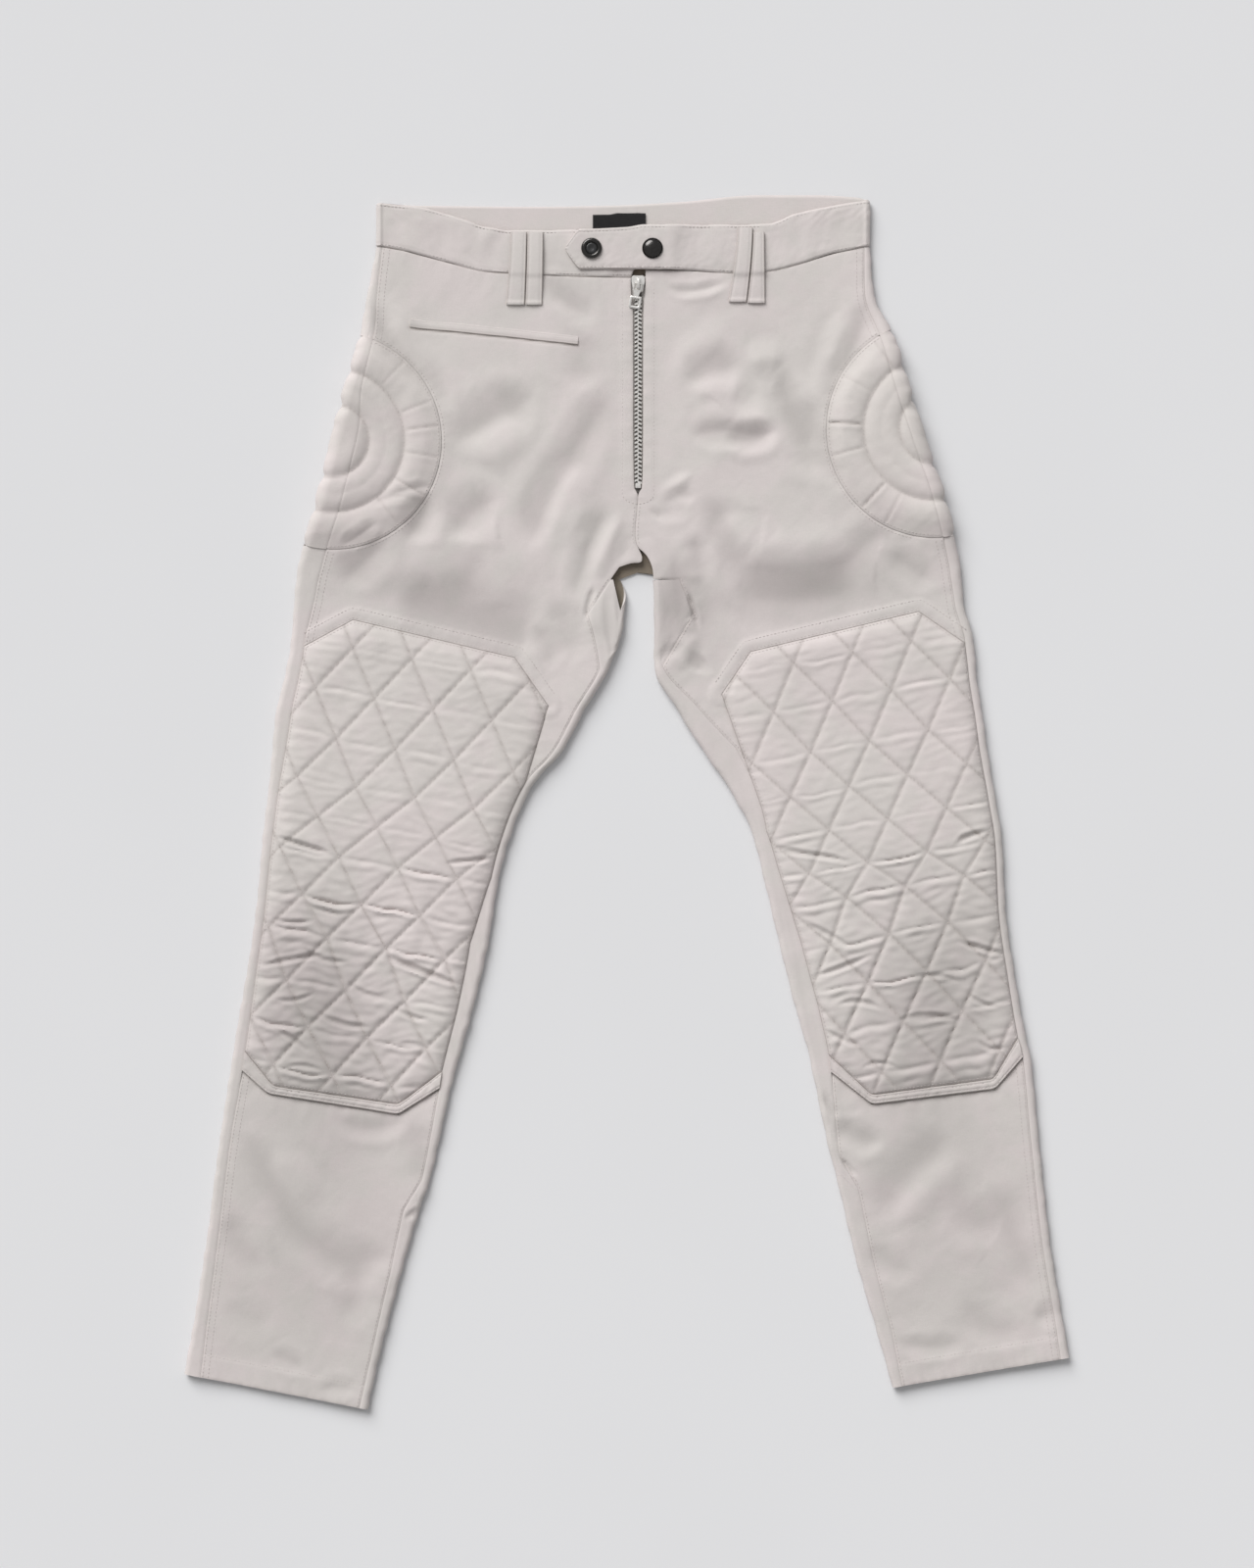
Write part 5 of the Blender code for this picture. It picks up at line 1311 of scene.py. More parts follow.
@dataclass
class Columns:
    """A wrapped panel's columns: each one's zone, its share of it, and its distance off a seam."""

    zone: Array
    share: Array
    back: Array

    @classmethod
    def of(cls, *parts: tuple[Zone, Sequence[float], float]) -> "Columns":
        """Columns from (zone, shares, back) parts; the strips get rows of points at their seams."""
        zone, share, back = [], [], []
        for kind, shares, off in parts:
            if kind is Zone.INNER_STRIP:
                shares, off = shares[1:], RIM_STEPS[-1]
                zone += [kind.value] * 4
                share += [0.0] * 4
                back += RIM_STEPS
            if kind is Zone.OUTER_STRIP:
                off = RIM_STEPS[-1]
            zone += [kind.value] * len(shares)
            share += list(shares)
            back += [off] * len(shares)
            if kind is Zone.OUTER_STRIP:
                zone += [kind.value] * 4
                share += [1.0] * 4
                back += RIM_STEPS[::-1]
        return cls(np.array(zone), np.array(share, float), np.array(back, float))


@dataclass
class Wrap:
    """A panel that runs round a leg's folds, a loft of the leg's sections."""

    leg: Leg
    kind: str = "back"
    slot: str = "cotton"
    step: float = 3.6
    fold_width: float = 0.6
    fold_in: float = 5.0

    @property
    def name(self) -> str:
        """The piece's name, with its leg's."""
        return f"{self.kind}_{self.leg.name}"

    def even_rows(self, first: float, last: float, stops: Sequence[float] = ()) -> Array:
        """Station numbers about a step apart along the outer fold, the stops among them."""
        table = self.leg.table
        path = np.hypot(np.diff(table["out_x"]), np.diff(table["out_y"]))
        arc = np.concatenate([[0.0], np.cumsum(path)])
        places = np.interp([first, *stops, last], table["at"], arc)
        made = [
            np.linspace(a, b, max(2, int((b - a) / self.step) + 1))[:-1] for a,
            b in zip(places[:-1], places[1:])
        ]
        return np.interp(np.concatenate([*made, places[-1:]]), arc, table["at"])

    def own(self, places: Array) -> Array:
        """What this panel adds to the relief on its strips in front."""
        return hem_rise(self.leg, places)

    def level(self, places: Array) -> Array:
        """The underside's height: on the ground, with shallow hollows where it doesn't touch."""
        hollow = ripples(places, 55.0, self.leg.seed + 21) - 0.5
        return (
            0.55 * np.logaddexp(0.0, 2.2 * hollow) / 2.2
            + 0.25 * np.maximum(0.0, ripples(places, 19.0, self.leg.seed + 22) - 0.6)
        )

    def points(self, at: Array, columns: Columns, far: Array | None = None) -> Array:
        """The wall's outer face.

        Each section is a line from fold to fold. A strip lies on the relief, a fold is a half
        ellipse from the relief down to the ground, and the underside follows level().

        Args:
            at: (n, 1) or (n, m) station numbers.
            columns: the m columns.
            far: where the underside starts, as distances from the outer fold, or None for the
                inner leg panel's hidden edge.

        Returns:
            (n, m, 3) places.
        """
        leg = self.leg
        row = leg.row(at)
        shape = np.broadcast_shapes(at.shape, (1, len(columns.zone)))
        start = np.stack([row["out_x"], row["out_y"]], axis=-1)
        end = np.stack([row["in_x"], row["in_y"]], axis=-1)
        length = np.linalg.norm(end - start, axis=-1)
        unit = (end - start) / length[..., None]

        def on_row(distance: Array) -> Array:
            """Places at distances from the outer fold."""
            return start + unit * distance[..., None]

        def relief(places: Array) -> Array:
            """The relief and this panel's own rise, on the grid."""
            flat = np.broadcast_to(places, (*shape, 2)).reshape(-1, 2)
            return (RELIEF.top(leg, flat) + self.own(flat)).reshape(shape)

        def lie(places: Array) -> Array:
            """The height without creases."""
            return RELIEF.lie(leg, places.reshape(-1, 2)).reshape(places.shape[:-1])

        inner_radius = np.minimum(
            self.fold_width * lie(on_row(length - self.fold_in)), row["inseam"] - 0.8
        )
        inner_radius = np.maximum(inner_radius, 0.5)
        outer_radius = np.minimum(
            self.fold_width * lie(on_row(0 * length + self.fold_in)), row["side"] - 0.8
        )
        sway_out = (
            0.5 * flutter(row["out_y"], 26.0, leg.seed + 23)
            + 0.25 * flutter(row["out_y"], 10.0, leg.seed + 24)
        )
        sway_in = (
            0.5 * flutter(row["in_y"], 24.0, leg.seed + 25)
            + 0.25 * flutter(row["in_y"], 9.0, leg.seed + 26)
        )
        zone, share, back = columns.zone, columns.share, columns.back
        angle = math.pi * (0.5 - share)
        seam_in, seam_out = row["inseam"] - GAP, row["side"] - GAP
        begin = length - np.maximum(row["tuck"], GAP) if far is None else far
        wide_in, wide_out = np.maximum(seam_in - inner_radius, 0.2), np.maximum(
            seam_out - outer_radius, 0.2
        )
        rim_in = np.minimum(1.0, 0.5 * wide_in / RIM_STEPS[-1])
        rim_out = np.minimum(1.0, 0.5 * wide_out / RIM_STEPS[-1])
        from_in = rim_in * back + share * (wide_in - RIM_STEPS[-1] * rim_in)
        from_out = rim_out * back + (1 - share) * (wide_out - RIM_STEPS[-1] * rim_out)
        strip_in = length - seam_in + from_in + sway_in * share
        strip_out = seam_out - from_out - sway_out * (1 - share)
        distance = np.choose(zone, [
            strip_in,
            length - inner_radius * (1 - np.cos(angle)) + sway_in,
            length - inner_radius - (row["tuck"] - inner_radius) * share + back,
            begin + (outer_radius - begin) * share,
            outer_radius * (1 - np.cos(angle)) - sway_out,
            strip_out,
        ])
        places = on_row(distance)
        drop = np.where(zone == Zone.INNER_STRIP.value, 1 - share, 0.0)
        places[..., 1] -= drop * row["sweep"]
        laid = relief(places)
        peak_in, peak_out = relief(on_row(length - inner_radius)), relief(on_row(outer_radius))
        from_seam = np.where(
            zone == Zone.INNER_STRIP.value, distance - length + seam_in, seam_out - distance
        )
        laid = laid + turned_edge(from_seam)
        ground = self.level(places.reshape(-1, 2)).reshape(shape)
        near_fold = np.minimum(
            np.abs(distance - outer_radius), np.abs(length - inner_radius - distance)
        )
        ground = ground * smooth(near_fold / 25.0)
        rise = np.sin(angle)
        height = np.choose(
            zone, [laid, peak_in / 2 * (1 + rise), ground, ground, peak_out / 2 * (1 + rise), laid]
        )
        return np.concatenate([places, height[..., None]], axis=-1)

    def soil(self, points: Array) -> Array:
        """Soft painted shade low on the folds, where the cloth touches the ground."""
        return 0.25 * np.exp(-points[..., 2] / 1.5)

    def finish(
        self, outer: Array, kept: Array | None = None, wall: float = WALL
    ) -> bpy.types.Object:
        """Gives the face its wall, offset inwards along the normals, and makes the mesh."""
        rows, columns = outer.shape[:2]
        triangles = grid_triangles(rows, columns, kept)
        if self.leg.inward > 0:
            triangles = triangles[:, ::-1]
        flat = outer.reshape(-1, 3)
        inner = flat - normals_of(flat, triangles) * wall
        inner[:, 2] = np.maximum(inner[:, 2], 0.02)
        across = np.cumsum(
            np.linalg.norm(np.diff(outer, axis=1, prepend=outer[:, :1]), axis=2), axis=1
        )
        down = np.cumsum(
            np.linalg.norm(np.diff(outer[:, -1:], axis=0, prepend=outer[:1, -1:]), axis=2), axis=0
        )
        grain = np.stack([across, np.broadcast_to(down, across.shape)], axis=-1).reshape(-1, 2)
        made = cloth_shell(self.name, flat, inner, triangles, grain, self.soil(flat))
        LOG.info("%s: %d triangles", self.name, 2 * len(triangles))
        return made


@dataclass
class Back(Wrap):
    """The back panel: under the leg, round the outer fold, and round the inner one lower down."""

    def build(self) -> bpy.types.Object:
        """The loft, without the padded hip's circle and the inner leg panel's part."""
        at = self.even_rows(0, HEM, (CROTCH - 1, *range(CROTCH, HEM)))[:, None]
        columns = Columns.of(
            (
                Zone.INNER_STRIP, np.linspace(0, 1, 5)[:-1], 0.0
            ), (Zone.INNER_FOLD, np.linspace(0, 1, 13), 0.0),
            (Zone.NEAR, np.linspace(0, 1, 7)[1:-1], 0.0), (
                Zone.UNDER, np.linspace(0, 1, 34)[:-1], 0.0
            ),
            (Zone.OUTER_FOLD, np.linspace(1, 0, 15), 0.0), (
                Zone.OUTER_STRIP, np.linspace(0, 1, 6)[1:-1], 0.0
            ),
        )
        outer = self.points(at, columns)
        first = int(np.argmax(columns.zone == Zone.UNDER.value))
        inner_rows = (at[:, 0] >= CROTCH - 1e-6) & (at[:, 0] <= INNER_END + 1e-6)
        outer[inner_rows, first, 0] -= self.leg.inward * GAP
        end_row = int(np.argmin(np.abs(at[:, 0] - INNER_END)))
        outer[end_row, :first, 1] -= GAP
        x, y = outer[..., 0], outer[..., 1]
        arch = (
            np.exp(-(((x - 21.0) / 15.0) ** 2))
            * smooth((240.0 - y) / 50.0) * smooth((y - 120.0) / 60.0)
        )
        outer[..., 1] += 8.0 * arch
        offset = outer[..., :2] - np.array(self.leg.hip)
        away = np.linalg.norm(offset, axis=-1)
        edge = HIP_RINGS[-1] + GAP
        snapped = np.abs(away - edge) < 0.6 * self.step
        outer[..., :2] += np.where(snapped, (edge - away) / away, 0.0)[..., None] * offset
        clear = (away > edge) | snapped
        kept = clear[:-1, :-1] & clear[1:, :-1] & clear[:-1, 1:] & clear[1:, 1:]
        kept[:end_row, :first] = False
        return self.finish(outer, kept)


# How far the inner leg panel's upper edge falls from its seam to the fold
SLANT = {"right": 26.0, "left": 0.0}


@dataclass
class InnerLeg(Wrap):
    """The panel that wraps the inner fold from the crotch to below the knee."""

    kind: str = "inner_leg"

    def build(self) -> bpy.types.Object:
        """The loft between the inseam in front and the hidden edge underneath."""
        at = self.even_rows(CROTCH, INNER_END, range(CROTCH + 1, INNER_END))[:, None]
        columns = Columns.of(
            (
                Zone.INNER_STRIP, np.linspace(0, 1, 8)[:-1], 0.0
            ), (Zone.INNER_FOLD, np.linspace(0, 1, 15), 0.0),
            (Zone.NEAR, np.linspace(0, 1, 10)[1:], GAP),
        )
        outer = self.points(at, columns)
        outer[-1, :, 1] += GAP
        over = np.choose(columns.zone, [columns.share, 1 - columns.share, 0.0 * columns.share])
        outer[..., 1] -= SLANT[self.leg.name] * over * smooth((outer[..., 1] - 100.0) / 88.0)
        return self.finish(outer)

    def own(self, places: Array) -> Array:
        """Long creases along the fold where the panel bunches at the crotch."""
        y = places[:, 1]
        near_crotch = smooth((y - 95.0) / 40.0)
        folds = flutter(places[:, 0] * 1.3 + 0.25 * y, 15.0, self.leg.seed + 27)
        seam = Line(self.leg.seam(CROTCH, INNER_END, inseam=True)).near(places, 30.0)
        return (0.3 + 0.45 * near_crotch) * folds * smooth(seam.away / 9.0)


@dataclass
class HipBack(Wrap):
    """The half of the padded hip behind the side seam, which wraps under the outer fold."""

    slot: str = "padded_cotton"

    @property
    def name(self) -> str:
        """The piece's name, with its leg's and the half that it is."""
        return f"hip_pad_{self.leg.name}_back"

    def own(self, places: Array) -> Array:
        """The same rings as in front."""
        return hip_rise(self.leg, places)

    def level(self, places: Array) -> Array:
        """The wadding touches the ground and the sewn rings stay clear of it."""
        away = np.linalg.norm(places - self.leg.hip, axis=1)
        groove = np.min([np.abs(away - r) for r in HIP_RINGS], axis=0)
        return 1.5 * np.exp(-groove / 3.5)

    def build(self) -> bpy.types.Object:
        """The loft over a disc: each column's rows are spread over the circle's chord there."""
        leg = self.leg
        radius = HIP_RINGS[-1] - GAP
        strip = np.linspace(0, 1, 7)[1:-1]
        columns = Columns.of(
            (Zone.UNDER, np.sin(np.linspace(0.0, 1.0, 26)[:-1] * math.pi / 2) ** 1.2, 0.0),
            (Zone.OUTER_FOLD, np.linspace(1, 0, 19), 0.0), (Zone.OUTER_STRIP, strip, 0.0),
        )
        spread = (
            np.sin(np.linspace(-1.0, 1.0, 120) * math.pi / 2 * 0.97)
            / math.sin(math.pi / 2 * 0.97)
        )
        rows = leg.at_height(leg.hip[1] - radius * spread)[:, None]
        row = leg.row(rows)
        centre = leg.inward * (leg.hip[0] - row["out_x"])
        fold = 0.6 * 12.0
        reach = np.choose(columns.zone - Zone.UNDER.value, [
            centre + radius * 0.997 + (fold - centre - radius * 0.997) * columns.share,
            fold * (1 - np.cos(math.pi * (0.5 - columns.share))),
            fold + (row["side"] - fold) * columns.share,
        ])
        chord = np.sqrt(np.maximum(radius ** 2 - (reach - centre) ** 2, 1.0))
        at = leg.at_height(leg.hip[1] - chord * spread[:, None])
        for _ in range(4):
            far = leg.inward * (leg.hip[0] - leg.row(at)["out_x"]) + radius * 0.997
            outer = self.points(at, columns, far)
            chord = np.sqrt(np.maximum(radius ** 2 - (outer[..., 0] - leg.hip[0]) ** 2, 1.0))
            wanted = leg.hip[1] - chord * spread[:, None]
            at = at + leg.at_height(wanted) - leg.at_height(outer[..., 1])
        outer = self.points(at, columns, far)
        offset = outer[..., :2] - np.array(leg.hip)
        away = np.linalg.norm(offset, axis=-1)
        under = (columns.zone == Zone.UNDER.value)[None, :]
        pull = np.where(under & (away > radius), (radius - away) / away, 0.0)
        outer[..., :2] += pull[..., None] * offset
        groove = np.min([np.abs(away - r) for r in HIP_RINGS], axis=0)
        bulge = (puff(groove, 4.6) - 0.62) * 3.0
        side = np.where(
            columns.zone == Zone.OUTER_FOLD.value, np.cos(math.pi * (0.5 - columns.share)), 0.0
        )
        outer[..., 0] -= leg.inward * bulge * side
        return self.finish(outer, wall=3.0)

    def soil(self, points: Array) -> Array:
        """The same painted shade as in front, and more at the circle's edge."""
        away = np.linalg.norm(points[..., :2] - np.array(self.leg.hip), axis=-1)
        return hip_crevice_shade(self.leg, points[..., :2]) + 0.2 * np.exp(
            -np.abs(away - HIP_RINGS[-1]) / 1.0
        )


# ---------------------------------------------------------------- strips: bands, loops, welt, tape


@dataclass
class Strip:
    """A flat band with rounded edges: a profile carried between two edges.

    low and high are the edges, face the unit normals of the face that shows, all (n, 3).
    """

    low: Array
    high: Array
    face: Array
    wall: float
    edge: float = 1.1
    across: int = 17
    rows: Sequence[float] = ()
    dent: float = 0.3
    pillow: float = 0.25

    def __post_init__(self) -> None:
        """Spaces the profile's points closely at both edges."""
        t = np.linspace(0.0, 1.0, self.across)
        self.v = 0.5 - 0.5 * np.sign(0.5 - t) * np.abs(2 * t - 1) ** 0.72
        self.width = np.linalg.norm(self.high - self.low, axis=1)[:, None]

    def swell(self, v: Array) -> Array:
        """The face above its flat: rounded edges, a pillow between the rows, a dent along them."""
        inward = np.minimum(v, 1 - v) * self.width
        turn = np.clip(1 - inward / self.edge, 0.0, 1.0)
        height = (
            -0.5 * self.wall * (1 - np.sqrt(1 - turn ** 2))
            + self.pillow * np.sin(np.pi * np.clip(v, 0, 1)) ** 0.6
        )
        for at in self.rows:
            height = height - self.dent * np.exp(-(((inward - at) / 0.8) ** 2))
        return height

    def on_face(self, v: Array | float, extra: Array | float = 0.0) -> Array:
        """Places on the face at a share of the way across."""
        v = np.broadcast_to(np.asarray(v, float), (len(self.low), 1))
        flat = self.low * (1 - v) + self.high * v
        return flat + self.face * (self.swell(v) + extra)

    def build(self, name: str, relief: Callable[[Array], Array] | None = None,
              extra_shade: Callable[[Array], Array] | None = None) -> bpy.types.Object:
        """The closed band with its two ends capped.

        Args:
            name: the piece's name.
            relief: what is added to the face at (n, k, 3) places, or None.
            extra_shade: painted shade beyond that of the edges at (n, k, 3) places, or None.

        Returns:
            The object.
        """
        v = self.v[None, :]
        flat = self.low[:, None] * (1 - v[..., None]) + self.high[:, None] * v[..., None]
        swell = self.swell(v)
        if relief is not None:
            swell = swell + relief(flat)
        top = flat + self.face[:, None] * swell[..., None]
        turn = np.clip(1 - np.minimum(v, 1 - v) * self.width / self.edge, 0.0, 1.0)
        depth = self.wall - 0.5 * self.wall * (1 - np.sqrt(1 - turn ** 2))
        floor = flat - self.face[:, None] * np.maximum(depth, 0.02)[..., None]
        rows, columns = v.shape[1], len(self.low)
        triangles = grid_triangles(columns, rows)
        along = np.cumsum(np.linalg.norm(np.diff(self.low, axis=0, prepend=self.low[:1]), axis=1))
        grain = np.stack(
            [np.broadcast_to(along[:, None], swell.shape), v * self.width], axis=-1
        ).reshape(-1, 2)
        # Painted shade along both rolled edges, and the piece's extra painted shade.
        soil = 0.4 * np.exp(-np.minimum(v, 1 - v) * self.width / 1.4).reshape(-1)
        if extra_shade is not None:
            soil = soil + extra_shade(flat).reshape(-1)
        points = top.reshape(-1, 3)
        sign = np.sum(normals_of(points, triangles) * np.repeat(self.face, rows, axis=0))
        if sign < 0:
            triangles = triangles[:, ::-1]
        LOG.info("%s: %d triangles", name, 2 * len(triangles))
        return cloth_shell(name, points, floor.reshape(-1, 3), triangles, grain, soil)


def line_at(points: Sequence, x: Array) -> Array:
    """The Y of a polyline at each X, eased between its points."""
    line = np.array(points, float)
    line = line[np.argsort(line[:, 0])]
    return eased(np.clip(x, line[0, 0], line[-1, 0]), line[:, 0], line[:, 1])


@dataclass
class Waistband:
    """Half of the waistband: along the front, round the fold at the hip, back to the centre."""

    leg: Leg
    step: float = 2.0
    rows: tuple = (BAND_ROW,)
    right_end_y: float = 453.0
    right_from_x: float = 30.0
    tab_foot: tuple = (14.0, 450.2)
    tab_tip: tuple = (-52.2, 468.8)
    tab_point: float = 11.2
    tip_half: float = 0.8

    def front_level(self, x: Array) -> Array:
        """The face's height along the front: the left half climbs on to the right one."""
        if self.leg is RIGHT:
            return np.full_like(x, BAND_FRONT_Z)
        start, end = TAB_RISE
        return TAB_Z - (TAB_Z - BAND_FRONT_Z) * smooth((x - start) / (end - start))

    def front_edges(self, x: Array) -> tuple[Array, Array]:
        """The lower and upper edges along the front, with the left half's pointed end."""
        leg = self.leg
        seam = [leg.seam(0, 1)[0], *leg.waist, leg.zip_edge[0]]
        low, high = line_at(seam, x) + SEAM, line_at(BAND_TOP, x)
        if leg is RIGHT:
            return low + (self.right_end_y - low) * smooth((x - 3.0) / 4.0), high
        low = np.where(x < self.tab_foot[0], np.maximum(low, self.tab_foot[1]), low)
        tip_x, tip_y = self.tab_tip
        point = np.clip((x - tip_x) / self.tab_point, 0.0, 1.0) ** 0.9
        blunt = self.tip_half * (1 - point)
        return tip_y + (low - tip_y) * point - blunt, tip_y + (high - tip_y) * point + blunt

    def strip(self) -> Strip:
        """The band's edges and face all the way round."""
        leg, inward = self.leg, self.leg.inward
        fold_x = leg.table["out_x"][0]
        turn = fold_x + inward * BAND_FOLD_RADIUS
        begin = self.right_from_x if leg is RIGHT else self.tab_tip[0]
        x = np.linspace(begin, turn, int(abs(turn - begin) / self.step))
        low, high = self.front_edges(x)
        z = self.front_level(x)
        ones, zeros = np.ones_like(x), np.zeros_like(x)
        wave = (
            0.3 * ripples(np.stack([x, zeros], axis=1), 38.0, leg.seed + 31)
            * smooth((turn - x) * inward / 20.0)
        )
        calm = smooth((np.abs(x) - 35.0) / 20.0)
        parts = [(x, low, high, z + wave * calm, zeros, ones)]
        angle = math.pi / 2 - math.pi * np.linspace(0, 1, 19)[1:-1]
        top = float(line_at(BAND_TOP, np.array([turn]))[0])
        bend = fold_x + inward * BAND_FOLD_RADIUS * (1 - np.cos(angle))
        level = BAND_FOLD / 2 * (1 + np.sin(angle))
        share = smooth(np.linspace(0, 1, 19)[1:-1])
        foot = low[-1] + (BAND_Y - low[-1]) * share
        high_fold = top + (float(line_at(BACK_TOP, np.array([turn]))[0]) - top) * share
        parts.append((bend, foot, high_fold, level, -inward * np.cos(angle), np.sin(angle)))
        centre = CENTRE_X - inward * GAP
        x = np.linspace(turn, centre, int(abs(turn - centre) / self.step / 1.5))
        ones, zeros = np.ones_like(x), np.zeros_like(x)
        parts.append((x, BAND_Y * ones, line_at(BACK_TOP, x), zeros, zeros, -ones))
        x, low, high, z, nx, nz = (np.concatenate(column) for column in zip(*parts))
        face = np.stack([nx, np.zeros_like(nx), nz], axis=1)
        return Strip(
            np.stack([x, low, z], axis=1), np.stack([x, high, z], axis=1), face, BAND_WALL,
            across=23, rows=self.rows, pillow=0.15,
        )

    def relief(self, flat: Array) -> Array:
        """Soft dents of the stiffened band, none on the ground behind."""
        places = flat[..., :2].reshape(-1, 2)
        dents = (
            0.22 * ripples(places, 30.0, self.leg.seed + 32)
            + 0.07 * ripples(places, 10.0, self.leg.seed + 33)
        )
        return dents.reshape(flat.shape[:-1]) * smooth(flat[..., 2] / 3.0 - 0.6)

    def build(self) -> bpy.types.Object:
        """The band."""
        return self.strip().build(f"waistband_{self.leg.name}", self.relief)


def matched(first: Sequence, second: Sequence, counts: Sequence[int]) -> tuple[Array, Array]:
    """Two polylines of as many corners, each stretch cut into the same number of steps."""
    lines = []
    for corners in (np.array(first, float), np.array(second, float)):
        parts = [
            np.linspace(a, b, n + 1)[:-1] for a, b, n in zip(corners[:-1], corners[1:], counts)
        ]
        lines.append(np.concatenate([*parts, corners[-1:]]))
    return lines[0], lines[1]


@dataclass
class Binding:
    """The padded binding at the knee panel's foot, which stands proud of the shin."""

    leg: Leg
    wall: float = 2.6
    lift: float = 1.6

    def strip(self) -> Strip:
        """Between the knee panel's foot and the binding's own, eased at the corners."""
        _, foot, _, _ = self.leg.knee_lines()
        upper, lower = matched(foot, self.leg.band_foot(), (14, 56, 24))
        for _ in range(3):
            for line in (upper, lower):
                line[1:-1] = 0.25 * line[:-2] + 0.5 * line[1:-1] + 0.25 * line[2:]
        toward = (lower - upper) / np.linalg.norm(lower - upper, axis=1)[:, None]
        upper, lower = upper + toward * GAP, lower - toward * GAP
        level = RELIEF.top(self.leg, (upper + lower) / 2) + self.lift
        level = level + 0.25 * flutter(np.arange(len(level)) * 1.8, 22.0, self.leg.seed + 35)
        face = np.tile((0.0, 0.0, 1.0), (len(level), 1))
        return Strip(
            np.column_stack([lower, level]), np.column_stack([upper, level - 0.5]), face, self.wall,
            edge=1.5, rows=(BINDING_ROW,), dent=0.5, pillow=0.35
        )

    def build(self) -> bpy.types.Object:
        """The binding, lightly puckered along its stitches."""
        def relief(flat: Array) -> Array:
            """Puckers along the stitches."""
            places = flat[..., :2].reshape(-1, 2)
            return (0.12 * ripples(places, 8.0, self.leg.seed + 36)).reshape(flat.shape[:-1])

        return self.strip().build(f"knee_band_{self.leg.name}", relief)


LOOPS = {
    "belt_loop_right_outer": (RIGHT, -98.6, -84.9, 483.0, -102.8, -86.7, 421.6),
    "belt_loop_right_inner": (RIGHT, -84.3, -70.9, 483.0, -86.1, -71.9, 421.6),
    "belt_loop_left_inner": (LEFT, 93.6, 106.4, 487.0, 85.6, 101.2, 424.0),
    "belt_loop_left_outer": (LEFT, 107.0, 116.4, 483.0, 101.8, 117.0, 423.0),
}


@dataclass
class BeltLoop:
    """A belt loop sewn over the waistband's upper edge and on to the front below it."""

    name: str
    leg: Leg
    top: tuple
    foot: tuple
    wall: float = 1.5
    bulge: float = 1.3

    def strip(self) -> Strip:
        """Down from the band's edge: over the band, down its step, flat to the stitched foot."""
        t = np.linspace(0.0, 1.0, 46)
        x0, x1, y0 = self.top
        x2, x3, y1 = self.foot
        flare = t ** 1.6
        left, right, y = x0 + (x2 - x0) * flare, x1 + (x3 - x1) * flare, y0 + (y1 - y0) * t
        middle = np.stack([(left + right) / 2, y], axis=1)
        band = Waistband(self.leg)
        on_band = band.front_level(middle[:, 0])
        low, _ = band.front_edges(middle[:, 0])
        on_front = RELIEF.top(self.leg, middle)
        step = smooth((y - low + 4.0) / 5.0)
        level = on_front + (on_band + 0.2 - on_front) * step + LAID + self.wall
        level += self.bulge * np.sin(np.pi * np.clip(t / 0.94, 0, 1)) ** 0.8
        level += 0.7 * np.exp(-((t - 0.975) / 0.02) ** 2)
        slope = np.gradient(level, y)
        face = np.stack([np.zeros_like(y), -slope, np.ones_like(y)], axis=1)
        face /= np.linalg.norm(face, axis=1)[:, None]
        return Strip(
            np.column_stack([left, y, level]), np.column_stack([right, y, level]), face, self.wall,
            edge=0.9, rows=(1.9,), dent=0.3, pillow=0.3
        )

    def build(self) -> bpy.types.Object:
        """The loop, with painted shade along its edges where two of them meet."""
        strip = self.strip()

        def dark(flat: Array) -> Array:
            """How much painted shade the loop has near its edges."""
            across = np.abs(flat[..., 0] - (strip.low[:, :1] + strip.high[:, :1]) / 2)
            return 1.5 * np.exp(-(strip.width / 2 - across) / 0.8)

        return strip.build(self.name, extra_shade=dark)


@dataclass
class Welt:
    """The pocket's welt, a folded strip above its slit."""

    ends: tuple = ((-183.4, 405.8), (-41.5, 391.4))
    half: float = 3.6
    wall: float = 1.5

    def axis(self) -> tuple[Array, Array]:
        """The middle line and the unit vector across it, upwards."""
        start, end = np.array(self.ends)
        t = np.linspace(0.0, 1.0, 90)[:, None]
        line = start + (end - start) * t
        line[:, 1] += 0.5 * np.sin(t[:, 0] * math.pi) + 0.18 * flutter(line[:, 0], 30.0, 51)
        along = (end - start) / np.linalg.norm(end - start)
        return line, np.array((-along[1], along[0]))

    def slit(self) -> Array:
        """The slit along the welt's lower edge."""
        line, across = self.axis()
        return line - across * (self.half + 0.4)

    def strip(self) -> Strip:
        """The welt on the front's relief."""
        line, across = self.axis()
        low, high = line - across * self.half, line + across * self.half
        level = np.maximum(RELIEF.top(RIGHT, low), RELIEF.top(RIGHT, high)) + 0.7
        face = np.tile((0.0, 0.0, 1.0), (len(level), 1))
        return Strip(
            np.column_stack([low, level]), np.column_stack([high, level - 0.5]), face, self.wall,
            edge=0.7, rows=(1.3,), dent=0.15, pillow=0.08
        )

    def build(self) -> bpy.types.Object:
        """The welt, with a painted shadow where it folds over the slit."""
        slit = Line(self.slit())

        def dark(flat: Array) -> Array:
            """How much painted shadow the welt has near the slit."""
            away = slit.near(flat[..., :2].reshape(-1, 2), 12.0).away
            return 1.8 * np.exp(-away / 1.1).reshape(flat.shape[:-1])

        return self.strip().build("pocket_welt", extra_shade=dark)


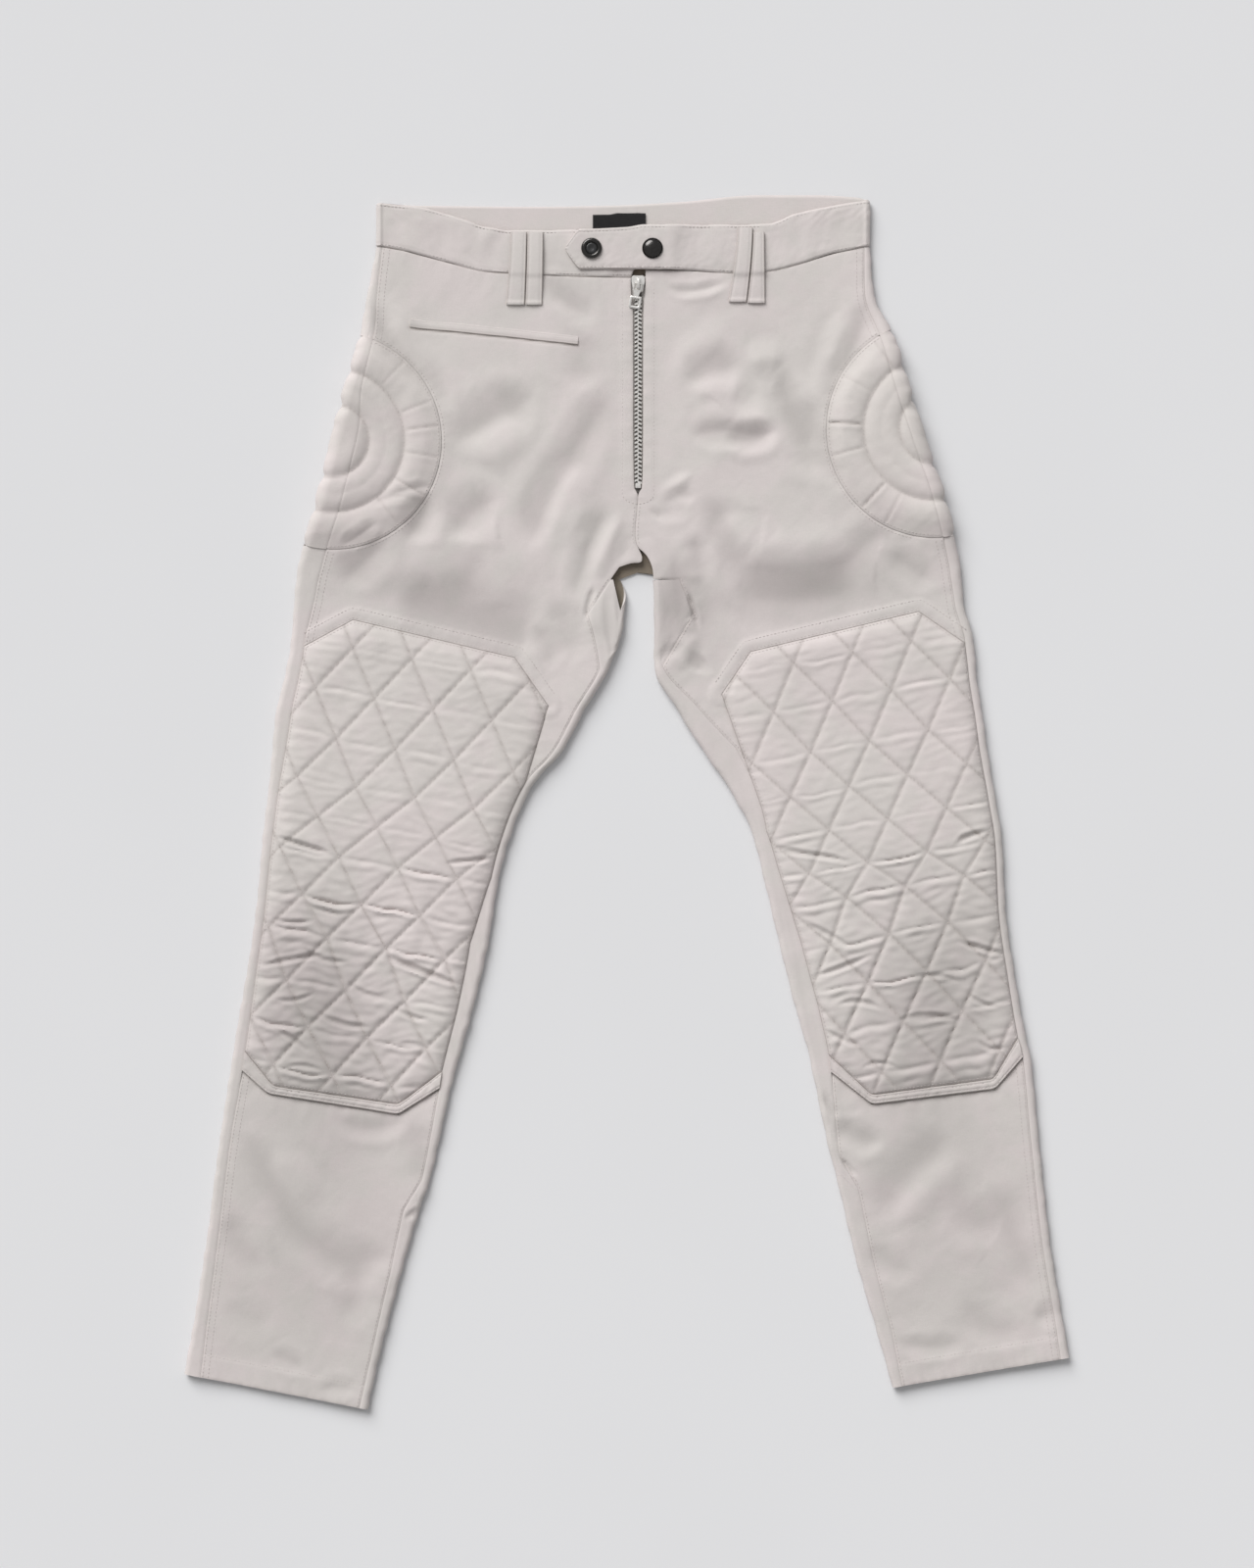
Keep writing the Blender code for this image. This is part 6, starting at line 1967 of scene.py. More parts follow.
@dataclass
class Label:
    """The blank woven label inside the back of the waistband."""

    box: tuple = (-29.0, 15.8, 480.0, 499.7)
    wall: float = 0.6

    def build(self) -> bpy.types.Object:
        """The label, its upper edge stepped a little and its face faintly wavy."""
        x0, x1, y0, y1 = self.box
        x = np.linspace(x0, x1, 40)
        upper = y1 - 1.3 * smooth((-8.0 - x) / 9.0) + 0.15 * flutter(x, 12.0, 61)
        level = BAND_WALL + SEAM + self.wall + 0.25 * (1 + np.sin(x / 9.0))
        face = np.tile((0.0, 0.0, 1.0), (len(x), 1))
        low = np.column_stack([x, np.full_like(x, y0), level])
        return Strip(
            low, np.column_stack([x, upper, level]), face, self.wall, edge=0.4, pillow=0.1
        ).build("label")


@dataclass
class ZipTape:
    """The zip's woven tape under the edges of the fly."""

    wall: float = 0.9

    def build(self) -> bpy.types.Object:
        """The tape, thickened by its cord on both sides of the teeth."""
        y = np.linspace(ZIP_END_Y - 6.0, ZIP_TOP_Y, 120)
        left, right = np.full_like(y, ZIP_X - TAPE_HALF), np.full_like(y, ZIP_X + TAPE_HALF)
        level = np.full_like(y, TAPE_Z)
        face = np.tile((0.0, 0.0, 1.0), (len(y), 1))
        strip = Strip(
            np.column_stack([left, y, level]), np.column_stack([right, y, level]), face, self.wall,
            edge=0.5, across=29, pillow=0.0
        )

        def cords(flat: Array) -> Array:
            """The cord on both sides of the teeth."""
            return 0.2 * np.exp(-(((np.abs(flat[..., 0] - ZIP_X) - 3.1) / 0.7) ** 2))

        def marked(flat: Array) -> Array:
            """How much painted shade the tape has under the teeth."""
            return 0.9 * smooth((3.6 - np.abs(flat[..., 0] - ZIP_X)) / 1.2)

        return strip.build("zip_tape", cords, marked)


# ---------------------------------------------------------------- metal


@dataclass
class Shells:
    """Closed shells of one hard piece, gathered before they go into its mesh."""

    points: list = field(default_factory=list)
    faces: list = field(default_factory=list)
    count: int = 0

    def add(self, points: Array, *faces: Array) -> None:
        """Adds a shell whose faces number its own points from 0."""
        self.points.append(np.asarray(points, float))
        self.faces += [np.asarray(part, int) + self.count for part in faces]
        self.count += len(points)

    def prism(self, outline: Sequence, low: float, high: float, chamfer: float = 0.3) -> None:
        """A counter-clockwise outline raised from low to high, its level edges chamfered."""
        line = Line(outline, 100.0, closed=True)
        outer, inset = line.points[:-1], line.offset(chamfer)[:-1]
        count = len(outer)
        flat, _, cap, *_ = delaunay_2d_cdt(
            [Vector(p) for p in outer.tolist()], [], [list(range(count))], 1, 1e-5, False
        )
        if len(flat) != count:
            raise ValueError("an outline crosses itself")
        levels = ((inset, low), (outer, low + chamfer), (outer, high - chamfer), (inset, high))
        rings = np.concatenate([np.column_stack([ring, np.full(count, z)]) for ring, z in levels])
        turn = np.arange(count)
        after = (turn + 1) % count
        walls = [
            np.stack([turn, after, after + count, turn + count], axis=1) + k * count
            for k in range(3)
        ]
        cap = np.array(cap)
        self.add(rings, *walls, cap[:, ::-1], cap + 3 * count)

    def turned(self, profile: Sequence, at: Sequence = (0.0, 0.0, 0.0), steps: int = 48) -> None:
        """A profile of (radius, height) turned about Z, from the top's centre to the foot's."""
        profile = np.array(profile, float)
        angle = np.arange(steps) * 2 * math.pi / steps
        r, z = profile[1:-1, 0, None], profile[1:-1, 1, None]
        rings = np.stack(
            [r * np.cos(angle), r * np.sin(angle), z + 0 * angle], axis=-1
        ).reshape(-1, 3)
        number = np.arange(len(rings)).reshape(-1, steps)
        after = np.roll(number, -1, axis=1)
        quads = np.stack([number[:-1], number[1:], after[1:], after[:-1]], axis=-1).reshape(-1, 4)
        top, foot = len(rings), len(rings) + 1
        cap = np.stack([np.full(steps, top), number[0], after[0]], axis=1)
        base = np.stack([np.full(steps, foot), after[-1], number[-1]], axis=1)
        poles = np.array([(0.0, 0.0, profile[0, 1]), (0.0, 0.0, profile[-1, 1])])
        self.add(np.concatenate([rings, poles]) + np.array(at), quads, cap, base)

    def rod(self, radius: float, low: float, high: float, steps: int = 20) -> None:
        """A round rod along X with rounded ends."""
        soft = 0.3 * radius
        made = Shells()
        made.turned(((0, high), (radius - soft, high), (radius, high - soft), (radius, low + soft),
                     (radius - soft, low), (0, low)), steps=steps)
        points = made.points[0][:, [2, 0, 1]]
        self.add(points, *made.faces)

    def moved(self, matrix: Matrix) -> "Shells":
        """The same shells after a turn and a shift."""
        m = np.array(matrix)
        self.points = [p @ m[:3, :3].T + m[:3, 3] for p in self.points]
        return self

    def build(self, name: str, sharp: float = 38.0) -> bpy.types.Object:
        """One object of all the shells; edges sharper than an angle in degrees stay sharp."""
        mesh = mesh_from(name, np.concatenate(self.points), self.faces)
        mesh.set_sharp_from_angle(angle=math.radians(sharp))
        LOG.info("%s: %d points", name, self.count)
        return link(name, mesh)


def rounded_box(x0: float, y0: float, x1: float, y1: float, corner: float, steps: int = 4) -> Array:
    """The outline of a rectangle with round corners, counter-clockwise."""
    corner = max(corner, 1e-3)
    parts = []
    for cx, cy, start in ((x1, y1, 0), (x0, y1, 90), (x0, y0, 180), (x1, y0, 270)):
        turn = np.radians(start + np.linspace(0.0, 90.0, steps + 1))
        inward = np.array((
            cx - math.copysign(corner, cx - (x0 + x1) / 2),
            cy - math.copysign(corner, cy - (y0 + y1) / 2),
        ))
        parts.append(inward + corner * np.stack([np.cos(turn), np.sin(turn)], axis=1))
    return np.concatenate(parts)


@dataclass
class Zip:
    """The zip's metal: the teeth, the stop at their foot, the slider and its pull tab."""

    pitch: float = 1.78
    teeth_from: float = 271.3
    teeth_to: float = 431.8
    half: float = 2.6
    floor: float = TAPE_Z + SEAM
    tooth_height: float = 1.9
    tooth_slant: float = 0.42
    tooth_waist: tuple = (0.9, 0.0)
    body_height: float = 3.0
    length: float = 14.0
    head: float = 11.4
    tail: float = 8.4
    swing: float = math.radians(9.0)
    pitch_up: float = math.radians(4.5)
    reach: float = 21.2

    @property
    def pivot_z(self) -> float:
        """The pull tab's pin."""
        return self.floor + self.body_height + 1.6

    def teeth(self) -> bpy.types.Object:
        """Interlocked teeth, each a chamfered block with a rounded nose, on alternating sides."""
        y = np.arange(self.teeth_from + 0.6, self.teeth_to - 0.5, self.pitch)
        side = np.where(np.arange(len(y)) % 2 == 0, 1.0, -1.0)
        outline = np.array(
            [
                (-0.75, -0.6), (-0.3, -1.0), (self.half + 0.6, -1.0), (self.half + 0.6, 1.0),
                (-0.3, 1.0), (-0.75, 0.6)
            ]
        )
        low, high = self.floor, self.floor + self.tooth_height
        rings = []
        for inset, z in ((0.0, low), (0.0, high - 0.5), (0.34, high)):
            away = outline - self.tooth_waist
            shrunk = np.sign(away) * np.maximum(np.abs(away) - inset, 0.05) + self.tooth_waist
            rings.append(np.column_stack([shrunk, np.full(6, z)]))
        template = np.concatenate(rings)
        places = np.tile(template, (len(y), 1, 1))
        places[..., 1] += y[:, None] - self.tooth_slant * places[..., 0]
        places[..., 0] = ZIP_X + places[..., 0] * side[:, None]
        k = np.arange(6)
        walls = [np.stack([k, (k + 1) % 6, (k + 1) % 6 + 6, k + 6], axis=1) + 6 * r for r in (0, 1)]
        cap = np.array([(0, 1, 4, 5), (1, 2, 3, 4)])
        quads = np.concatenate([*walls, cap[:, ::-1], cap + 12])
        turned = np.where(side[:, None, None] > 0, quads[None], quads[None, :, ::-1])
        faces = (turned + (np.arange(len(y)) * len(template))[:, None, None]).reshape(-1, 4)
        shells = Shells()
        shells.add(places.reshape(-1, 3), faces)
        return shells.build("zip_chain")

    def stop(self) -> bpy.types.Object:
        """The block that holds the two rows together at the foot."""
        shells = Shells()
        for half, y0, y1, corner, low, high, bevel in (
            (2.4, 266.4, 270.7, 0.8, 0.0, 2.0, 0.35), (1.5, 267.4, 269.7, 0.4, 1.9, 2.25, 0.15),
        ):
            outline = rounded_box(ZIP_X - half, y0, ZIP_X + half, y1, corner)
            shells.prism(outline, self.floor + low, self.floor + high, bevel)
        return shells.build("zip_stop")

    def slider(self) -> bpy.types.Object:
        """The tapered body: two plates, a dark gap for the teeth, and the bridge over the pin."""
        shells = Shells()
        front, back = SLIDER_Y - self.length / 2, SLIDER_Y + self.length / 2
        tail, head = self.tail / 2, self.head / 2
        half = ((tail - 0.9, front), (tail, front + 0.9), (tail + 0.2, front + 4.0),
                (head, SLIDER_Y + 1.4), (head, back - 2.0), (head - 0.6, back - 0.9),
                (head - 1.8, back), (1.0, back - 0.15))
        outline = [(ZIP_X + x, y) for x, y in half] + [(ZIP_X - x, y) for x, y in reversed(half)]
        top = self.floor + self.body_height
        shells.prism(outline, top - 1.15, top, 0.35)
        shells.prism(outline, self.floor, self.floor + 1.0, 0.2)
        inner = [(ZIP_X + 0.8 * (x - ZIP_X), SLIDER_Y + 0.86 * (y - SLIDER_Y)) for x, y in outline]
        shells.prism(inner, self.floor + 0.8, top - 0.9, 0.05)
        rise, crest = top - 0.5, self.pivot_z + 2.3
        arch = (
            (4.8, rise), (4.8, crest - 1.3), (4.3, crest - 0.4), (3.5, crest), (-3.5, crest),
            (-4.3, crest - 0.4), (-4.8, crest - 1.3 ), (-4.8, rise), (-3.4, rise),
            (-3.4, crest - 1.5), (-3.0, crest - 1.1), (3.0, crest - 1.1), (3.4, crest - 1.5),
            (3.4, rise)
        )
        bridge = Shells()
        bridge.prism(arch, -1.2, 1.2, 0.3)
        bridge.moved(Matrix(((0, 0, 1, ZIP_X), (1, 0, 0, SLIDER_Y), (0, 1, 0, 0), (0, 0, 0, 1))))
        shells.add(bridge.points[0], *bridge.faces)
        return shells.build("zip_slider")

    def pull_tab(self) -> bpy.types.Object:
        """The pin, two cheeks, a tapered neck and the square ring, laid down along the zip."""
        shells = Shells()
        shells.prism(
            (
                (3.3, -5.4), (-3.3, -5.4), (-2.9, -7.4), (-2.1, -9.2), (-2.0, -12.0), (2.0, -12.0),
                (2.1, -9.2), (2.9, -7.4)
            ),
            -0.5, 0.5, 0.2
        )
        outer = rounded_box(-5.0, -self.reach, 5.0, -11.2, 1.5, 5)
        hole = rounded_box(-3.2, 1.8 - self.reach, 3.2, -13.0, 0.8, 5)
        self.frame(shells, outer, hole, 0.75)
        for low in (-3.6, 2.6):
            shells.prism(rounded_box(low, -6.4, low + 1.0, 0.9, 0.45, 3), -0.75, 0.75, 0.2)
        shells.rod(0.65, -3.2, 3.2)
        shells.moved(
            Matrix.Translation(
                (ZIP_X, SLIDER_Y, self.pivot_z)
            ) @ Matrix.Rotation(-self.swing, 4, "Z") @ Matrix.Rotation(self.pitch_up, 4, "X")
        )
        return shells.build("zip_pull_tab")

    def frame(self, shells: Shells, outer: Array, hole: Array, half: float) -> None:
        """A closed frame between two outlines of as many points, its four long edges rounded."""
        above = [(0.0, 0.65), (0.3, 1.0), (0.7, 1.0), (1.0, 0.65)]
        edges = above + [(share, -z) for share, z in reversed(above)]
        count = len(outer)
        rings = [
            np.column_stack([outer + (hole - outer) * share, np.full(count, half * z)])
            for share, z in edges
        ]
        turn = np.arange(count)
        after = (turn + 1) % count
        walls = []
        for k in range(len(edges)):
            here, beyond = k * count, (k + 1) % len(edges) * count
            walls.append(
                np.stack([turn + here, after + here, after + beyond, turn + beyond], axis=1)
            )
        shells.add(np.concatenate(rings), *walls)


@dataclass
class Snaps:
    """The two snap fasteners on the waistband's tab and beside it."""

    radius: float = 8.8
    ring_at: tuple = (-30.0, 469.0)
    dome_at: tuple = (21.6, 469.0)
    level: float = TAB_Z + SEAM

    def ring(self) -> bpy.types.Object:
        """A rounded ring about a sunk middle."""
        r = self.radius
        bead = [
            (
                5.0 + 1.7 * (1 - math.cos(a)), 1.3 + 1.3 * math.sin(a)
            ) for a in np.linspace(0.0, math.pi / 2, 7)
        ]
        fall = [
            (
                6.7 + (r - 6.7) * math.sin(a), 0.5 + 2.1 * math.cos(a)
            ) for a in np.linspace(0.15, math.pi / 2, 9)
        ]
        shells = Shells()
        shells.turned(
            [(0.0, 0.9), (4.2, 0.9), (4.9, 1.0), *bead, *fall, (r - 0.3, 0.0), (0.0, 0.0)],
            (*self.ring_at, self.level)
        )
        return shells.build("snap_ring")

    def eye(self) -> bpy.types.Object:
        """The dark plug in the ring's middle, with a shallow dimple."""
        shells = Shells()
        shells.turned(
            [
                (0.0, 1.15), (1.6, 1.2), (2.4, 1.5), (3.9, 1.5), (4.4, 1.3), (4.6, 1.0), (4.4, 0.8),
                (0.0, 0.8)
            ],
            (*self.ring_at, self.level)
        )
        return shells.build("snap_eye")

    def dome(self) -> bpy.types.Object:
        """A low polished dome with a rolled rim."""
        r = self.radius
        cap = [
            (
                0.87 * r * math.sin(a), 1.0 + 2.6 * math.cos(a)
            ) for a in np.linspace(0.05, math.pi / 2, 12)
        ]
        rim = [
            (0.9 * r, 0.75), (0.95 * r, 0.95), (0.99 * r, 0.7), (r, 0.4), (r - 0.3, 0.0), (0.0, 0.0)
        ]
        shells = Shells()
        shells.turned([(0.0, 3.6), *cap, *rim], (*self.dome_at, self.level))
        return shells.build("snap_dome")


# ---------------------------------------------------------------- stitches


@dataclass
class Thread:
    """How a row is sewn: the stitches' spacing and length, the thread's radius, sink and rise."""

    pitch: float = 3.2
    length: float = 2.55
    radius: float = 0.26
    sink: float = 0.3
    rise: float = 0.12


class Stitching:
    """Rows of stitches on one half of the trousers, gathered into one piece."""

    def __init__(self, name: str) -> None:
        """Starts with no rows."""
        self.name = name
        self.points: list[Array] = []
        self.count = 0

    def along(self, line: Array, normal: Array, thread: Thread = Thread()) -> None:
        """Sews along a line in space.

        Each stitch is a three-sided tube bowed over the cloth: rings at -0.3, 0 and 0.3 of its
        length, and tips at both ends that dive into the cloth.

        Args:
            line: (n, 3) places on the cloth.
            normal: (n, 3) the cloth's normals there.
            thread: the stitch.
        """
        arc = np.concatenate([[0.0], np.cumsum(np.linalg.norm(np.diff(line, axis=0), axis=1))])
        whole = int(arc[-1] / thread.pitch)
        if whole < 1:
            return
        middle = (np.arange(whole) + 0.5) * arc[-1] / whole
        self.count += whole

        def read(values: Array, at: Array) -> Array:
            """A column of places at distances along the line."""
            return np.stack([np.interp(at, arc, values[:, k]) for k in range(3)], axis=-1)

        step = read(line, middle + 0.5) - read(line, middle - 0.5)
        tangent = step / np.maximum(np.linalg.norm(step, axis=1), 1e-9)[:, None]
        up = read(normal, middle)
        up -= tangent * (up * tangent).sum(axis=1)[:, None]
        up /= np.maximum(np.linalg.norm(up, axis=1), 1e-9)[:, None]
        across = np.cross(up, tangent)
        rows = []
        for share, lift, size in (
            (-0.5, -thread.sink, 0.0), (-0.3, thread.rise * 0.6, 0.9), (0.0, thread.rise, 1.0),
            (0.3, thread.rise * 0.6, 0.9), (0.5, -thread.sink, 0.0)
        ):
            centre = read(line, middle + share * thread.length) + up * lift
            if size == 0.0:
                rows.append(centre[:, None])
                continue
            turn = np.radians([90.0, 210.0, 330.0])
            ring = (
                across[:, None] * np.cos(turn)[None, :, None]
                + up[:, None] * np.sin(turn)[None, :, None]
            )
            rows.append(centre[:, None] + ring * thread.radius * size)
        self.points.append(np.concatenate(rows, axis=1))

    def on(self, line: Array, top: Surface, thread: Thread = Thread(), lift: float = 0.0) -> None:
        """Sews along a line in the plane, laid on a face that looks up."""
        line = resampled(np.asarray(line, float), 1.2)
        level = top(line) + lift
        level = np.convolve(np.pad(level, 1, mode="edge"), (0.25, 0.5, 0.25), mode="valid")
        self.along(np.column_stack([line, level]), np.tile((0.0, 0.0, 1.0), (len(line), 1)), thread)

    def build(self) -> bpy.types.Object:
        """All the stitches as one mesh of closed tubes."""
        points = np.concatenate(self.points)
        k = np.arange(3)
        after = (k + 1) % 3
        tips = np.concatenate([
            np.stack([0 * k, k + 1, after + 1], axis=1),
            np.stack([0 * k + 10, after + 7, k + 7], axis=1),
        ])
        sides = np.concatenate([
            np.stack(
                [k + ring, k + ring + 3, after + ring + 3, after + ring], axis=1
            ) for ring in (1, 4)
        ])
        first = (np.arange(len(points)) * 11)[:, None, None]
        mesh = mesh_from(
            self.name, points.reshape(-1, 3),
            [(tips + first).reshape(-1, 3), (sides + first).reshape(-1, 4)]
        )
        LOG.info("%s: %d stitches", self.name, len(points))
        return link(self.name, mesh)


def clipped(line: Array, outline: Array, margin: float) -> list[Array]:
    """The stretches of a line that lie inside an outline by a margin."""
    line = resampled(line, 1.0)
    good = inside(line, outline) & (
        Line(outline, 3.0, closed=True).near(line, margin + 1.0).away > margin
    )
    edges = np.nonzero(np.diff(np.concatenate([[0], good.astype(int), [0]])))[0].reshape(-1, 2)
    return [line[a:b] for a, b in edges if b - a > 5]


# ---------------------------------------------------------------- finishes


class Graph:
    """A node tree being wired up, with short calls for the nodes that the finishes use."""

    def __init__(self, tree: bpy.types.NodeTree) -> None:
        """Keeps the tree."""
        self.tree = tree

    def node(self, kind: str, **settings: object) -> bpy.types.Node:
        """A new node with its properties set."""
        made = self.tree.nodes.new(kind)
        for name, value in settings.items():
            setattr(made, name, value)
        return made

    def feed(self, socket: bpy.types.NodeSocket, value: object) -> None:
        """Links a socket into an input, or sets the input to a plain value."""
        if isinstance(value, bpy.types.NodeSocket):
            self.tree.links.new(value, socket)
        else:
            socket.default_value = value

    def math(self, operation: str, *values: object) -> bpy.types.NodeSocket:
        """A Math node's result."""
        made = self.node("ShaderNodeMath", operation=operation)
        for socket, value in zip(made.inputs, values):
            self.feed(socket, value)
        return made.outputs[0]

    def noise(self, where: object, scale: float, detail: float = 3.0, rough: float = 0.55,
              distortion: float = 0.0) -> bpy.types.NodeSocket:
        """A Noise Texture's value at a scale in features per metre."""
        made = self.node("ShaderNodeTexNoise")
        self.feed(made.inputs["Vector"], where)
        for name, value in (
            ("Scale", scale), ("Detail", detail), ("Roughness", rough), ("Distortion", distortion)
        ):
            made.inputs[name].default_value = value
        return made.outputs["Fac"]

    def mapping(
        self, where: object, scale: Sequence[float], turn: float = 0.0
    ) -> bpy.types.NodeSocket:
        """A vector stretched and turned about Z."""
        made = self.node("ShaderNodeMapping")
        self.feed(made.inputs["Vector"], where)
        made.inputs["Scale"].default_value = scale
        made.inputs["Rotation"].default_value = (0.0, 0.0, turn)
        return made.outputs[0]

    def spread(
        self, value: object, low: float, high: float, to: Sequence[float] = (0.0, 1.0)
    ) -> bpy.types.NodeSocket:
        """A value's range carried smoothly on to another."""
        made = self.node("ShaderNodeMapRange", interpolation_type="SMOOTHSTEP")
        for socket, item in zip(made.inputs, (value, low, high, *to)):
            self.feed(socket, item)
        return made.outputs[0]

    def mix(
        self, share: object, first: object, second: object, blend: str = "MIX"
    ) -> bpy.types.NodeSocket:
        """Two colours mixed."""
        made = self.node("ShaderNodeMix", data_type="RGBA", blend_type=blend)
        for socket, item in zip(
            (made.inputs[0], made.inputs[6], made.inputs[7]), (share, first, second)
        ):
            self.feed(socket, item)
        return made.outputs[2]

    def bump(
        self, height: object, distance: float, strength: float = 1.0, normal: object = None
    ) -> bpy.types.NodeSocket:
        """A Bump node's normal, for a height of one at a distance in metres."""
        made = self.node("ShaderNodeBump")
        made.inputs["Strength"].default_value = strength
        made.inputs["Distance"].default_value = distance
        self.feed(made.inputs["Height"], height)
        if normal is not None:
            self.feed(made.inputs["Normal"], normal)
        return made.outputs[0]


def group(name: str, inputs: dict[str, object], outputs: dict[str, str],
          wire: Callable[[Graph, dict], dict]) -> bpy.types.NodeTree:
    """A shader node group with named sockets.

    Args:
        name: the group's name.
        inputs: each input's default: a number, a colour of four, or None for a vector.
        outputs: each output's socket type.
        wire: takes the graph and the inputs' sockets, and returns the outputs' sockets.

    Returns:
        The node tree.
    """
    tree = bpy.data.node_groups.new(name, "ShaderNodeTree")
    for label, value in inputs.items():
        kind = "Vector" if value is None else "Float" if isinstance(value, float) else "Color"
        socket = tree.interface.new_socket(label, in_out="INPUT", socket_type=f"NodeSocket{kind}")
        if value is not None:
            socket.default_value = value
    for label, kind in outputs.items():
        tree.interface.new_socket(label, in_out="OUTPUT", socket_type=f"NodeSocket{kind}")
    graph = Graph(tree)
    start, end = graph.node("NodeGroupInput"), graph.node("NodeGroupOutput")
    made = wire(graph, {socket.name: socket for socket in start.outputs if socket.name})
    for label, socket in made.items():
        tree.links.new(socket, end.inputs[label])
    return tree


def wire_weave(g: Graph, at: dict) -> dict:
    """Plain weave: threads of both families rise and fall in turn, with uneven slubs along them."""
    split = g.node("ShaderNodeSeparateXYZ")
    g.feed(split.inputs[0], at["Where"])
    waves = []
    for axis in (0, 1):
        turns = g.math("MULTIPLY", split.outputs[axis], at["Threads"])
        waves.append(g.math("SINE", g.math("MULTIPLY", turns, 2 * math.pi)))
    checks = g.math("MULTIPLY", waves[0], waves[1])
    slub = g.math("ADD", g.noise(g.mapping(at["Where"], (1.0, 0.13, 1.0)), 1300.0, 2.0),
                  g.noise(g.mapping(at["Where"], (0.13, 1.0, 1.0)), 1300.0, 2.0))
    height = g.math("ADD", g.math("MULTIPLY", checks, 0.3), slub)
    return {"Height": height, "Slub": g.spread(slub, 0.7, 1.3)}


def wire_wash(g: Graph, at: dict) -> dict:
    """Uneven washing: two tints drift into each other over soft blotches, small ones inside."""
    broad = g.noise(at["Where"], 9.0, 4.0, 0.6, 0.6)
    small = g.noise(at["Where"], 42.0, 4.0, 0.6, 0.3)
    share = g.spread(
        g.math("ADD", broad, g.math("MULTIPLY", g.math("SUBTRACT", small, 0.5), 0.5)), 0.36, 0.64
    )
    tint = g.mix(share, at["Tint"], at["Other Tint"])
    shade = g.spread(g.math("ADD", small, g.math("MULTIPLY", broad, 0.5)), 0.45, 1.05)
    depth = g.math("MULTIPLY", shade, at["Fading"])
    dark = g.mix(1.0, tint, (0.88, 0.875, 0.87, 1.0), "MULTIPLY")
    return {"Color": g.mix(depth, tint, dark), "Blotch": share}


def wire_shade_and_dirt(g: Graph, at: dict) -> dict:
    """Painted shade where a seam is turned in or sewn down, broken up by noise, and real dirt in
    fine specks.
    """
    soil = g.node("ShaderNodeAttribute", attribute_name="soil")
    broken = g.math("ADD", 0.65, g.math("MULTIPLY", g.noise(at["Where"], 260.0, 3.0, 0.7), 0.7))
    amount = g.math("MULTIPLY", g.math("MULTIPLY", soil.outputs["Fac"], broken), at["Amount"])
    share = g.math("MINIMUM", amount, 1.0)
    specks = g.math(
        "MULTIPLY", g.spread(g.noise(at["Where"], 620.0, 2.0, 0.5), 0.69, 0.76), at["Specks"]
    )
    crevice_shaded = g.mix(share, at["Color"], at["Grime"])
    return {"Color": g.mix(specks, crevice_shaded, at["Grime"]), "Mask": share}


def wire_wear(g: Graph, at: dict) -> dict:
    """Metal handled for years: hairline scratches one way, cloudy smears and dark pits."""
    hairs = g.noise(g.mapping(at["Where"], (1.0, 0.05, 1.0), 0.3), 9000.0, 2.0, 0.6)
    smear = g.noise(at["Where"], 380.0, 3.0, 0.6)
    pits = g.spread(g.noise(at["Where"], 1500.0, 2.0, 0.5), 0.66, 0.74)
    rough = g.math("ADD", at["Roughness"], g.math("MULTIPLY", g.math("SUBTRACT", smear, 0.5), 0.35))
    dulled = g.mix(g.math("MULTIPLY", g.spread(smear, 0.4, 0.75), 0.35), at["Color"], at["Tarnish"])
    height = g.math("SUBTRACT", g.math("MULTIPLY", hairs, 0.5), pits)
    return {
        "Color": g.mix(g.math("MULTIPLY", pits, 0.6), dulled, at["Tarnish"]), "Roughness": rough,
        "Height": height
    }


class Groups:
    """The node groups that the finishes share, built once."""

    def __init__(self) -> None:
        """Builds the four groups."""
        white = (1.0, 1.0, 1.0, 1.0)
        self.weave = group(
            "weave", {"Where": None, "Threads": 1500.0}, {"Height": "Float", "Slub": "Float"},
            wire_weave
        )
        self.wash = group(
            "wash", {"Where": None, "Tint": white, "Other Tint": white, "Fading": 1.0},
            {"Color": "Color", "Blotch": "Float"}, wire_wash
        )
        self.grime = group(
            "grime", {"Where": None, "Color": white, "Grime": white, "Amount": 0.5, "Specks": 0.2},
            {"Color": "Color", "Mask": "Float"}, wire_shade_and_dirt
        )
        self.wear = group(
            "metal_wear", {"Where": None, "Color": white, "Tarnish": white, "Roughness": 0.3},
            {"Color": "Color", "Roughness": "Float", "Height": "Float"}, wire_wear
        )


def placed(graph: Graph, tree: bpy.types.NodeTree, **values: object) -> bpy.types.Node:
    """A group's node in a material, with its inputs set or linked by name."""
    made = graph.node("ShaderNodeGroup", node_tree=tree)
    for name, value in values.items():
        graph.feed(made.inputs[name.replace("_", " ")], value)
    return made


def new_material(name: str) -> tuple[bpy.types.Material, Graph, bpy.types.Node]:
    """An empty material with its graph and Principled shader."""
    made = bpy.data.materials.new(name)
    made.use_nodes = True
    made.node_tree.nodes.clear()
    graph = Graph(made.node_tree)
    shader, output = graph.node("ShaderNodeBsdfPrincipled"), graph.node("ShaderNodeOutputMaterial")
    made.node_tree.links.new(shader.outputs[0], output.inputs["Surface"])
    return made, graph, shader


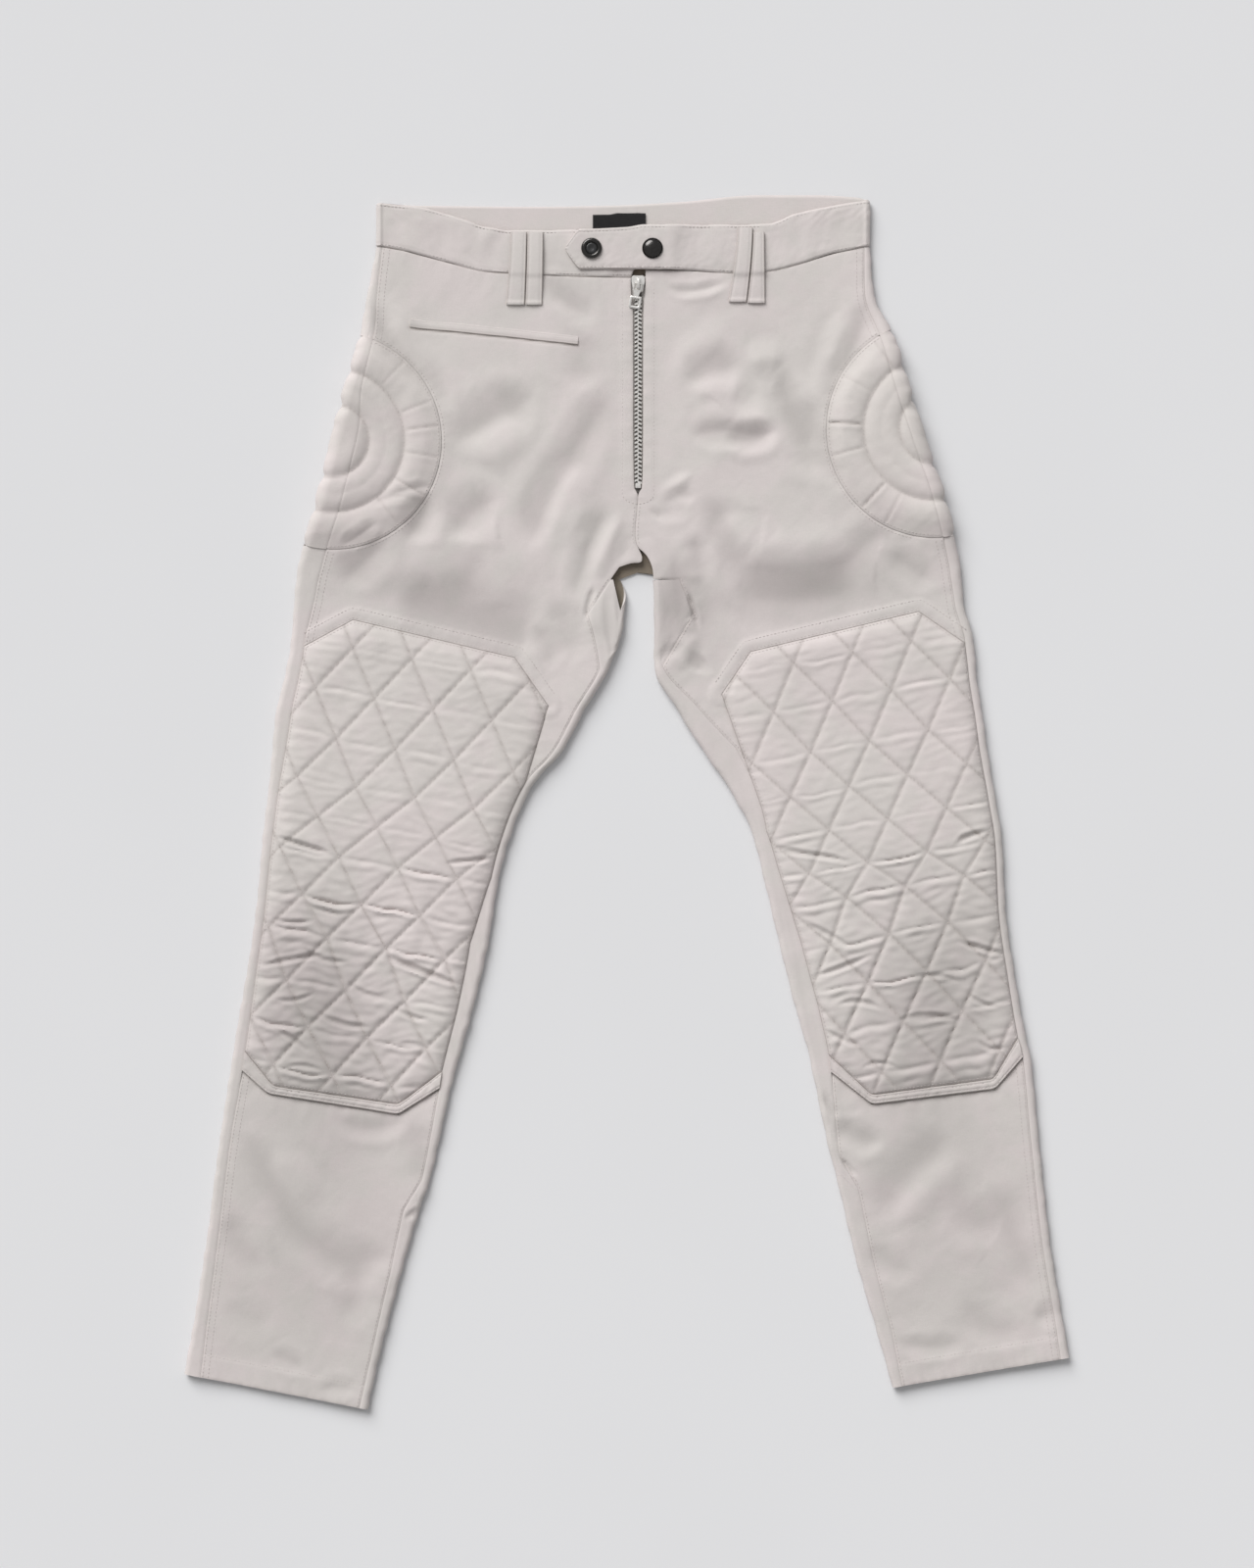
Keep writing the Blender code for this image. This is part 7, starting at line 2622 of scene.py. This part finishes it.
@dataclass(frozen=True)
class Cloth:
    """A woven finish: two tints that drift together, painted shade in the seams, dirt specks,
    weave, crumples.
    """

    name: str
    tint: tuple
    other: tuple
    grime: tuple
    amount: float = 0.55
    specks: float = 0.12
    threads: float = 1500.0
    weave: float = 0.00007
    crumple: float = 0.00018
    roughness: float = 0.88
    sheen: float = 0.12
    fading: float = 1.0

    def build(self, groups: Groups) -> bpy.types.Material:
        """The material, on the piece's own cloth map and Object coordinates."""
        made, g, shader = new_material(self.name)
        body = g.node("ShaderNodeTexCoord").outputs["Object"]
        thread = g.node("ShaderNodeUVMap", uv_map="cloth").outputs[0]
        wash = placed(
            g, groups.wash, Where=body, Tint=(*self.tint, 1), Other_Tint=(*self.other, 1),
            Fading=self.fading
        )
        # Painted shade: the broad shade attribute darkens the washed colour towards the shade
        # colour.
        tone = g.node("ShaderNodeAttribute", attribute_name="tone").outputs["Fac"]
        greyed = g.mix(
            tone, wash.outputs["Color"], g.mix(1.0, wash.outputs["Color"], SHADE_COLOUR, "MULTIPLY")
        )
        darkened = placed(g, groups.grime, Where=body, Color=greyed, Grime=(*self.grime, 1),
                      Amount=self.amount, Specks=self.specks)
        woven = placed(g, groups.weave, Where=thread, Threads=self.threads)
        slub = g.mix(g.math("MULTIPLY", woven.outputs["Slub"], 0.35), darkened.outputs["Color"],
                     g.mix(1.0, darkened.outputs["Color"], (0.93, 0.93, 0.93, 1.0), "MULTIPLY"))
        g.feed(shader.inputs["Base Color"], slub)
        rough = g.math(
            "ADD", self.roughness - 0.04, g.math("MULTIPLY", woven.outputs["Slub"], 0.08)
        )
        g.feed(shader.inputs["Roughness"], rough)
        shader.inputs["Sheen Weight"].default_value = self.sheen
        shader.inputs["Sheen Roughness"].default_value = 0.45
        shader.inputs["Specular IOR Level"].default_value = 0.25
        crumple = g.math(
            "ADD", g.noise(body, 85.0, 4.0, 0.55, 0.4),
            g.math("MULTIPLY", g.noise(body, 260.0, 3.0), 0.3)
        )
        soft = g.bump(crumple, self.crumple)
        g.feed(shader.inputs["Normal"], g.bump(woven.outputs["Height"], self.weave, normal=soft))
        return made


@dataclass(frozen=True)
class Metal:
    """A plated finish with hairlines, smears and dark pits."""

    name: str
    colour: tuple
    tarnish: tuple
    roughness: float = 0.28
    relief: float = 0.00003
    metallic: float = 1.0
    coat: float = 0.0

    def build(self, groups: Groups) -> bpy.types.Material:
        """The material, on Object coordinates."""
        made, g, shader = new_material(self.name)
        body = g.node("ShaderNodeTexCoord").outputs["Object"]
        marked = placed(
            g, groups.wear, Where=body, Color=(*self.colour, 1), Tarnish=(*self.tarnish, 1),
            Roughness=self.roughness
        )
        g.feed(shader.inputs["Base Color"], marked.outputs["Color"])
        g.feed(shader.inputs["Roughness"], marked.outputs["Roughness"])
        g.feed(shader.inputs["Normal"], g.bump(marked.outputs["Height"], self.relief))
        shader.inputs["Metallic"].default_value = self.metallic
        shader.inputs["Coat Weight"].default_value = self.coat
        return made


@dataclass(frozen=True)
class ThreadFinish:
    """Sewing thread: the ply shows as fine bands, and the tint drifts with the cloth's."""

    name: str
    tint: tuple
    dark: tuple

    def build(self, groups: Groups) -> bpy.types.Material:
        """The material, on Object coordinates."""
        made, g, shader = new_material(self.name)
        body = g.node("ShaderNodeTexCoord").outputs["Object"]
        ply = g.noise(g.mapping(body, (1.0, 1.0, 1.0), 0.8), 2600.0, 1.0)
        drift = g.noise(body, 60.0, 3.0)
        share = g.math(
            "MULTIPLY", g.math("ADD", g.spread(ply, 0.4, 0.6), g.spread(drift, 0.4, 0.7)), 0.5
        )
        g.feed(shader.inputs["Base Color"], g.mix(share, (*self.tint, 1), (*self.dark, 1)))
        g.feed(shader.inputs["Normal"], g.bump(ply, 0.00006))
        shader.inputs["Roughness"].default_value = 0.6
        shader.inputs["Specular IOR Level"].default_value = 0.35
        return made


# The colour that the painted broad shade darkens the cloth towards.
SHADE_COLOUR = (0.12, 0.11, 0.105, 1.0)
# Each cloth's third colour is its darkening colour: painted shade in grooves, seams and gaps, and
# fine dirt specks, darken the cloth towards it.
COTTON = Cloth(
    "cotton", (0.650, 0.593, 0.580), (0.636, 0.598, 0.574), (0.40, 0.35, 0.32), amount=0.35,
    fading=0.3
)
PADDED = Cloth(
    "padded_cotton", (0.650, 0.590, 0.576), (0.636, 0.596, 0.570), (0.30, 0.265, 0.245),
    amount=0.75, fading=0.35
)
# Painted shade: the faces behind the panels are the cotton drawn dark brown, to stand for the shade
# inside the trousers.
SHADED_INSIDE = Cloth(
    "lining", (0.30, 0.245, 0.195), (0.26, 0.225, 0.175), (0.08, 0.06, 0.045), sheen=0.05,
    weave=0.00012
)
# The tape's darkening colour is painted shade under the teeth, and the colour of its dirt specks.
TAPE = Cloth(
    "zip_tape", (0.56, 0.53, 0.51), (0.50, 0.475, 0.455), (0.05, 0.045, 0.04), amount=0.9,
    threads=900.0, weave=0.0002, crumple=0.0001
)
LABEL = Cloth(
    "label_tape", (0.010, 0.010, 0.011), (0.014, 0.013, 0.014), (0.004, 0.004, 0.004),
    threads=1900.0, roughness=0.7, sheen=0.0, crumple=0.0003, specks=0.0
)
NICKEL = Metal("nickel", (0.93, 0.91, 0.88), (0.30, 0.28, 0.26), roughness=0.34, metallic=0.7)
GUNMETAL = Metal("gunmetal", (0.075, 0.072, 0.07), (0.02, 0.019, 0.018), roughness=0.2)
ENAMEL = Metal(
    "black_enamel", (0.012, 0.012, 0.013), (0.03, 0.028, 0.026), roughness=0.35, metallic=0.0,
    coat=0.4
)
SEWN = ThreadFinish("sewing_thread", (0.64, 0.59, 0.575), (0.55, 0.50, 0.485))


# ---------------------------------------------------------------- the whole


@dataclass
class Half:
    """One half of the trousers: its panels and every row of stitches on them."""

    leg: Leg

    def __post_init__(self) -> None:
        """Makes the classes of the half's pieces."""
        self.front, self.knee, self.hip, self.shin = (
            kind(self.leg) for kind in (Front, Knee, Hip, Shin)
        )
        self.back, self.inner, self.hip_back = Back(self.leg), InnerLeg(self.leg), HipBack(self.leg)
        self.band, self.binding = Waistband(self.leg), Binding(self.leg)

    def panels(self) -> list:
        """The classes in the order that they are built and reported."""
        return [
            self.back, self.front, self.inner, self.hip, self.hip_back, self.knee, self.binding,
            self.shin, self.band
        ]

    def sew(self) -> bpy.types.Object:
        """Every row of stitches on this half."""
        sewing = Stitching(f"stitching_{self.leg.name}")
        for part in (
            self.sew_band, self.sew_front, self.sew_knee, self.sew_hip, self.sew_shin, self.sew_back
        ):
            part(sewing)
        return sewing.build()

    def sew_band(self, sewing: Stitching) -> None:
        """One row along each edge of the waistband and two on the knee's binding."""
        for part, row, lift in ((self.band, BAND_ROW, 0.1), (self.binding, BINDING_ROW, 0.0)):
            strip = part.strip()
            for share in (row / strip.width, 1 - row / strip.width):
                sewing.along(strip.on_face(share, lift), strip.face)

    def sew_front(self, sewing: Stitching) -> None:
        """The side seam's two rows, the fly's J, the centre seam and the knee's felled seam."""
        leg, top = self.leg, self.front.top
        above, _, below = leg.side_seam_ends()
        for line in (above, below):
            for away in SEAM_ROWS:
                sewing.on(Line(line).offset(away * leg.inward), top)
        inseam = Line(leg.seam(CROTCH, KNEE_IN, inseam=True))
        sewing.on(inseam.offset(-1.9 * leg.inward), top)
        fly = ZIP_X - leg.inward * FLY_ROW
        turn = np.linspace(0.0, math.pi / 2, 12)
        foot = np.stack(
            [ZIP_X - leg.inward * FLY_ROW * np.cos(turn), FLY_TURN_Y - 9.0 * np.sin(turn)], axis=1
        )
        sewing.on(np.concatenate([[(fly, 443.0)], foot]), top)
        centre = rounded(leg.zip_edge)
        low, high = CENTRE_ROW_Y
        centre = centre[(centre[:, 1] < high) & (centre[:, 1] > low)]
        sewing.on(centre - np.array((CENTRE_ROW * leg.inward, 0.0)), top)
        knee, *_ = leg.knee_lines()
        for away in KNEE_ROWS:
            sewing.on(Line(knee).offset(away * leg.inward)[1:-1], top)
        turn = np.radians(np.linspace(-78.0, 78.0, 90))
        ring = (
            np.array(leg.hip)
            + (HIP_RINGS[-1] + 2.4) * np.stack([leg.inward * np.cos(turn), np.sin(turn)], axis=1)
        )
        for part in clipped(ring, self.front.inset_outline(), 1.0):
            sewing.on(part, top)

    def sew_knee(self, sewing: Stitching) -> None:
        """The quilting's crossing lines and the row round the knee panel's edge."""
        top, outline = self.knee.top, self.knee.inset_outline()
        for line in Quilt(self.leg).seams():
            for part in clipped(line, outline, 2.4):
                sewing.on(part, top)
        closed = Line(outline, 2.5, closed=True)
        sewing.on(closed.offset(-2.0 * self.leg.inward), top)

    def sew_hip(self, sewing: Stitching) -> None:
        """The hip's rings in front of the side seam, and the row along its edges."""
        outline = self.hip.inset_outline()
        for radius in HIP_RINGS[:-1]:
            for part in clipped(self.leg.ring(radius), outline, 1.2):
                sewing.on(part, self.hip.top)
        for part in clipped(self.leg.ring(HIP_RINGS[-1] - 2.2), outline, 1.0):
            sewing.on(part, self.hip.top)

    def sew_shin(self, sewing: Stitching) -> None:
        """The shin's side seam, inseam and hem."""
        leg, top = self.leg, self.shin.top
        outer, inner = leg.seam(BAND_FOOT, HEM), leg.seam(BAND_FOOT, HEM, inseam=True)
        for away in SEAM_ROWS:
            sewing.on(Line(outer).offset(away * leg.inward)[1:], top)
        sewing.on(Line(inner).offset(-1.9 * leg.inward)[1:], top)
        start, end = outer[-1], inner[-1]
        along = (end - start) / np.linalg.norm(end - start)
        up = np.array((-along[1], along[0])) * leg.inward
        sewing.on(
            np.array([start + up * HEM_ROW + along * 1.5, end + up * HEM_ROW - along * 1.5]), top
        )

    def sew_back(self, sewing: Stitching) -> None:
        """The hem's row round the back, and the rows beside the centre seam behind."""
        back = self.back
        columns = Columns.of(
            (
                Zone.INNER_FOLD, np.linspace(0.3, 1, 12), 0.0
            ), (Zone.NEAR, np.linspace(0, 1, 7)[1:-1], 0.0),
            (Zone.UNDER, np.linspace(0, 1, 60)[:-1], 0.0), (
                Zone.OUTER_FOLD, np.linspace(1, 0.3, 12), 0.0
            ),
        )
        row = self.leg.row(np.array([HEM - 1.0, float(HEM)]))
        fall = np.hypot(np.diff(row["out_x"]), np.diff(row["out_y"]))[0]
        line = back.points(np.array([[HEM - HEM_ROW / fall]]), columns)[0]
        step = np.gradient(line, axis=0)
        face = np.cross(step, (0.0, 1.0, 0.0)) * -self.leg.inward
        face /= np.linalg.norm(face, axis=1)[:, None]
        sewing.along(line, face * np.sign((face[:, 2] * (line[:, 2] - 4.0)).sum()))

    def build(self) -> dict[str, bpy.types.Object]:
        """Every panel and the stitches."""
        made = [part.build() for part in self.panels()]
        return {piece.name: piece for piece in [*made, self.sew()]}


@dataclass
class Cut:
    """What a sheet was cut to before it was sewn: its width, length and area, in metres."""

    width: float
    length: float
    area: float

    @classmethod
    def of(cls, piece: bpy.types.Object, allowance: float = 0.008) -> "Cut":
        """The cut behind a wall of cloth: half of its skin, with seam allowances up to a cap.

        Args:
            piece: the wall, whose map "cloth" is in metres.
            allowance: the seam allowance on every side.

        Returns:
            The cut, worked out from the finished mesh and so not a test of its size.
        """
        area = sum(polygon.area for polygon in piece.data.polygons) / 2
        laid = np.empty(len(piece.data.loops) * 2, np.float32)
        piece.data.uv_layers["cloth"].data.foreach_get("uv", laid)
        laid = laid.reshape(-1, 2)
        width, length = (laid.max(axis=0) - laid.min(axis=0)).tolist()
        area = min(area + 2 * (width + length) * allowance, ALLOWANCE_CAP * area)
        width, length = width + 2 * allowance, length + 2 * allowance
        return cls(width, length, min(area, width * length))


@dataclass
class Trousers:
    """The whole pair: both halves, loops, welt, label, zip and snaps, each put on its body."""

    finishes: dict[str, bpy.types.Material] = field(default_factory=dict)

    def paint(self) -> None:
        """Builds the finishes."""
        groups = Groups()
        for finish in (COTTON, PADDED, SHADED_INSIDE, TAPE, LABEL, NICKEL, GUNMETAL, ENAMEL, SEWN):
            self.finishes[finish.name] = finish.build(groups)

    def dress(
        self, piece: bpy.types.Object, slot: str, finish: str, body: str = BODY,
        node: str | None = ""
    ) -> None:
        """Gives a piece its finish and its body, and hides the solid that it stands for."""
        piece.data.materials.append(self.finishes[finish])
        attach(piece, body)
        if node is not None:
            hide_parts(node or piece.name.removesuffix(MADE))
        LOG.info("%s rides on %s in %s", piece.name, body, finish)

    def line(self, piece: bpy.types.Object) -> None:
        """Gives the faces behind a panel, the second half of its triangles, the finish of painted
        inside shade.
        """
        piece.data.materials.append(self.finishes["lining"])
        sizes = np.empty(len(piece.data.polygons), np.int32)
        piece.data.polygons.foreach_get("loop_total", sizes)
        triangles = int((sizes == 3).sum())
        index = np.zeros(len(sizes), np.int32)
        index[triangles // 2:triangles] = 1
        piece.data.polygons.foreach_set("material_index", index)

    def spread(self, piece: bpy.types.Object, rests_on: Sequence[str]) -> None:
        """Works out the cut that a sheet of cloth was sewn from, and does nothing more with it."""
        cut = Cut.of(piece)
        list(rests_on)

    def build(self) -> None:
        """Builds and dresses every piece, and works out the cuts of the sheets of cloth."""
        self.paint()
        for leg in LEGS:
            made = Half(leg).build()
            side = leg.name
            for name, piece in made.items():
                padded = name.startswith(("knee", "hip"))
                if name.startswith("stitching"):
                    self.dress(piece, "cotton", "sewing_thread", node=None)
                    continue
                slot = "padded_cotton" if padded else "cotton"
                self.dress(piece, slot, slot)
                if padded:
                    continue
                if not name.startswith("waistband"):
                    self.line(piece)
                on_floor = name.startswith(("back", "inner"))
                self.spread(piece, ("floor",) if on_floor else (f"back_{side}",))
        for name, (leg, *sizes) in LOOPS.items():
            piece = BeltLoop(name, leg, tuple(sizes[:3]), tuple(sizes[3:])).build()
            self.dress(piece, "cotton", "cotton")
            self.spread(piece, (f"waistband_{leg.name}", f"front_{leg.name}"))
        for kind, slot, rests_on in (
            (Welt, "cotton", ("front_right",)),
            (Label, "label_tape", ("waistband_right", "waistband_left")),
            (ZipTape, "zip_tape", ("front_right", "front_left")),
        ):
            piece = kind().build()
            self.dress(piece, slot, slot)
            self.spread(piece, rests_on)
        metal = Zip()
        for piece in (metal.teeth(), metal.stop(), metal.slider()):
            self.dress(piece, "zip_metal", "nickel")
        self.dress(metal.pull_tab(), "zip_metal", "nickel", TAB_BODY)
        snaps = Snaps()
        self.dress(snaps.ring(), "snap_metal", "gunmetal")
        self.dress(snaps.dome(), "snap_metal", "gunmetal")
        self.dress(snaps.eye(), "snap_metal", "black_enamel", node=None)


@dataclass
class Studio:
    """The plain pale floor, the soft light from the upper left, and the camera straight above."""

    floor_level: float = -0.0003
    grey: tuple = (0.735, 0.735, 0.745)
    sun: float = 3.2
    sky: float = 0.41
    softness: float = 42.0
    elevation: float = 36.0
    bearing: float = 121.0
    distance: float = 3.142
    centre: tuple = (0.0, 0.0158)
    lens: float = 85.0
    sensor: float = 36.0
    clip: tuple = (0.1, 30.0)
    floor_half: float = 6.0

    def lay_floor(self) -> None:
        """A wide flat sheet just under the cloth."""
        size = self.floor_half
        corners = np.array([(-size, -size), (size, -size), (size, size), (-size, size)]) / MM
        points = np.column_stack([corners, np.full(4, self.floor_level / MM)])
        floor = link("floor", mesh_from("floor", points, [np.array([(0, 1, 2, 3)])], False))
        made, g, shader = new_material("studio_floor")
        body = g.node("ShaderNodeTexCoord").outputs["Object"]
        grain = g.spread(g.noise(body, 3.0, 2.0), 0.3, 0.7)
        g.feed(
            shader.inputs["Base Color"],
            g.mix(grain, (*self.grey, 1), tuple(c * 0.99 for c in self.grey) + (1,))
        )
        shader.inputs["Roughness"].default_value = 0.9
        shader.inputs["Specular IOR Level"].default_value = 0.1
        floor.data.materials.append(made)

    def light(self) -> None:
        """A large soft sun from the upper left and an even sky, a little brighter overhead."""
        lamp = bpy.data.lights.new("sun", "SUN")
        lamp.energy, lamp.angle = self.sun, math.radians(self.softness)
        sun = bpy.data.objects.new("sun", lamp)
        bpy.context.scene.collection.objects.link(sun)
        turn, rise = math.radians(self.bearing), math.radians(self.elevation)
        toward = Vector(
            (math.cos(turn) * math.cos(rise), math.sin(turn) * math.cos(rise), math.sin(rise))
        )
        sun.rotation_euler = toward.to_track_quat("Z", "Y").to_euler()
        world = bpy.data.worlds.new("studio")
        world.use_nodes = True
        world.node_tree.nodes.clear()
        g = Graph(world.node_tree)
        glow, output = g.node("ShaderNodeBackground"), g.node("ShaderNodeOutputWorld")
        where = g.node("ShaderNodeTexCoord").outputs["Generated"]
        split = g.node("ShaderNodeSeparateXYZ")
        g.feed(split.inputs[0], where)
        share = g.spread(split.outputs[2], -0.2, 1.0)
        g.feed(glow.inputs["Color"], g.mix(share, (0.80, 0.80, 0.82, 1.0), (1.0, 1.0, 1.0, 1.0)))
        glow.inputs["Strength"].default_value = self.sky
        g.feed(output.inputs["Surface"], glow.outputs[0])
        bpy.context.scene.world = world

    def aim(self) -> None:
        """The camera straight above, its frame's top towards the waist."""
        lens = bpy.data.cameras.new("camera")
        lens.lens, lens.sensor_width = self.lens, self.sensor
        lens.clip_start, lens.clip_end = self.clip
        camera = bpy.data.objects.new("camera", lens)
        bpy.context.scene.collection.objects.link(camera)
        camera.location = (*self.centre, self.distance)
        bpy.context.scene.camera = camera

    def build(self) -> None:
        """Floor, light, camera and a plain view transform."""
        self.lay_floor()
        self.light()
        self.aim()
        bpy.context.scene.view_settings.view_transform = "Standard"


def main() -> None:
    """Builds the trousers and the studio in order."""
    logging.basicConfig(level=logging.INFO, format="%(name)s: %(message)s")
    Studio().build()
    Trousers().build()
    bpy.context.view_layer.update()


if __name__ == "__main__":
    main()
